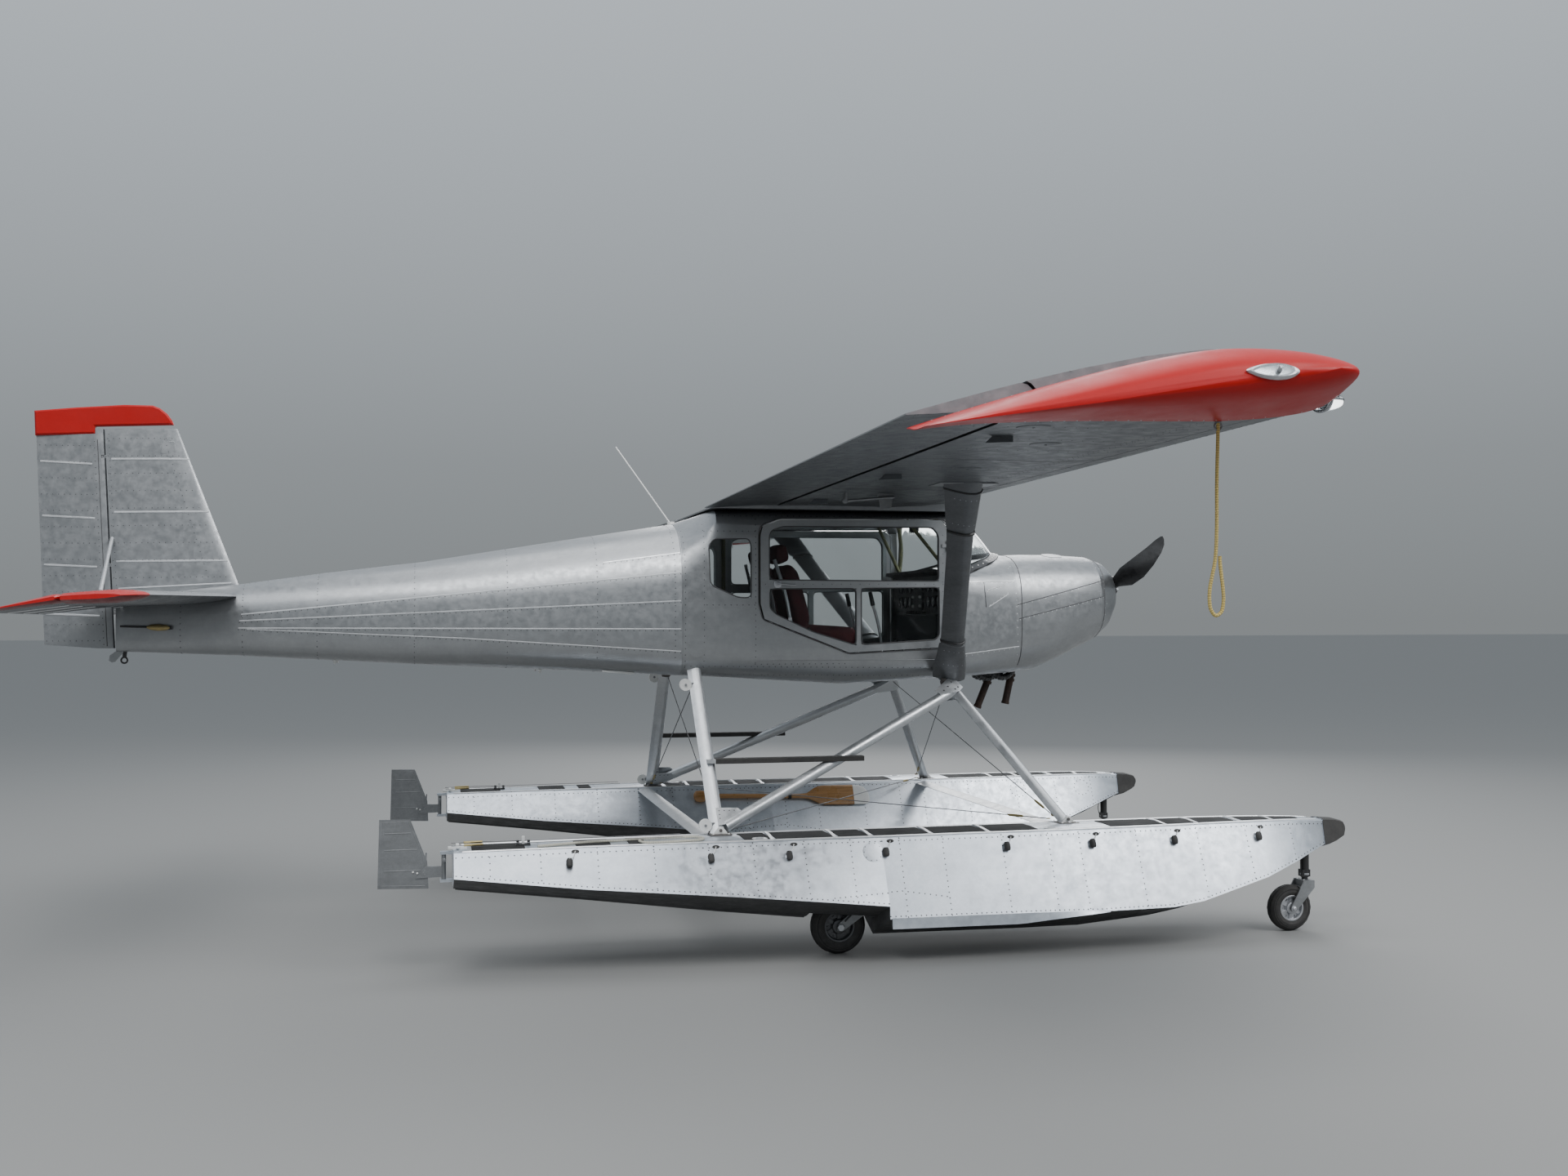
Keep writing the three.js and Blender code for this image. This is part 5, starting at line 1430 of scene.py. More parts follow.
    def controls(self) -> None:
        """Adds sticks, pedals, the cabin's frame tubes and a dark compass."""
        shapes = []
        for y in self.seat_y:
            stick = curve([[1.16, y, self.floor], [1.15, y, 1.6], [1.12, y, 1.74], [1.1, y, 1.8]], 24)
            shapes.append(tube(stick, 0.009, 10))
            shapes.append(tube([[1.104, y, 1.79], [1.086, y, 1.87]], [0.014, 0.012], 12, finish=1))
            for dy in (-0.09, 0.09):
                shapes.append(bar([1.4, y + dy, 1.5], [1.43, y + dy, 1.58], 0.075, 0.008, AHEAD, 1))
                shapes.append(tube([[1.44, y + dy, self.floor], [1.42, y + dy, 1.53]], 0.008, 8))
        piece("cabin_controls", shapes, [TUBE, PLASTIC], bevel=0.001)
        braces = []
        for side in SIDES:
            braces.append(tube(curve([[1.5, 0.5 * side, 1.995], [1.515, 0.505 * side, 2.15],
                                      [1.497, 0.5 * side, 2.305]], 16), 0.013, 10))
            braces.append(tube([[1.496, 0.46 * side, 1.99], [1.3, 0.3 * side, 2.292]], 0.011, 10))
            braces.append(tube([[0.36, 0.53 * side, 1.46], [0.36, 0.53 * side, 2.26]], 0.012, 10))
        braces.append(tube([[1.49, -0.5, 2.3], [1.49, 0.5, 2.3]], 0.013, 10))
        braces.append(tube([[0.36, -0.53, 2.27], [0.36, 0.53, 2.27]], 0.012, 10))
        piece("cabin_frame_tubes", braces, [PRIMER])
        case = [(0.004, 0), (0.022, 0.004), (0.027, 0.02), (0.027, 0.045), (0.02, 0.055), (0.004, 0.056)]
        piece("compass_case", [turned(case, [1.47, 0.0, 2.262], -AHEAD, 20),
                               tube([[1.455, 0, 2.28], [1.455, 0, 2.3]], 0.005, 8)], [BLACK])

    def build(self) -> None:
        """Makes everything inside the cabin."""
        self.seats()
        self.board()
        self.controls()


@dataclass
class Nose:
    """Windscreen seal, cowl strips, fasteners, exhaust hoses and propeller fittings."""

    half: float = 0.545
    foot_front: float = 1.906
    foot_side: float = 1.506
    head: tuple = (1.553, 2.385)
    bulge: float = 0.068

    def screen_head(self, share: Array) -> Array:
        """Points of the windscreen's upper edge, which bends back and down towards its ends."""
        share = np.asarray(share, float)
        return np.stack([self.head[0] - 0.024 * share ** 4, self.half * share,
                         self.head[1] - 0.04 * share ** 4], -1)

    def screen_edge(self, share: float, count: int) -> Array:
        """Points up the windscreen at one share across it: a quadratic curve from foot to head.

        Args:
            share: from -1 at starboard to 1 at port.
            count: number of points.

        Returns:
            The points as (count, 3).
        """
        x = self.foot_front - (self.foot_front - self.foot_side) * abs(share) ** 2.4
        cover = Cover("boot_cowl", "cowling")
        foot, _ = cover.spot(x, self.half * share * 0.97, 0, -UP)
        foot = foot + [0, self.half * share * 0.03, 0.006]
        head = self.screen_head(share)
        middle = (foot + head) / 2 + np.array([0.01, 0, self.bulge]) * (1 - abs(share) ** 3)
        t = np.linspace(0, 1, count)[:, None]
        return (1 - t) ** 2 * foot + 2 * t * (1 - t) * middle + t ** 2 * head

    def seals(self) -> None:
        """Lays the riveted black strip along the screen's foot and metal strips up its sides."""
        cover = Cover("boot_cowl", "cowling")
        share = np.linspace(-0.985, 0.985, 61)
        x = self.foot_front - (self.foot_front - self.foot_side) * np.abs(share) ** 2.4
        path, normals = cover.cast(np.stack([x, self.half * share, 0 * x], -1), -UP)
        ahead = unit(np.cross(unit(np.gradient(path, axis=0)), normals))
        ahead *= np.sign(ahead[:, :1] + 1e-9)
        inner, outer = path - 0.014 * ahead + 0.022 * normals, path + 0.036 * ahead
        low, high = outer - 0.002 * normals, outer + 0.005 * normals
        strip = skin(np.stack([inner + 0.006 * normals, high, low, inner - 0.024 * normals], 1))
        middle = path + 0.016 * ahead + 0.0145 * normals
        heads = domes(middle[::2], normals[::2], 0.0062, 0.0035, 1)
        piece("screen_foot_seal", [strip, heads], [BLACK, WHITE])
        posts = []
        for side in SIDES:
            edge = self.screen_edge(side, 20)
            posts.append(tube(edge - [0, 0.004 * side, 0], 0.009, 8))
        head = self.screen_head(np.linspace(-1, 1, 31))
        posts.append(tube(head - [0.006, 0, -0.002], 0.008, 8))
        piece("screen_edge_strips", posts, [SKIN])

    def cowl(self) -> None:
        """Adds the cowl's side strip, the boot's creases and patch, and rows of fasteners."""
        cover = Cover("boot_cowl", "cowling", "nose_bowl")
        lines = [
            ([1.515, 0, 1.922], [1.905, 0, 1.931]), ([1.515, 0, 1.503], [1.93, 0, 1.549]),
            ([1.718, 0, 1.878], [1.839, 0, 1.911]), ([1.723, 0, 1.78], [1.859, 0, 1.855]),
            ([1.918, 0, 1.793], [2.5, 0, 1.94]), ([1.93, 0, 1.712], [2.5, 0, 1.845]),
            ([1.693, 0, 1.925], [1.703, 0, 1.778]),
        ]
        # These beads are much paler than the skin: painted highlight along the strips and creases.
        beads = [cover.line(a, b, ACROSS, 0.003, 0, 0.03) for a, b in lines[:4]]
        piece("cowl_beads", both(beads), [BRIGHT_TRIM_AND_HIGHLIGHT])
        thin = [cover.line(a, b, ACROSS, 0.0024, 0, 0.03)
                for a, b in [*lines[4:], ([2.494, 0, 1.94], [2.499, 0, 1.845])]]
        thin += [cover.line([1.947, 0, 1.44], [1.947, 0, 2.06], ACROSS, 0.0034, -0.0008, 0.02),
                 cover.line([2.511, 0, 1.6], [2.511, 0, 2.06], ACROSS, 0.003, -0.0008, 0.02)]
        rings = [cover.line([x, -0.43, 0], [x, 0.43, 0], -UP, 0.0034, -0.0008, 0.02) for x in (1.947, 2.511)]
        piece("cowl_joints", both(thin) + rings, [SEAM])
        rows = [([1.935, 0, 1.706], [2.5, 0, 1.838], 0.03), ([1.925, 0, 1.787], [2.5, 0, 1.933], 0.045),
                ([1.925, 0, 1.46], [1.905, 0, 2.02], 0.04), ([2.525, 0, 1.62], [2.5, 0, 2.05], 0.04),
                ([1.53, 0, 1.43], [1.53, 0, 1.95], 0.036), ([1.54, 0, 1.915], [1.89, 0, 1.923], 0.036),
                ([1.54, 0, 1.494], [1.9, 0, 1.538], 0.036), ([1.715, 0, 1.87], [1.84, 0, 1.903], 0.03),
                ([1.73, 0, 1.79], [1.855, 0, 1.862], 0.03)]
        side = cover.rivets(rows, ACROSS, *COWL_HEAD)
        top = [([x, -0.42, 0], [x, 0.42, 0], 0.04) for x in (1.885, 1.945, 2.475, 2.53)]
        roof = cover.rivets(top, -UP, *COWL_HEAD)
        spine = cover.line([1.95, 0, 0], [2.47, 0, 0], -UP, 0.004, 0, 0.04, 1)
        piece("cowl_fasteners", both([side]) + [roof, spine], [BRIGHT_TRIM_AND_HIGHLIGHT, SEAM])
        at, out = cover.spot(2.25, -0.2, 0, -UP)
        door = [washer(at, out, 0.062, 0.0025, 30), washer(at + 0.03 * ACROSS, out, 0.009, 0.006)]
        piece("oil_door", door, [SKIN])

    def under(self) -> None:
        """Adds the dark hoses, clamps and bracket round the exhaust pipes."""
        shapes = []
        pipes = [(np.array([2.006, 0, 1.56]), np.array([1.841, 0, 1.169])),
                 (np.array([2.118, 0.03, 1.56]), np.array([2.034, 0.03, 1.188]))]
        for a, b in pipes:
            way = unit(b - a)
            for share in (0.52, 0.6):
                at = a + share * (b - a)
                ring = [(0.0225, -0.008), (0.028, -0.008), (0.028, 0.008), (0.0225, 0.008)]
                shapes.append(turned(ring, at, way, 20, loop=True))
            mouth = [(0.0215, -0.004), (0.0245, -0.004), (0.0245, 0.01), (0.0215, 0.01)]
            shapes.append(turned(mouth, b - way * 0.01, way, 20, loop=True))
        piece("exhaust_clamps", shapes, [RUST])
        hoses = [
            curve([[1.8, -0.07, 1.395], [1.84, -0.075, 1.362], [1.9, -0.05, 1.352], [1.95, -0.04, 1.372]],
                  24),
            curve([[1.83, 0.05, 1.395], [1.86, 0.075, 1.36], [1.93, 0.08, 1.35], [1.985, 0.07, 1.38]], 24),
            curve([[1.88, -0.11, 1.392], [1.94, -0.115, 1.36], [2, -0.09, 1.362], [2.05, -0.07, 1.4]], 24),
        ]
        bellows = [tube(path, 0.019 + 0.003 * np.sin(np.arange(24) * 2.4), 14) for path in hoses]
        bellows.append(bar([1.79, 0, 1.378], [1.9, 0, 1.374], 0.16, 0.026))
        bellows.append(bar([1.965, -0.06, 1.385], [1.965, 0.09, 1.385], 0.05, 0.03))
        piece("exhaust_hoses", bellows, [BLACK], bevel=0.003)

    def propeller(self) -> None:
        """Bolts a faced plate to the hub."""
        at = np.array([2.7585, 0, 1.905])
        face = [(0.012, -0.0005), (0.036, 0), (0.036, 0.004), (0.03, 0.007), (0.012, 0.007)]
        shapes = [turned(face, at, AHEAD, 28)]
        nut = [(0.0105, -0.002), (0.0105, 0.009), (0.007, 0.011), (0.0055, 0.018), (0.002, 0.018)]
        for t in turns(6) + 0.2:
            spot = [2.7365, 0.055 * math.cos(t), 1.905 + 0.055 * math.sin(t)]
            shapes.append(turned(nut, spot, AHEAD, 6))
        piece("propeller_bolts", shapes, [RIM], "propeller")

    def build(self) -> None:
        """Dresses everything ahead of the cabin."""
        self.seals()
        self.cowl()
        self.under()
        self.propeller()


@dataclass
class Wing:
    """Sizes of the wing's section, which the rivet rows and the tips follow."""

    chord: float = 1.522
    leading_x: float = 1.562
    leading_z: float = 2.44
    rise: float = 0.0091
    wash: float = 0.12
    root: float = 0.598
    end: float = 4.316
    camber: float = 0.034
    tie: tuple = (1.137, 4.298, 2.362)

    def section(self, y: Array, c: Array, upper: bool, change: dict) -> Array:
        """Points on the wing's surface.

        The mean line is a parabola up to 40 percent of the chord and another one behind it; the half depth
        is that of a 15 percent section, made finer behind 30 percent.

        Args:
            y: place along the span.
            c: share of the chord from the leading edge.
            upper: whether the point is on the upper surface.
            change: nose, tail, lift, drop and scale, as arrays that broadcast with c.

        Returns:
            The points, with the shape of c plus a last axis of 3.
        """
        line = np.where(c < 0.4, (self.camber / 0.16) * (0.8 * c - c * c),
                        (self.camber / 0.36) * (0.2 + 0.8 * c - c * c))
        depth = 0.75 * (0.2969 * np.sqrt(c) - 0.126 * c - 0.3516 * c ** 2 + 0.2843 * c ** 3 - 0.1015 * c ** 4)
        depth = np.maximum(depth * (1 - 0.38 * np.maximum((c - 0.3) / 0.7, 0)), 0.0012 * (c > 0.5))
        lead_x = self.leading_x + change["nose"]
        lead_z = self.leading_z + self.rise * np.abs(y) + change["lift"]
        tail_x = self.leading_x - self.chord - change["tail"]
        tail_z = self.leading_z - self.wash + self.rise * np.abs(y) - change["drop"]
        dx, dz = tail_x - lead_x, tail_z - lead_z
        size = np.hypot(dx, dz)
        h = (line + (depth if upper else -depth)) * change["scale"] * self.chord
        return np.stack([lead_x + dx * c + dz / size * h, y + 0 * c, lead_z + dz * c - dx / size * h], -1)

    def tip(self, side: float) -> Shape:
        """One drooped tip: sections that shrink outwards by the columns of a short table.

        Args:
            side: -1 for starboard, 1 for port.

        Returns:
            The smooth closed tip.
        """
        # Columns: distance outboard, depth left, share of lift and droop
        table = np.array([[0, 1, 0], [0.06, 0.97, 0.35], [0.12, 0.88, 0.75], [0.17, 0.75, 0.95],
                          [0.21, 0.58, 1], [0.238, 0.37, 1], [0.254, 0.12, 1]])
        key = curve(np.c_[table[:, 0], table[:, 1] * 0.1, table[:, 2] * 0.1], 40)
        out, left, share = key[:, 0], key[:, 1] * 10, np.clip(key[:, 2] * 10, 0, 1)
        change = {"nose": -0.012 * share - 0.16 * (1 - left) ** 2, "tail": 0.02 * share,
                  "lift": 0.032 * share, "drop": 0.047 + 0.026 * share, "scale": left}
        change = {k: v[:, None] for k, v in change.items()}
        c = (1 - np.cos(np.linspace(0, math.pi, 45))) / 2
        y = side * (self.end + 0.0003 + out[:, None])
        top = self.section(y, c[None, ::-1] + 0 * y, True, change)
        low = self.section(y, c[None, 1:] + 0 * y, False, change)
        return skin(np.concatenate([top, low], 1))

    def tips(self) -> None:
        """Replaces both CAD tips by smooth ones, with screws along their joint."""
        for side in Side:
            made = piece(side.of("red_wing_tip"), [self.tip(side.value)], [RED], smooth=50)
            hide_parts(side.of("wing_tip"))
            cover = Cover(side.of("wing_tip"))
            y = side.value * (self.end + 0.014)
            above = cover.rivets([([0.12, y, 0], [1.52, y, 0], 0.045)], -UP, 0.0042, 0.0018)
            below = cover.rivets([([0.12, y, 0], [1.52, y, 0], 0.045)], UP, 0.0042, 0.0018)
            piece(side.of("tip_screws"), [above, below], [RIM])

    def lights(self) -> None:
        """Adds the teardrop lamp on each tip and the lens in each leading edge."""
        for side in Side:
            cover = Cover(side.of("wing_tip"))
            at, normal = cover.spot(1.186, side.value * 4.5, 2.494, -ACROSS * side.value)
            out = unit(normal + 0.4 * ACROSS * side.value)
            fore = unit(AHEAD - out * (AHEAD @ out))
            rise = np.cross(out, fore)
            t = turns(40)
            length = np.where(np.cos(t) > 0, 0.088, 0.096) * np.cos(t)
            width = 0.026 * np.sin(t) * np.where(np.cos(t) > 0, 1, 1 - 0.45 * np.cos(t) ** 2)
            flat = length[:, None] * fore + width[:, None] * rise
            height = np.array([-0.012, 0.006, 0.011, 0.011])
            size = np.array([1, 1, 0.9, 0.72])
            bezel = skin(at + size[:, None, None] * flat + height[:, None, None] * out)
            u = np.linspace(0, math.pi / 2 * 0.97, 9)
            lens = skin(at + (0.78 * np.cos(u))[:, None, None] * flat
                        + (0.0112 + 0.024 * np.sin(u))[:, None, None] * out)
            profile = [(0.003, 0.0115), (0.009, 0.012), (0.009, 0.024), (0.004, 0.03)]
            bulb = turned(profile, at + 0.012 * fore, out, 14)
            piece(side.of("tip_lamp_base"), [bezel, bulb], [RIM])
            glass = piece(side.of("tip_lamp_lens"), [lens], [GLASS], smooth=80)
            self.landing_lens(side)

    def landing_lens(self, side: Side) -> None:
        """A clear half egg on the leading edge just inboard of the tip, with its lamp bowl inside.

        Args:
            side: side of the aircraft.
        """
        middle = np.array([self.leading_x + 0.004, side.value * 4.235, self.leading_z + 0.017])
        flat = circle(np.zeros(3), 1, 36, 0.062 * ACROSS, 0.036 * UP)
        u = np.linspace(0, math.pi / 2 * 0.97, 12)[:, None, None]
        lens = skin(middle + np.cos(u) * flat + np.sin(u) * 0.078 * AHEAD)
        made = piece(side.of("landing_lens"), [lens], [GLASS], smooth=80)
        bowl = turned([(0.031, -0.004), (0.033, 0.004), (0.031, 0.006), (0.022, -0.008), (0.004, -0.016)],
                      middle + 0.012 * AHEAD, AHEAD, 24)
        bulb = turned([(0.004, -0.014), (0.008, -0.006), (0.008, 0.01), (0.004, 0.016)],
                      middle + 0.014 * AHEAD, AHEAD, 14, finish=1)
        rim = closed_tube(middle + 1.03 * flat, 0.0045, 8)
        piece(side.of("landing_lens_rim"), [rim, bowl, bulb], [RIM, WHITE])

    def rivets(self) -> None:
        """Lays rivet rows along the ribs and spars of both wings, above and below."""
        ribs = np.linspace(self.root + 0.03, self.end - 0.02, 12)
        for side in Side:
            s = side.value
            cover, tail = Cover(side.of("wing")), Cover(side.of("flaperon"))
            rows = [([0.52, s * y, 0], [1.54, s * y, 0], 0.042) for y in ribs]
            rows += [([x, s * self.root, 0], [x, s * self.end, 0], 0.05) for x in (0.6, 1.13, 1.155, 1.46)]
            moving = [([0.075, s * y, 0], [0.44, s * y, 0], 0.045) for y in ribs]
            moving += [([x, s * ribs[0], 0], [x, s * ribs[-1], 0], 0.05) for x in (0.085, 0.4)]
            piece(side.of("wing_rivets"), [cover.rivets(rows, way, *SKIN_HEAD) for way in (UP, -UP)], [RIVET])
            heads = [tail.rivets(moving, way, *SKIN_HEAD) for way in (UP, -UP)]
            piece(side.of("flaperon_rivets"), heads, [RIVET], side.of("flaperon"))
            self.skins(side, cover, ribs)

    def skins(self, side: Side, cover: Cover, ribs: Array) -> None:
        """Adds lap joints, round covers, the fuel cap, the strut's plate and the tie-down shackle.

        Args:
            side: side of the aircraft.
            cover: outer faces of the wing.
            ribs: places of the ribs along the span.
        """
        s = side.value
        laps = []
        for y in ribs[3::4]:
            laps += [cover.line([0.5, s * y, 0], [1.55, s * y, 0], t, 0.001, 0, 0.05) for t in (UP, -UP)]
        first, last = s * (self.root + 0.02), s * (self.end - 0.02)
        laps += [cover.line([1.3, first, 0], [1.3, last, 0], t, 0.0009, 0, 0.3) for t in (UP, -UP)]
        piece(side.of("wing_lap_joints"), laps, [RIVET])
        # The round covers sit on the underside and take its darker metal, a painted shade.
        covers = []
        for x, y in ((0.85, 1.25), (0.85, 2.62), (0.85, 3.5), (0.62, 3.95)):
            at, out = cover.spot(x, s * y, 0, UP)
            covers += [washer(at, out, 0.062, 0.0022, 32, 1),
                       washer(at + out * 0.002, out, 0.006, 0.002, 8, 1)]
        at, out = cover.spot(1.1, s * 0.95, 0, -UP)
        covers.append(turned([(0.04, -0.001), (0.04, 0.006), (0.034, 0.012), (0.012, 0.013)], at, out, 28))
        covers.append(grip(at + out * 0.016, 0.02, 0.008))
        piece(side.of("wing_covers"), covers, [SKIN, SHADED_UNDERSIDE], bevel=0.001)
        x, y, z = self.tie
        ring = closed_tube(circle([x, s * y, z - 0.012], 0.013, 24), 0.0032, 8)
        base = bar([x - 0.035, s * y, z + 0.054], [x + 0.035, s * y, z + 0.054], 0.03, 0.006)
        piece(side.of("tie_ring"), [ring, base], [STEEL])

    def linkage(self) -> None:
        """Adds the flaperon guides, hinge brackets and the strut's root plates below the wing."""
        for side in Side:
            s = side.value
            wing = Cover(side.of("wing"))
            roots, _ = wing.cast([[0.63, s * 1.4, 0], [0.84, s * 1.4, 0]], UP)
            eye = np.array([0.628, s * 1.4, 2.312])
            roller = [(0.003, -0.014), (0.014, -0.012), (0.014, 0.012), (0.003, 0.014)]
            fin = np.array([[0.8, 0, 0.004], [0.885, 0, 0.006], [0.872, 0, -0.075], [0.815, 0, -0.082]])
            fin[:, 1], fin[:, 2] = s * 1.4, fin[:, 2] + roots[1, 2]
            shapes = [bar(roots[0] + [0, 0, 0.004], eye, 0.034, 0.01, AHEAD), turned(roller, eye, ACROSS, 20),
                      tube(np.array([eye + [0.01, s * 0.012, 0], [0.885, s * 1.412, 2.335]]), 0.0065, 10),
                      plate(fin, ACROSS, 0.006)]
            piece(side.of("flaperon_guide"), shapes, [STEEL], bevel=0.001)
            for y in (1, 2.33, 3.7):
                at, _ = wing.cast([[0.56, s * y, 0], [0.64, s * y, 0]], UP)
                corners = [at[0], at[1], at[1] - [0, 0, 0.022], at[0] - [0.028, 0, 0.026]]
                # The hinge brackets under the wing take the darker underside metal, a painted shade.
                piece(side.of(f"hinge_bracket_{int(y * 100)}"), [plate(corners, ACROSS, 0.006)], [SHADED_UNDERSIDE],
                      bevel=0.0008)
            at, normal = wing.cast([[1.073, s * 1.98, 0], [1.073, s * 1.9, 0]], UP)
            corners = [[-0.15, -0.12 * s, 0], [0.14, -0.12 * s, 0], [0.14, 0.06 * s, 0], [-0.15, 0.06 * s, 0]]
            pad = plate(at[0] + corners + 0.0015 * normal[0], normal[0], 0.004)
            piece(side.of("strut_root_plate"), [pad], [SKIN], bevel=0.001)

    def strut_bands(self) -> None:
        """Lays dark bands round the lift struts where their cuffs start, and rivets the cuffs."""
        for side in Side:
            s = side.value
            cover = Cover(side.of("lift_strut"))
            low, high = np.array([1.474, 0.6 * s, 1.416]), np.array([1.073, 1.98 * s, 2.352])
            way = unit(high - low)
            rise = unit(np.cross(way, AHEAD)) * -s
            shapes, heads = [], []
            for share, reach in ((0.19, 0.1), (0.783, 0.1), (0.985, 0.13)):
                middle = low + share * (high - low)
                x = np.linspace(-reach, reach, 41)
                spots = middle + x[:, None] * AHEAD
                over, _ = cover.cast(spots, rise)
                under, _ = cover.cast(spots, -rise)
                if len(over) > 3 and len(under) > 3:
                    ring = np.concatenate([over, under[::-1]])
                    shapes.append(closed_tube(ring, 0.0095 if share < 0.9 else 0.006, 8))
            for share in (0.06, 0.14, 0.83, 0.95):
                middle = low + share * (high - low)
                for toward in (rise, -rise):
                    row = (middle - 0.06 * AHEAD, middle + 0.05 * AHEAD, 0.028)
                    heads.append(cover.rivets([row], toward))
            piece(side.of("strut_bands"), shapes, [BLACK])
            piece(side.of("strut_rivets"), heads, [RIM])

    def build(self) -> None:
        """Dresses both wings."""
        self.tips()
        self.lights()
        self.rivets()
        self.linkage()
        self.strut_bands()


@dataclass
class Tail:
    """Beads, rivets and hinge lines of the fin, rudder, stabiliser and elevator."""

    fin_beads: tuple = (2.585, 2.297, 2.029)
    rudder_beads: tuple = (2.557, 2.263, 1.999, 1.734)
    # Set back of the hinge line and of the rudder's trailing edge for each metre up
    fin_lean: float = 0.05
    hinge_lean: float = 0.052
    trailing_lean: float = 0.04

    def across_rudder(self, z: float, climb: float = 0.0) -> tuple[list, list]:
        """Both ends of a line across the rudder at a height, rising by the climb to the rear."""
        front, back = -3.165 - (z - 1.55) * self.hinge_lean, -3.44 - (z - 1.55) * self.trailing_lean
        return [front, 0, z], [back, 0, z + climb]

    def upright(self) -> None:
        """Dresses the fin and rudder on both faces."""
        fin, rudder = Cover("fin"), Cover("rudder")
        lead = {2.585: -2.725, 2.297: -2.62, 2.029: -2.52}
        bead = (0.0068, -0.0022)  # radius and lift
        beads = [fin.line([lead[z], 0, z + 0.01], [-3.125 - (z - 1.9) * self.fin_lean, 0, z], ACROSS, *bead,
                          0.04)
                 for z in self.fin_beads]
        rows = []
        for z in np.arange(1.95, 2.73, 0.0945):
            x = -2.49 - (z - 1.901) * 0.375
            rows.append(([x - 0.02, 0, z], [-3.13 - (z - 1.9) * self.fin_lean, 0, z - 0.01], 0.03))
        rows += [([-2.62, 0, 1.95], [-2.85, 0, 2.7], 0.035), ([-3.09, 0, 1.9], [-3.135, 0, 2.72], 0.035)]
        seam = fin.line([-3.118, 0, 1.9], [-3.16, 0, 2.74], ACROSS, 0.0022, 0, 0.08, 1)
        root = fin.line([-2.5, 0, 1.915], [-3.08, 0, 1.882], ACROSS, 0.0045, 0, 0.06, 0)
        patch, normal = fin.cast([[-2.8, 0, 2.69], [-2.86, 0, 2.69], [-2.87, 0, 2.62], [-2.79, 0, 2.62]],
                                 ACROSS)
        # The fin's rib beads are much paler than the skin: painted highlight.
        piece("fin_beads", both(beads + [seam, root]), [BRIGHT_TRIM_AND_HIGHLIGHT, SEAM])
        piece("fin_patch", both([plate(patch, normal[0], 0.003)]), [SKIN], bevel=0.001)
        piece("fin_rivets", both([fin.rivets(rows, ACROSS, *TAIL_HEAD)]),
              [RIVET])
        # The rudder's rib beads are much paler than the skin: painted highlight.
        beads = [rudder.line(*self.across_rudder(z, 0.012), ACROSS, *bead, 0.03) for z in self.rudder_beads]
        seam = rudder.line([-3.135, 0, 1.57], [-3.192, 0, 2.69], ACROSS, 0.0022, 0, 0.08, 1)
        piece("rudder_beads", both(beads + [seam]), [BRIGHT_TRIM_AND_HIGHLIGHT, SEAM], "rudder")
        rows = [(a - 0.005 * AHEAD, b, 0.03) for a, b in map(self.across_rudder, np.arange(1.6, 2.68, 0.088))]
        rows += [([-3.152, 0, 1.58], [-3.208, 0, 2.68], 0.035)]
        piece("rudder_rivets", both([rudder.rivets(rows, ACROSS, *TAIL_HEAD)]), [RIVET], "rudder")
        cap = Cover("rudder_cap")
        screws = cap.rivets([([-3.49, 0, 2.722], [-3.22, 0, 2.736], 0.045),
                             ([-3.19, 0, 2.776], [-2.86, 0, 2.79], 0.05)],
                            ACROSS, 0.004, 0.0016)
        piece("rudder_cap_screws", both([screws]), [RED], "rudder")

    def level(self) -> None:
        """Dresses the stabiliser and elevator, above and below."""
        plane, flap = Cover("stabiliser"), Cover("elevator")
        for side in Side:
            s = side.value
            ribs = (0.16, 0.42, 0.72, 1.02, 1.34, 1.43)
            fixed = [([-2.49 - 0.19 * (y - 0.1), s * y, 0], [-3.04, s * y, 0], 0.032) for y in ribs]
            fixed += [([-2.95, s * 0.12, 0], [-2.95, s * 1.46, 0], 0.04)]
            moving = [([-3.12, s * y, 0], [-3.39, s * y, 0], 0.032)
                      for y in (0.26, 0.57, 0.86, 1.17, 1.36, 1.42)]
            moving += [([-3.115, s * 0.22, 0], [-3.115, s * 1.46, 0], 0.04)]
            heads = [plane.rivets(fixed, way, *TAIL_HEAD) for way in (UP, -UP)]
            piece(side.of("stabiliser_rivets"), heads, [RIVET])
            heads = [flap.rivets(moving, way, *TAIL_HEAD) for way in (UP, -UP)]
            piece(side.of("elevator_rivets"), heads, [RIVET], "elevator")
            # The elevator's rib beads are much paler than the skin: painted highlight.
            beads = [flap.line([-3.12, s * y, 0], [-3.39, s * y, 0], t, 0.0055, -0.002, 0.03)
                     for y in (0.41, 0.715, 1.015) for t in (UP, -UP)]
            piece(side.of("elevator_beads"), beads, [BRIGHT_TRIM_AND_HIGHLIGHT], "elevator")

    def struts(self) -> None:
        """Puts end fittings and bolts on the stabiliser's braces."""
        shapes = []
        sleeve = [(0.0102, -0.05), (0.0125, -0.045), (0.0125, -0.01), (0.006, 0)]
        for s in SIDES:
            top, foot = np.array([-3.112, 0.04 * s, 2.146]), np.array([-3.047, 0.69 * s, 1.835])
            way = unit(foot - top)
            for at, turn in ((top, -1), (foot, 1)):
                shapes.append(turned(sleeve, at, way * turn, 14))
            shapes.append(bar([-3.047, 0.672 * s, 1.829], [-3.047, 0.728 * s, 1.829], 0.012, 0.004))
        piece("brace_fittings", shapes, [STEEL], bevel=0.0008)

    def build(self) -> None:
        """Dresses the whole tail."""
        self.upright()
        self.level()
        self.struts()


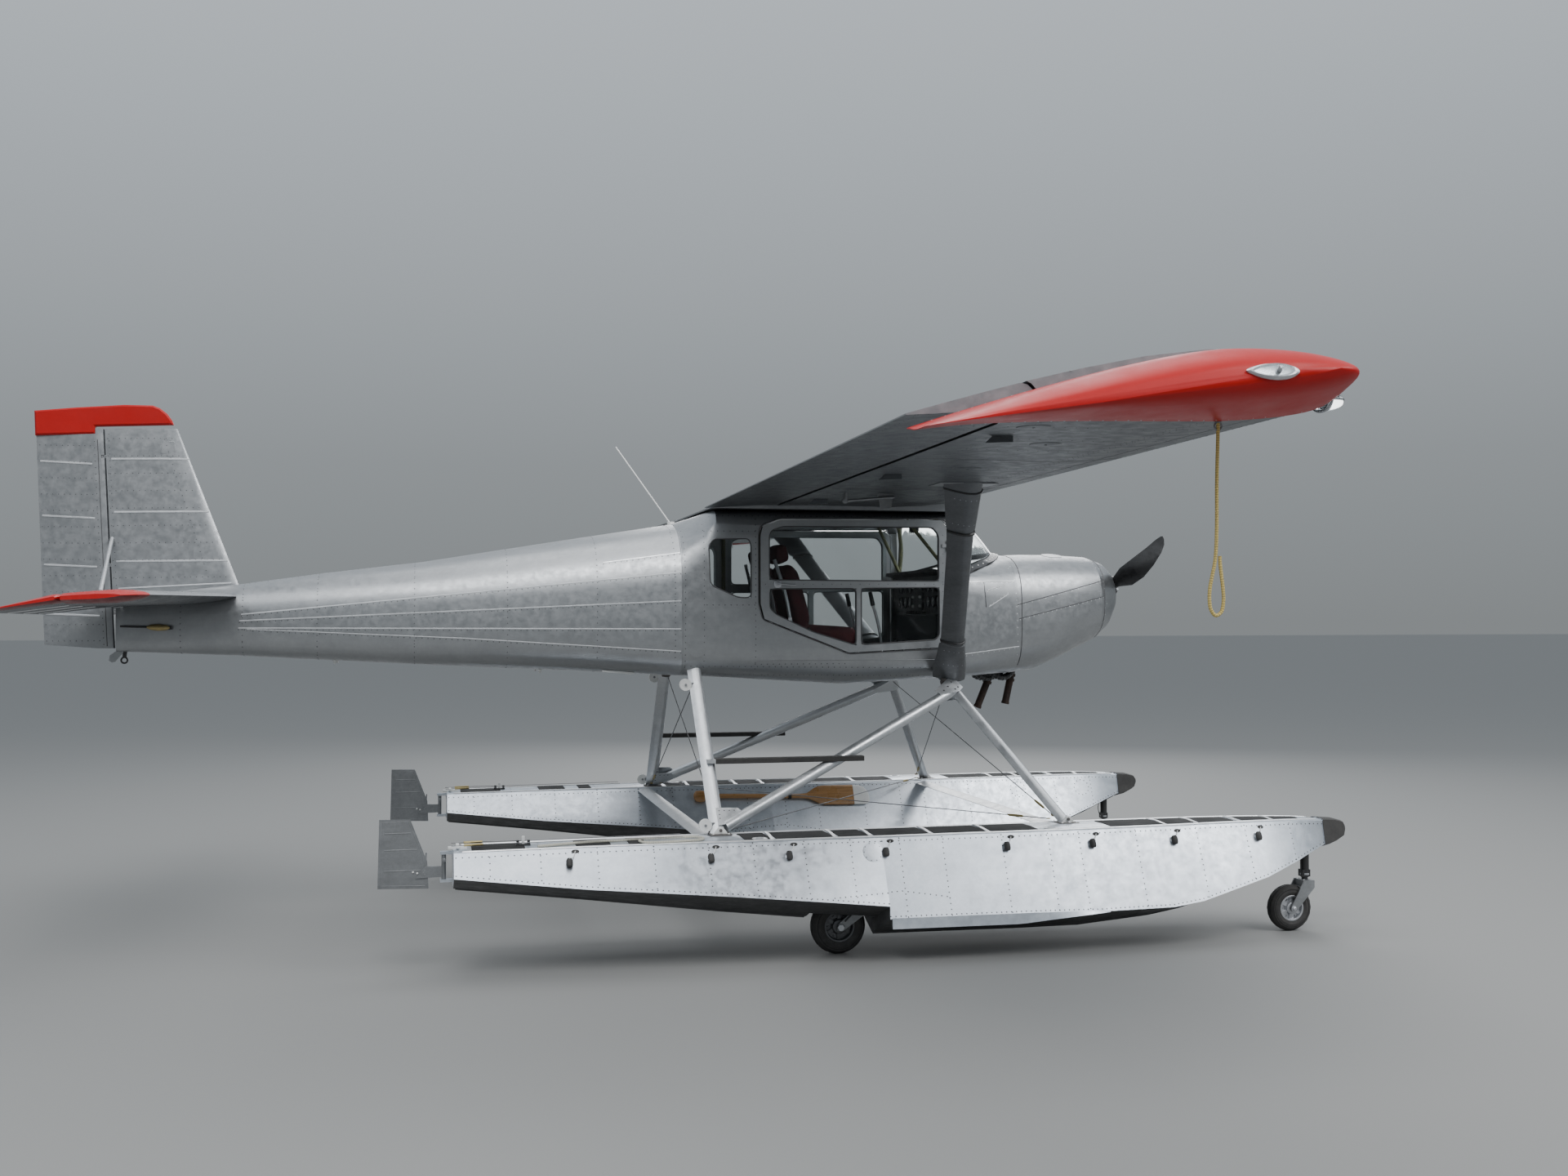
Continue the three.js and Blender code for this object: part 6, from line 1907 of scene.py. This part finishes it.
@dataclass
class Floats:
    """Rivets, plugs, covers, deck strips and stern gear of the two floats."""

    y: float = 1.306
    # Place along X of each drain plug
    plugs: tuple = (-0.777, -0.089, 0.305, 0.805, 1.452, 1.923, 2.391, 2.895)
    columns: tuple = (-1.152, -0.912, -0.639, -0.364, -0.095, 0.129, 0.389, 0.627, 0.885, 1.113, 1.433, 1.687,
                      1.857, 2.18, 2.535, 2.828, 3.112)
    # Columns: start and end along X of each dark strip on the deck
    strips: tuple = ((-1.235, -0.98), (-0.735, -0.565), (-0.476, -0.394), (0.1, 0.235), (0.26, 0.555),
                     (0.585, 0.74), (0.77, 1.06), (1.09, 1.37), (1.4, 1.66), (2.07, 2.371), (2.395, 2.563),
                     (2.58, 2.8), (2.85, 3.02), (3.045, 3.21))
    # Columns: x, half width at the chine, chine, keel, gunwale, half width of the deck
    hull: tuple = (
        (-1.31, 0.235, 0.488, 0.406, 0.591, 0.14), (-0.7, 0.29, 0.424, 0.334, 0.598, 0.15),
        (0, 0.325, 0.367, 0.244, 0.602, 0.163), (0.5, 0.33, 0.318, 0.188, 0.604, 0.165),
        (0.786, 0.33, 0.288, 0.165, 0.604, 0.165), (0.794, 0.33, 0.225, 0.098, 0.604, 0.165),
        (1.56, 0.33, 0.221, 0.091, 0.606, 0.165), (1.92, 0.33, 0.215, 0.092, 0.608, 0.165),
        (2.328, 0.318, 0.218, 0.126, 0.61, 0.155), (2.5, 0.306, 0.24, 0.154, 0.611, 0.147),
        (2.653, 0.288, 0.279, 0.194, 0.612, 0.138), (2.907, 0.245, 0.34, 0.268, 0.612, 0.12),
        (3.107, 0.184, 0.403, 0.346, 0.61, 0.1), (3.25, 0.122, 0.449, 0.412, 0.606, 0.078),
        (3.336, 0.08, 0.473, 0.449, 0.6, 0.059),
    )

    def size(self, x: Array, column: int) -> Array:
        """One column of the hull's sizes at places along X."""
        rows = np.array(self.hull)
        return np.interp(x, rows[:, 0], rows[:, column])

    def build(self) -> None:
        """Dresses both floats; what is outboard is mirrored."""
        for side in Side:
            cover = Cover(side.of("float"))
            self.rivets(side, cover)
            self.drains(side, cover)
            self.deck(side, cover)
            self.stern(side)
            self.rails(side)

    def rivets(self, side: Side, cover: Cover) -> None:
        """Lays rivets in columns on the sides, and along the gunwales, chines and keel.

        Args:
            side: side of the aircraft.
            cover: outer faces of the float.
        """
        s = side.value
        rows = [([x, 0, 0.1], [x, 0, 0.6], 0.026) for x in self.columns]
        hull = np.array(self.hull)
        for a, b in zip(hull[:-1], hull[1:]):
            if b[0] - a[0] > 0.05:
                rows.append(([a[0], 0, a[2] + 0.012], [b[0], 0, b[2] + 0.012], 0.026))
                rows.append(([a[0], 0, a[4] - 0.016], [b[0], 0, b[4] - 0.016], 0.03))
        rows += [([0.51, 0, 0.338], [0.87, 0, 0.352], 0.028), ([0.87, 0, 0.352], [1.1, 0, 0.318], 0.028)]
        shift = ACROSS * s * self.y
        rows = [(a + shift, b + shift, pitch) for a, b, pitch in rows]
        shapes = [cover.rivets(rows, toward, 0.0056, 0.002) for toward in (ACROSS, -ACROSS)]
        across = [([x, s * self.y - 0.14, 0], [x, s * self.y + 0.14, 0], 0.03) for x in self.columns[1:-1]]
        shapes.append(cover.rivets(across, -UP, 0.0036, 0.0015))
        for x, z in ((2.548, 0.532), (3.036, 0.53)):
            ring = circle([x, 0, z], 1, 12, 0.056 * AHEAD, 0.05 * UP)
            shapes.append(domes(*cover.cast(ring, ACROSS * s), 0.0055, 0.003))
        piece(side.of("float_rivets"), shapes, [FLOAT_RIVET])

    def oval(self, at: Array, normal: Array, wide: float, high: float, lift: float, finish: int) -> Shape:
        """A thin oval disc on the skin, longest along X.

        Args:
            at, normal: middle of the disc and the direction that it faces.
            wide, high: half sizes.
            lift: thickness over the skin.
            finish: index of the finish.

        Returns:
            The closed shape.
        """
        tangent = unit(np.cross(normal, np.cross(AHEAD, normal)))
        ring = circle(np.zeros(3), 1, 20, wide * tangent, high * np.cross(tangent, normal))
        steps = ((1, -0.001), (1, lift * 0.6), (0.8, lift), (0.1, lift))
        return skin(np.array([at + ring * share + normal * height for share, height in steps]), finish=finish)

    def drains(self, side: Side, cover: Cover) -> None:
        """Adds black plugs on thin cords, their oval pump-out holes and the round side cover.

        Args:
            side: side of the aircraft.
            cover: outer faces of the float.
        """
        s = side.value
        inward = -ACROSS * s
        shapes = []
        barrel = [(0.003, -0.023), (0.013, -0.022), (0.0165, -0.013), (0.0165, 0.01), (0.012, 0.021),
                  (0.003, 0.022)]
        seat = [(0.016, -0.001), (0.016, 0.002), (0.011, 0.004), (0.003, 0.004)]
        for x in self.plugs:
            low = 0.541 if x > 1.3 else 0.534
            at, out = cover.spot(x, 0, low, inward)
            hole, way = cover.spot(x + 0.032, 0, 0.588, inward)
            cord = curve([hole + 0.003 * way, (at + hole) / 2 + 0.005 * out + 0.004 * AHEAD,
                          at + 0.016 * out + 0.02 * UP], 12)
            shapes += [turned(barrel, at + out * 0.014, unit(np.cross(out, AHEAD)), 14),
                       turned(seat, at, out, 16, finish=2), self.oval(hole, way, 0.019, 0.01, 0.002, 0),
                       tube(cord, 0.0022, 6, finish=1)]
        shapes.append(washer(*cover.spot(0.739, 0, 0.54, inward), 0.052, 0.002, 36, 2))
        place, out = cover.cast(circle([0.739, 0, 0.54], 1, 10, 0.046 * AHEAD, 0.041 * UP), inward)
        shapes.append(domes(place + 0.002 * out, out, 0.004, 0.002, 3))
        piece(side.of("float_drains"), shapes, [RUBBER, WHITE, FLOAT_SKIN, FLOAT_RIVET])

    def deck(self, side: Side, cover: Cover) -> None:
        """Lays dark non-slip strips between silver straps and edge beads along the deck.

        Args:
            side: side of the aircraft.
            cover: outer faces of the float.
        """
        s = side.value
        dark, bright, lids = [], [], []
        lift = np.array([0, 0, 0.003])
        for a, b in self.strips:
            x = np.concatenate([a + np.array([0, 0.003, 0.009]), np.linspace(a + 0.02, b - 0.02, 5),
                                b - np.array([0.009, 0.003, 0])])
            ends = np.minimum(x - a, b - x)
            wide = self.size(x, 5) - 0.05 - 0.009 * (1 - np.sqrt(np.clip(ends / 0.009, 0, 1)))
            row = [cover.cast(np.c_[x, s * self.y + k * wide, 0 * x], -UP)[0] for k in (-1, 0, 1)]
            if min(len(r) for r in row) == len(x):
                dark.append(skin(np.stack([row[0] - lift, row[0] + lift, row[1] + lift, row[2] + lift,
                                           row[2] - lift], 1)))
        for x in (0.247, 0.57, 0.755, 1.075, 1.385, 2.383, 2.57, 2.825, 3.03):
            wide = float(self.size(x, 5)) - 0.022
            at, _ = cover.cast([[x + 0.012 * k, s * self.y + wide * k, 0] for k in (-1, 0, 1)], -UP)
            at = at + 0.003 * UP
            bright += [bar(at[0], at[1], 0.018, 0.006), bar(at[1], at[2], 0.018, 0.006)]
        piece(side.of("deck_grip_strips"), dark, [GRIP_AND_GROOVE_SHADE], bevel=0.0012)
        x = np.linspace(-1.28, 3.3, 60)
        for way in SIDES:
            wide = self.size(x, 5)
            for inset, radius in ((0.013, 0.0048), (0.034, 0.0026)):
                at, _ = cover.cast(np.c_[x, s * self.y + way * (wide - inset), 0 * x], -UP)
                bright.append(tube(at + UP * 0.001, radius, 6, UP))
        foot, _ = cover.spot(-0.985, s * self.y, 0, -UP)
        bright.append(bar(foot, foot + 0.045 * UP, 0.016, 0.014, AHEAD, 1))
        bright.append(bar(foot + [-0.035, 0, 0.004], foot + [0.035, 0, 0.004], 0.03, 0.01, UP, 2))
        for dx in (-0.026, 0.026):
            bright.append(bar(foot + [dx, 0, 0.004], foot + [dx, 0, 0.026], 0.018, 0.014, AHEAD, 2))
        piece(side.of("deck_fittings"), bright, [BRIGHT_TRIM_AND_HIGHLIGHT, WHITE, BLACK], bevel=0.0012)
        for x in (0.18, 1.74):
            at, out = cover.spot(x, s * (self.y + 0.095), 0, -UP)
            lids += [washer(at, out, 0.04, 0.004, 32), grip(at + out * 0.006, 0.02, 0.006)]
        piece(side.of("deck_lids"), lids, [TUBE], bevel=0.0008)

    def rails(self, side: Side) -> None:
        """Adds the spray plates along the forward chine and the keel strips fore and aft of the step.

        Args:
            side: side of the aircraft.
        """
        s = side.value
        shapes = []
        x = np.linspace(0.8, 1.96, 24)
        chine = self.size(x, 2)
        for way in SIDES:
            wide = s * self.y + way * 0.3305
            drop = 0.048 * np.clip((1.98 - x) / 0.5, 0.05, 1)
            top = np.stack([x, np.full(24, wide) + way * 0.0012, chine + 0.004], -1)
            low = np.stack([x, np.full(24, wide) + way * 0.01, chine - drop], -1)
            inner = np.stack([x, np.full(24, wide) - way * 0.004, chine - drop * 0.55 - 0.002], -1)
            shapes.append(skin(np.stack([top, low, low - [0, way * 0.003, 0], inner], 1)))
        hull = np.array(self.hull)
        for rows, radius in ((hull[hull[:, 0] > 0.79], 0.0075), (hull[:4], 0.0065)):
            path = np.c_[rows[:, 0], np.full(len(rows), s * self.y), rows[:, 3]]
            if radius < 0.007:
                path[-1] = [0.43, s * self.y, self.size(0.43, 3)]
            shapes.append(tube(path, radius, 8, ACROSS, 1))
        # The keel strips take the near-black float bottom finish, a painted shade.
        piece(side.of("spray_plates"), shapes, [FLOAT_SKIN, FLOAT_BOTTOM_SHADE], smooth=60)

    def stern(self, side: Side) -> None:
        """Adds the stern's hinge plate, the water rudder's ribs and straps, and its steering cables.

        Args:
            side: side of the aircraft.
        """
        s = side.value
        y = s * self.y
        fixed, moving = [], []
        board = [(-1.324, 0.43), (-1.3205, 0.43), (-1.3205, 0.585), (-1.324, 0.585)]
        fixed.append(plate(outline(board, y), ACROSS, 0.13))
        for z in (0.447, 0.567):
            for dy in (-0.045, 0.045):
                fixed.append(domes(np.array([[-1.3242, y + dy, z - 0.006], [-1.3242, y + dy, z + 0.006]]),
                                   -AHEAD, 0.006, 0.004))
        piece(side.of("stern_plate"), fixed, [TUBE])
        for dy in (-0.05, 0.05):
            moving.append(turned([(0.002, -0.008), (0.008, -0.008), (0.008, 0.008), (0.002, 0.008)],
                                 [-1.365, y + dy, 0.551], UP, 12))
        blade = [(-1.655, 0.735), (-1.53, 0.733), (-1.462, 0.56), (-1.452, 0.425), (-1.66, 0.43)]
        moving.append(closed_tube(outline(blade, y), 0.0042, 6))
        for z in (0.5, 0.6, 0.68):
            moving.append(tube([[-1.645, y, z], [-1.475 - max(z - 0.56, 0) * 0.38, y, z]], 0.0046, 6))
        bolts = [(-1.455, 0.482), (-1.455, 0.5), (-1.462, 0.491), (-1.49, 0.486), (-1.51, 0.492)]
        strap = [(-1.5, 0.462), (-1.372, 0.466), (-1.372, 0.516), (-1.45, 0.52)]
        for way in SIDES:
            moving.append(domes(outline(bolts, y + way * 0.006), ACROSS * way, 0.006, 0.004, 1))
            moving.append(plate(outline(strap, y + way * 0.0075), ACROSS, 0.003))
        moving.append(bar([-1.452, y, 0.52], [-1.448, y, 0.585], 0.01, 0.008, AHEAD))
        piece(side.of("water_rudder_frame"), moving, [STEEL, WHITE], side.of("water_rudder"), bevel=0.0006)
        rods = []
        for dy in (-0.052, 0.052):
            run = [[-1.33, y + dy, 0.618], [-1.18, y + dy * 0.9, 0.622], [-1, y + dy * 0.8, 0.622]]
            rods.append(tube(np.array(run), 0.0022, 6))
            rods.append(tube([[-1.27, y + dy * 0.96, 0.62], [-1.18, y + dy * 0.9, 0.622]], 0.006, 8,
                             finish=1))
            rods.append(tube([[-1, y + dy * 0.8, 0.622], [-0.2, y + dy, 0.628]], 0.0018, 6))
        rods.append(bar([-1.345, y, 0.603], [-1.255, y, 0.603], 0.03, 0.012, UP, 2))
        rods.append(bar([-1.3, y - 0.062, 0.613], [-1.3, y + 0.062, 0.613], 0.014, 0.01, UP, 2))
        piece(side.of("water_rudder_cables"), rods, [WIRE, BRASS, WHITE], bevel=0.0006)


@dataclass
class Paddle:
    """The wooden paddle on the port float: one loft of rounded sections, white at the blade's end."""

    # Columns: x, lower edge, upper edge, half thickness
    rows: tuple = (
        (0.2655, 0.536, 0.558, 0.007), (0.27, 0.526, 0.569, 0.012), (0.282, 0.514, 0.581, 0.0145),
        (0.31, 0.51, 0.583, 0.015), (0.334, 0.513, 0.58, 0.015), (0.35, 0.524, 0.568, 0.015),
        (0.372, 0.531, 0.561, 0.0148), (0.42, 0.5315, 0.56, 0.0145), (0.7, 0.5245, 0.553, 0.0145),
        (0.98, 0.518, 0.546, 0.0142), (1.03, 0.514, 0.549, 0.0125), (1.055, 0.506, 0.562, 0.0105),
        (1.08, 0.495, 0.579, 0.009), (1.11, 0.482, 0.59, 0.0075), (1.146, 0.474, 0.595, 0.0068),
        (1.25, 0.471, 0.596, 0.0066), (1.352, 0.47, 0.595, 0.0064), (1.353, 0.47, 0.595, 0.0064),
        (1.4, 0.4695, 0.591, 0.0062), (1.428, 0.47, 0.579, 0.006), (1.446, 0.474, 0.56, 0.0055),
        (1.456, 0.481, 0.543, 0.0045), (1.4605, 0.492, 0.525, 0.0025),
    )
    painted: int = 17

    def leaning(self, z: Array) -> Array:
        """Place across the aircraft of the paddle's middle at a height."""
        return 1.084 + (z - 0.535) * 0.466

    def loft(self, rows: Array, finish: int) -> Shape:
        """A skin through flattened round sections, each set at its place along X.

        Args:
            rows: x, lower edge, upper edge and half thickness of each section.
            finish: index of the finish.

        Returns:
            The closed shape.
        """
        turn = turns(28)
        across, rise = np.cos(turn), np.sign(np.sin(turn)) * np.abs(np.sin(turn)) ** 0.75
        z = (rows[:, 1:2] + rows[:, 2:3]) / 2 + (rows[:, 2:3] - rows[:, 1:2]) / 2 * rise
        y = self.leaning(z) - rows[:, 3:4] * across
        return skin(np.stack([rows[:, :1] + 0 * z, y, z], -1), finish=finish)

    def build(self) -> None:
        """Replaces the CAD paddle and clips the shaft to the float."""
        rows = np.array(self.rows)
        wood, white = rows[:self.painted], rows[self.painted:]
        made = piece("paddle_shaft_and_blade", [self.loft(wood, 0), self.loft(white, 1)], [WOOD, WHITE],
                     smooth=50)
        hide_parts("paddle")
        cover = Cover("float_left")
        shapes = []
        for x, z in ((0.403, 0.545), (0.911, 0.535)):
            wall, _ = cover.spot(x, 0, z, ACROSS)
            middle = np.array([x, float(self.leaning(np.array(z))), z])
            ring = circle(middle, 0.0185, 20, ACROSS)
            shapes += [closed_tube(ring + dx * AHEAD, 0.0035, 6) for dx in (-0.008, -0.003, 0.003, 0.008)]
            shapes.append(bar(middle + 0.016 * ACROSS, wall + 0.006 * ACROSS, 0.022, 0.026))
        piece("paddle_clips", shapes, [RUBBER], bevel=0.001)


@dataclass
class Rigging:
    """Wires, turnbuckles, pulleys and gussets of the float struts."""

    foot_y: float = 1.215
    wire: float = 0.0028

    def stay(self, start: Array, end: Array) -> list:
        """One wire with a turnbuckle near its lower end and a small eye at each end.

        Args:
            start, end: its upper and lower end.

        Returns:
            The shapes of the wire, turnbuckle and eyes.
        """
        start, end = np.asarray(start, float), np.asarray(end, float)
        way = unit(end - start)
        shapes = [tube([start, end], self.wire, 6)]
        body = [(0.003, -0.05), (0.0062, -0.042), (0.0075, 0), (0.0062, 0.042), (0.003, 0.05)]
        shapes.append(turned(body, end + 0.07 * (start - end), way, 10, finish=1))
        side = unit(np.cross(way, UP))
        return shapes + [closed_tube(circle(at, 0.009, 14, way, side), 0.003, 6, 1) for at in (start, end)]

    def wires(self) -> None:
        """Crosses wires between the rear struts, the front struts and the floats."""
        top = {"rear": (0.0, 0.57, 1.365), "front": (1.448, 0.6, 1.33)}
        foot = {"rear": (0.01, 1.165, 0.634), "front": (1.835, 1.165, 0.65)}
        shapes = []
        for end in ("rear", "front"):
            for s in SIDES:
                a = np.array(top[end]) * [1, s, 1] + [0.012 * s, 0, 0]
                b = np.array(foot[end]) * [1, -s, 1] + [0.012 * s, 0, 0]
                shapes += self.stay(a, b)
        for s in SIDES:
            a = np.array([0.06, s * 1.165, 0.63 + 0.004 * s])
            b = np.array([1.82, -s * 1.165, 0.63 + 0.004 * s])
            shapes += self.stay(a, b)
        piece("rigging_wires", shapes, [WIRE, BRASS])

    def pulley(self, at: Array, s: float, radius: float = 0.033) -> list:
        """A white grooved pulley with its bolt, turned to the side.

        Args:
            at: its middle.
            s: sign of its side.
            radius: radius of the rim.

        Returns:
            The shapes of the pulley and bolt.
        """
        rim = [(0.004, -0.009), (radius * 0.5, -0.007), (radius, -0.01), (radius, -0.006), (radius * 0.88, 0),
               (radius, 0.006), (radius, 0.01), (radius * 0.5, 0.007), (0.004, 0.009)]
        bolt = [(0.002, -0.016), (0.007, -0.016), (0.007, 0.016), (0.002, 0.016)]
        return [turned(rim, at, ACROSS * s, 28), turned(bolt, at, ACROSS * s, 8, finish=1)]

    def fittings(self) -> None:
        """Adds pulleys, gusset plates, bolts and the dark end brackets of the struts."""
        pulleys, plates, brackets = [], [], []
        for s in SIDES:
            pulleys += self.pulley(np.array([-0.066, s * 0.605, 1.352]), s)
            pulleys += self.pulley(np.array([-0.06, s * 1.196, 0.658]), s)
            pulleys.append(bar([-0.066, s * 0.605, 1.352], [-0.02, s * 0.6, 1.352], 0.022, 0.008, ACROSS, 1))
            pulleys.append(bar([-0.06, s * 1.196, 0.658], [-0.01, s * 1.186, 0.66], 0.022, 0.008, ACROSS, 1))
            lean = unit(np.array([0, -0.645 * s, 0.765]))
            out = np.cross(lean, AHEAD) * s
            flat = [(0.004, 0.64), (0.055, 0.646), (0.135, 0.706), (0.118, 0.72), (0.002, 0.722)]
            spots = [(0.018, 0.708), (0.018, 0.69), (0.018, 0.672), (0.045, 0.708), (0.072, 0.708),
                     (0.098, 0.708)]
            for way in SIDES:
                rows = [[[x, 1.163 * s, 0.675] + lean * (z - 0.675) / lean[2] + out * lift * way
                         for x, z in part] for part, lift in ((flat, 0.0275), (spots, 0.029))]
                plates += [plate(rows[0], out, 0.003), domes(rows[1], out * way, 0.005, 0.003, 1)]
            out = unit(np.array([0, 0.7 * s, 0.71]))
            middle = np.array([1.468, 0.592 * s, 1.312])
            flat = [(-0.115, -0.045), (-0.01, 0.052), (0.022, 0.055), (0.06, -0.02), (0.03, -0.052),
                    (-0.085, -0.075)]
            tangent = unit(np.cross(out, AHEAD)) * -s
            rows = np.array([middle + a * AHEAD + b * tangent for a, b in flat])
            for lift in (0.034, -0.034):
                plates.append(plate(rows + lift * out, out, 0.003))
            spots = ((-0.06, -0.045), (-0.03, -0.015), (0, 0.02), (0.03, -0.02), (0.01, -0.035))
            heads = np.array([middle + a * AHEAD + b * tangent + 0.0355 * out for a, b in spots])
            plates.append(domes(heads, out, 0.0075, 0.005, 1))
            for x, y, z in ((0, 0.548, 1.38), (1.446, 0.56, 1.358)):
                collar = [(0.012, -0.028), (0.024, -0.024), (0.027, 0), (0.024, 0.024), (0.012, 0.028)]
                brackets.append(turned(collar, [x, y * s, z], AHEAD, 16))
            for x in (0.012, 1.905):
                y = s * self.foot_y
                brackets.append(bar([x - 0.055, y, 0.6125], [x + 0.055, y, 0.6125], 0.095, 0.012))
                spots = [[x + dx, y + dy, 0.6185] for dx in (-0.04, 0.04) for dy in (-0.036, 0.036)]
                brackets.append(domes(spots, UP, 0.007, 0.006, 1))
                ear = [(x - 0.04, 0.616), (x + 0.04, 0.616), (x + 0.012, 0.652), (x - 0.012, 0.652)]
                brackets += [plate(outline(ear, y + s * dy), ACROSS, 0.006, 1) for dy in (-0.018, 0.018)]
                pin = [(0.002, -0.03), (0.008, -0.03), (0.008, 0.03), (0.002, 0.03)]
                brackets.append(turned(pin, [x, y, 0.636], ACROSS, 10))
        piece("rigging_pulleys", pulleys, [WHITE, STEEL], bevel=0.0005)
        piece("strut_gussets", plates, [TUBE, RIVET], bevel=0.0006)
        piece("strut_brackets", brackets, [BRACKET, WHITE], bevel=0.001)

    def steps(self) -> None:
        """Covers the step bars with dark grip sleeves."""
        shapes = []
        for s in SIDES:
            shapes.append(bar([0.035, 0.949 * s, 0.962], [0.846, 0.949 * s, 0.962], 0.06, 0.027))
        piece("step_grips", shapes, [RUBBER], bevel=0.003)

    def build(self) -> None:
        """Makes all the rigging."""
        self.wires()
        self.fittings()
        self.steps()


@dataclass
class Gear:
    """Hubs, bolts and tread of the four wheels, and the fittings of their legs."""

    y: float = 1.306
    # Columns: name, x, radius, half width
    wheels: tuple = (("main", 0.607, 0.1425, 0.048), ("nose", 3.169, 0.125, 0.038))

    def build(self) -> None:
        """Dresses each wheel and leg."""
        for side in Side:
            s = side.value
            for name, x, radius, half in self.wheels:
                centre = np.array([x, s * self.y, radius])
                self.hub(side.of(f"{name}_hub"), centre, radius, half, side.of(f"{name}_wheel"))
            self.leg(side)
            self.brake(side)

    def hub(self, name: str, centre: Array, radius: float, half: float, body: str) -> None:
        """Adds rim flanges, a hub cap, bolts and spokes to a wheel, and near-black rings as painted shade in
        its tread grooves and round its sidewalls.

        Args:
            name: name of the piece.
            centre: middle of the wheel.
            radius, half: radius and half width of the tyre.
            body: CAD body that turns.
        """
        shapes = []
        rim = radius * 0.52
        for way in SIDES:
            out = ACROSS * way
            flange = [(rim - 0.01, 0.36 * half), (rim - 0.004, 0.86 * half), (rim + 0.004, 0.88 * half),
                      (rim + 0.006, 0.8 * half), (rim - 0.001, 0.74 * half), (rim - 0.006, 0.34 * half)]
            shapes.append(turned(flange, centre, out, 40, loop=True))
            cap = [(0.0105, 0.84 * half), (0.25 * radius, 0.84 * half), (0.25 * radius, 0.9 * half),
                   (0.2 * radius, 0.97 * half), (0.0105, 0.97 * half)]
            shapes.append(turned(cap, centre, out, 28, loop=True))
            spots = circle(centre + out * 0.4 * half, 0.4 * radius, 6)
            shapes.append(domes(spots, out, 0.006, 0.008, 1))
            for turn in turns(6) + 0.5:
                spoke = np.array([math.cos(turn), 0, math.sin(turn)])
                shapes.append(bar(centre + out * 0.52 * half + 0.24 * radius * spoke,
                                  centre + out * 0.44 * half + (rim - 0.008) * spoke, 0.018, 0.01, out))
        piece(name, shapes, [HUB if "main" in name else RIM, STEEL], body, bevel=0.0008)
        # Thin near-black rings just proud of the tyre: painted shade in the grooves and round each sidewall.
        grooves = []
        for share in (-0.34, 0, 0.34):
            lift = radius + 0.0004 - 0.006 * abs(share)
            ring = [(lift - 0.001, share * half - 0.0022), (lift, share * half - 0.0018),
                    (lift, share * half + 0.0018), (lift - 0.001, share * half + 0.0022)]
            grooves.append(turned(ring, centre, ACROSS, 40, loop=True))
        for way in SIDES:
            band = [(radius * 0.8, half * 0.955 * way), (radius * 0.805, half * 0.985 * way),
                    (radius * 0.815, half * 0.98 * way), (radius * 0.82, half * 0.945 * way)]
            grooves.append(turned(band, centre, ACROSS, 40, loop=True))
        piece(f"{name}_tread", grooves, [GRIP_AND_GROOVE_SHADE], body)

    def leg(self, side: Side) -> None:
        """Adds collars and a thin hose to the nose leg, and bolts to its fork.

        Args:
            side: side of the aircraft.
        """
        s = side.value
        y = s * self.y
        x = 3.267
        fixed = [turned([(0.0172, 0.288), (0.0225, 0.288), (0.0235, 0.294), (0.0235, 0.43), (0.0172, 0.43)],
                        [x, y, 0], UP, 24, loop=True, finish=1),
                 turned([(0.023, 0.3), (0.0265, 0.301), (0.0265, 0.31), (0.023, 0.311)],
                        [x, y, 0], UP, 24, loop=True)]
        fixed.append(tube(curve([[x - 0.02, y + 0.016 * s, 0.3], [x - 0.034, y + 0.018 * s, 0.36],
                                 [x - 0.024, y + 0.016 * s, 0.42]], 12), 0.0028, 6, finish=1))
        piece(side.of("nose_leg_collars"), fixed, [RIM, BLACK])
        moving = [domes(np.array([[x - 0.02, y - 0.03, 0.2755], [x - 0.02, y + 0.03, 0.2755]]), UP,
                        0.007, 0.005)]
        for way in SIDES:
            out = ACROSS * way
            nut = [(0.002, 0), (0.012, 0), (0.012, 0.008), (0.007, 0.012), (0.002, 0.012)]
            moving.append(turned(nut, [3.169, y + way * 0.054, 0.125], out, 6))
            moving.append(washer(np.array([3.169, y + way * 0.0535, 0.125]), out, 0.016, 0.003, 20))
        piece(side.of("nose_fork_bolts"), moving, [RIM], side.of("nose_fork"))

    def brake(self, side: Side) -> None:
        """Adds a nut, bolts and a hose to the main wheel's arm.

        Args:
            side: side of the aircraft.
        """
        s = side.value
        y = s * self.y
        x, r = 0.607, 0.1425
        out = y + s * 0.068
        shapes = [washer(np.array([x, out, r]), ACROSS * s, 0.02, 0.008, 6, 1)]
        spots = np.array([[x + 0.09, out, 0.2], [x + 0.13, out, 0.255], [x + 0.14, out, 0.3]])
        shapes.append(domes(spots, ACROSS * s, 0.008, 0.005, 1))
        hose = curve([[x + 0.02, y + s * 0.072, r + 0.03], [x + 0.06, y + s * 0.074, r + 0.07],
                      [x + 0.11, y + s * 0.0725, 0.262], [x + 0.13, y + s * 0.072, 0.322]], 20)
        shapes.append(tube(hose, 0.004, 8, finish=2))
        piece(side.of("main_arm_fittings"), shapes, [STEEL, RIM, BLACK], bevel=0.0006)


def main() -> None:
    """Builds the visual model in order."""
    logging.basicConfig(level=logging.INFO, format="%(message)s")
    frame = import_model()
    studio = Studio()
    studio.camera()
    Ropes().build()
    carried = Carried(frame["nodes"])
    carried.dress(frame["record"])
    carried.paint_parts()
    for assembly in (TailCone, Cabin, Cockpit, Nose, Wing, Tail, Floats, Paddle, Rigging, Gear):
        assembly().build()
    studio.ground()
    studio.light()


if __name__ == "__main__":
    main()
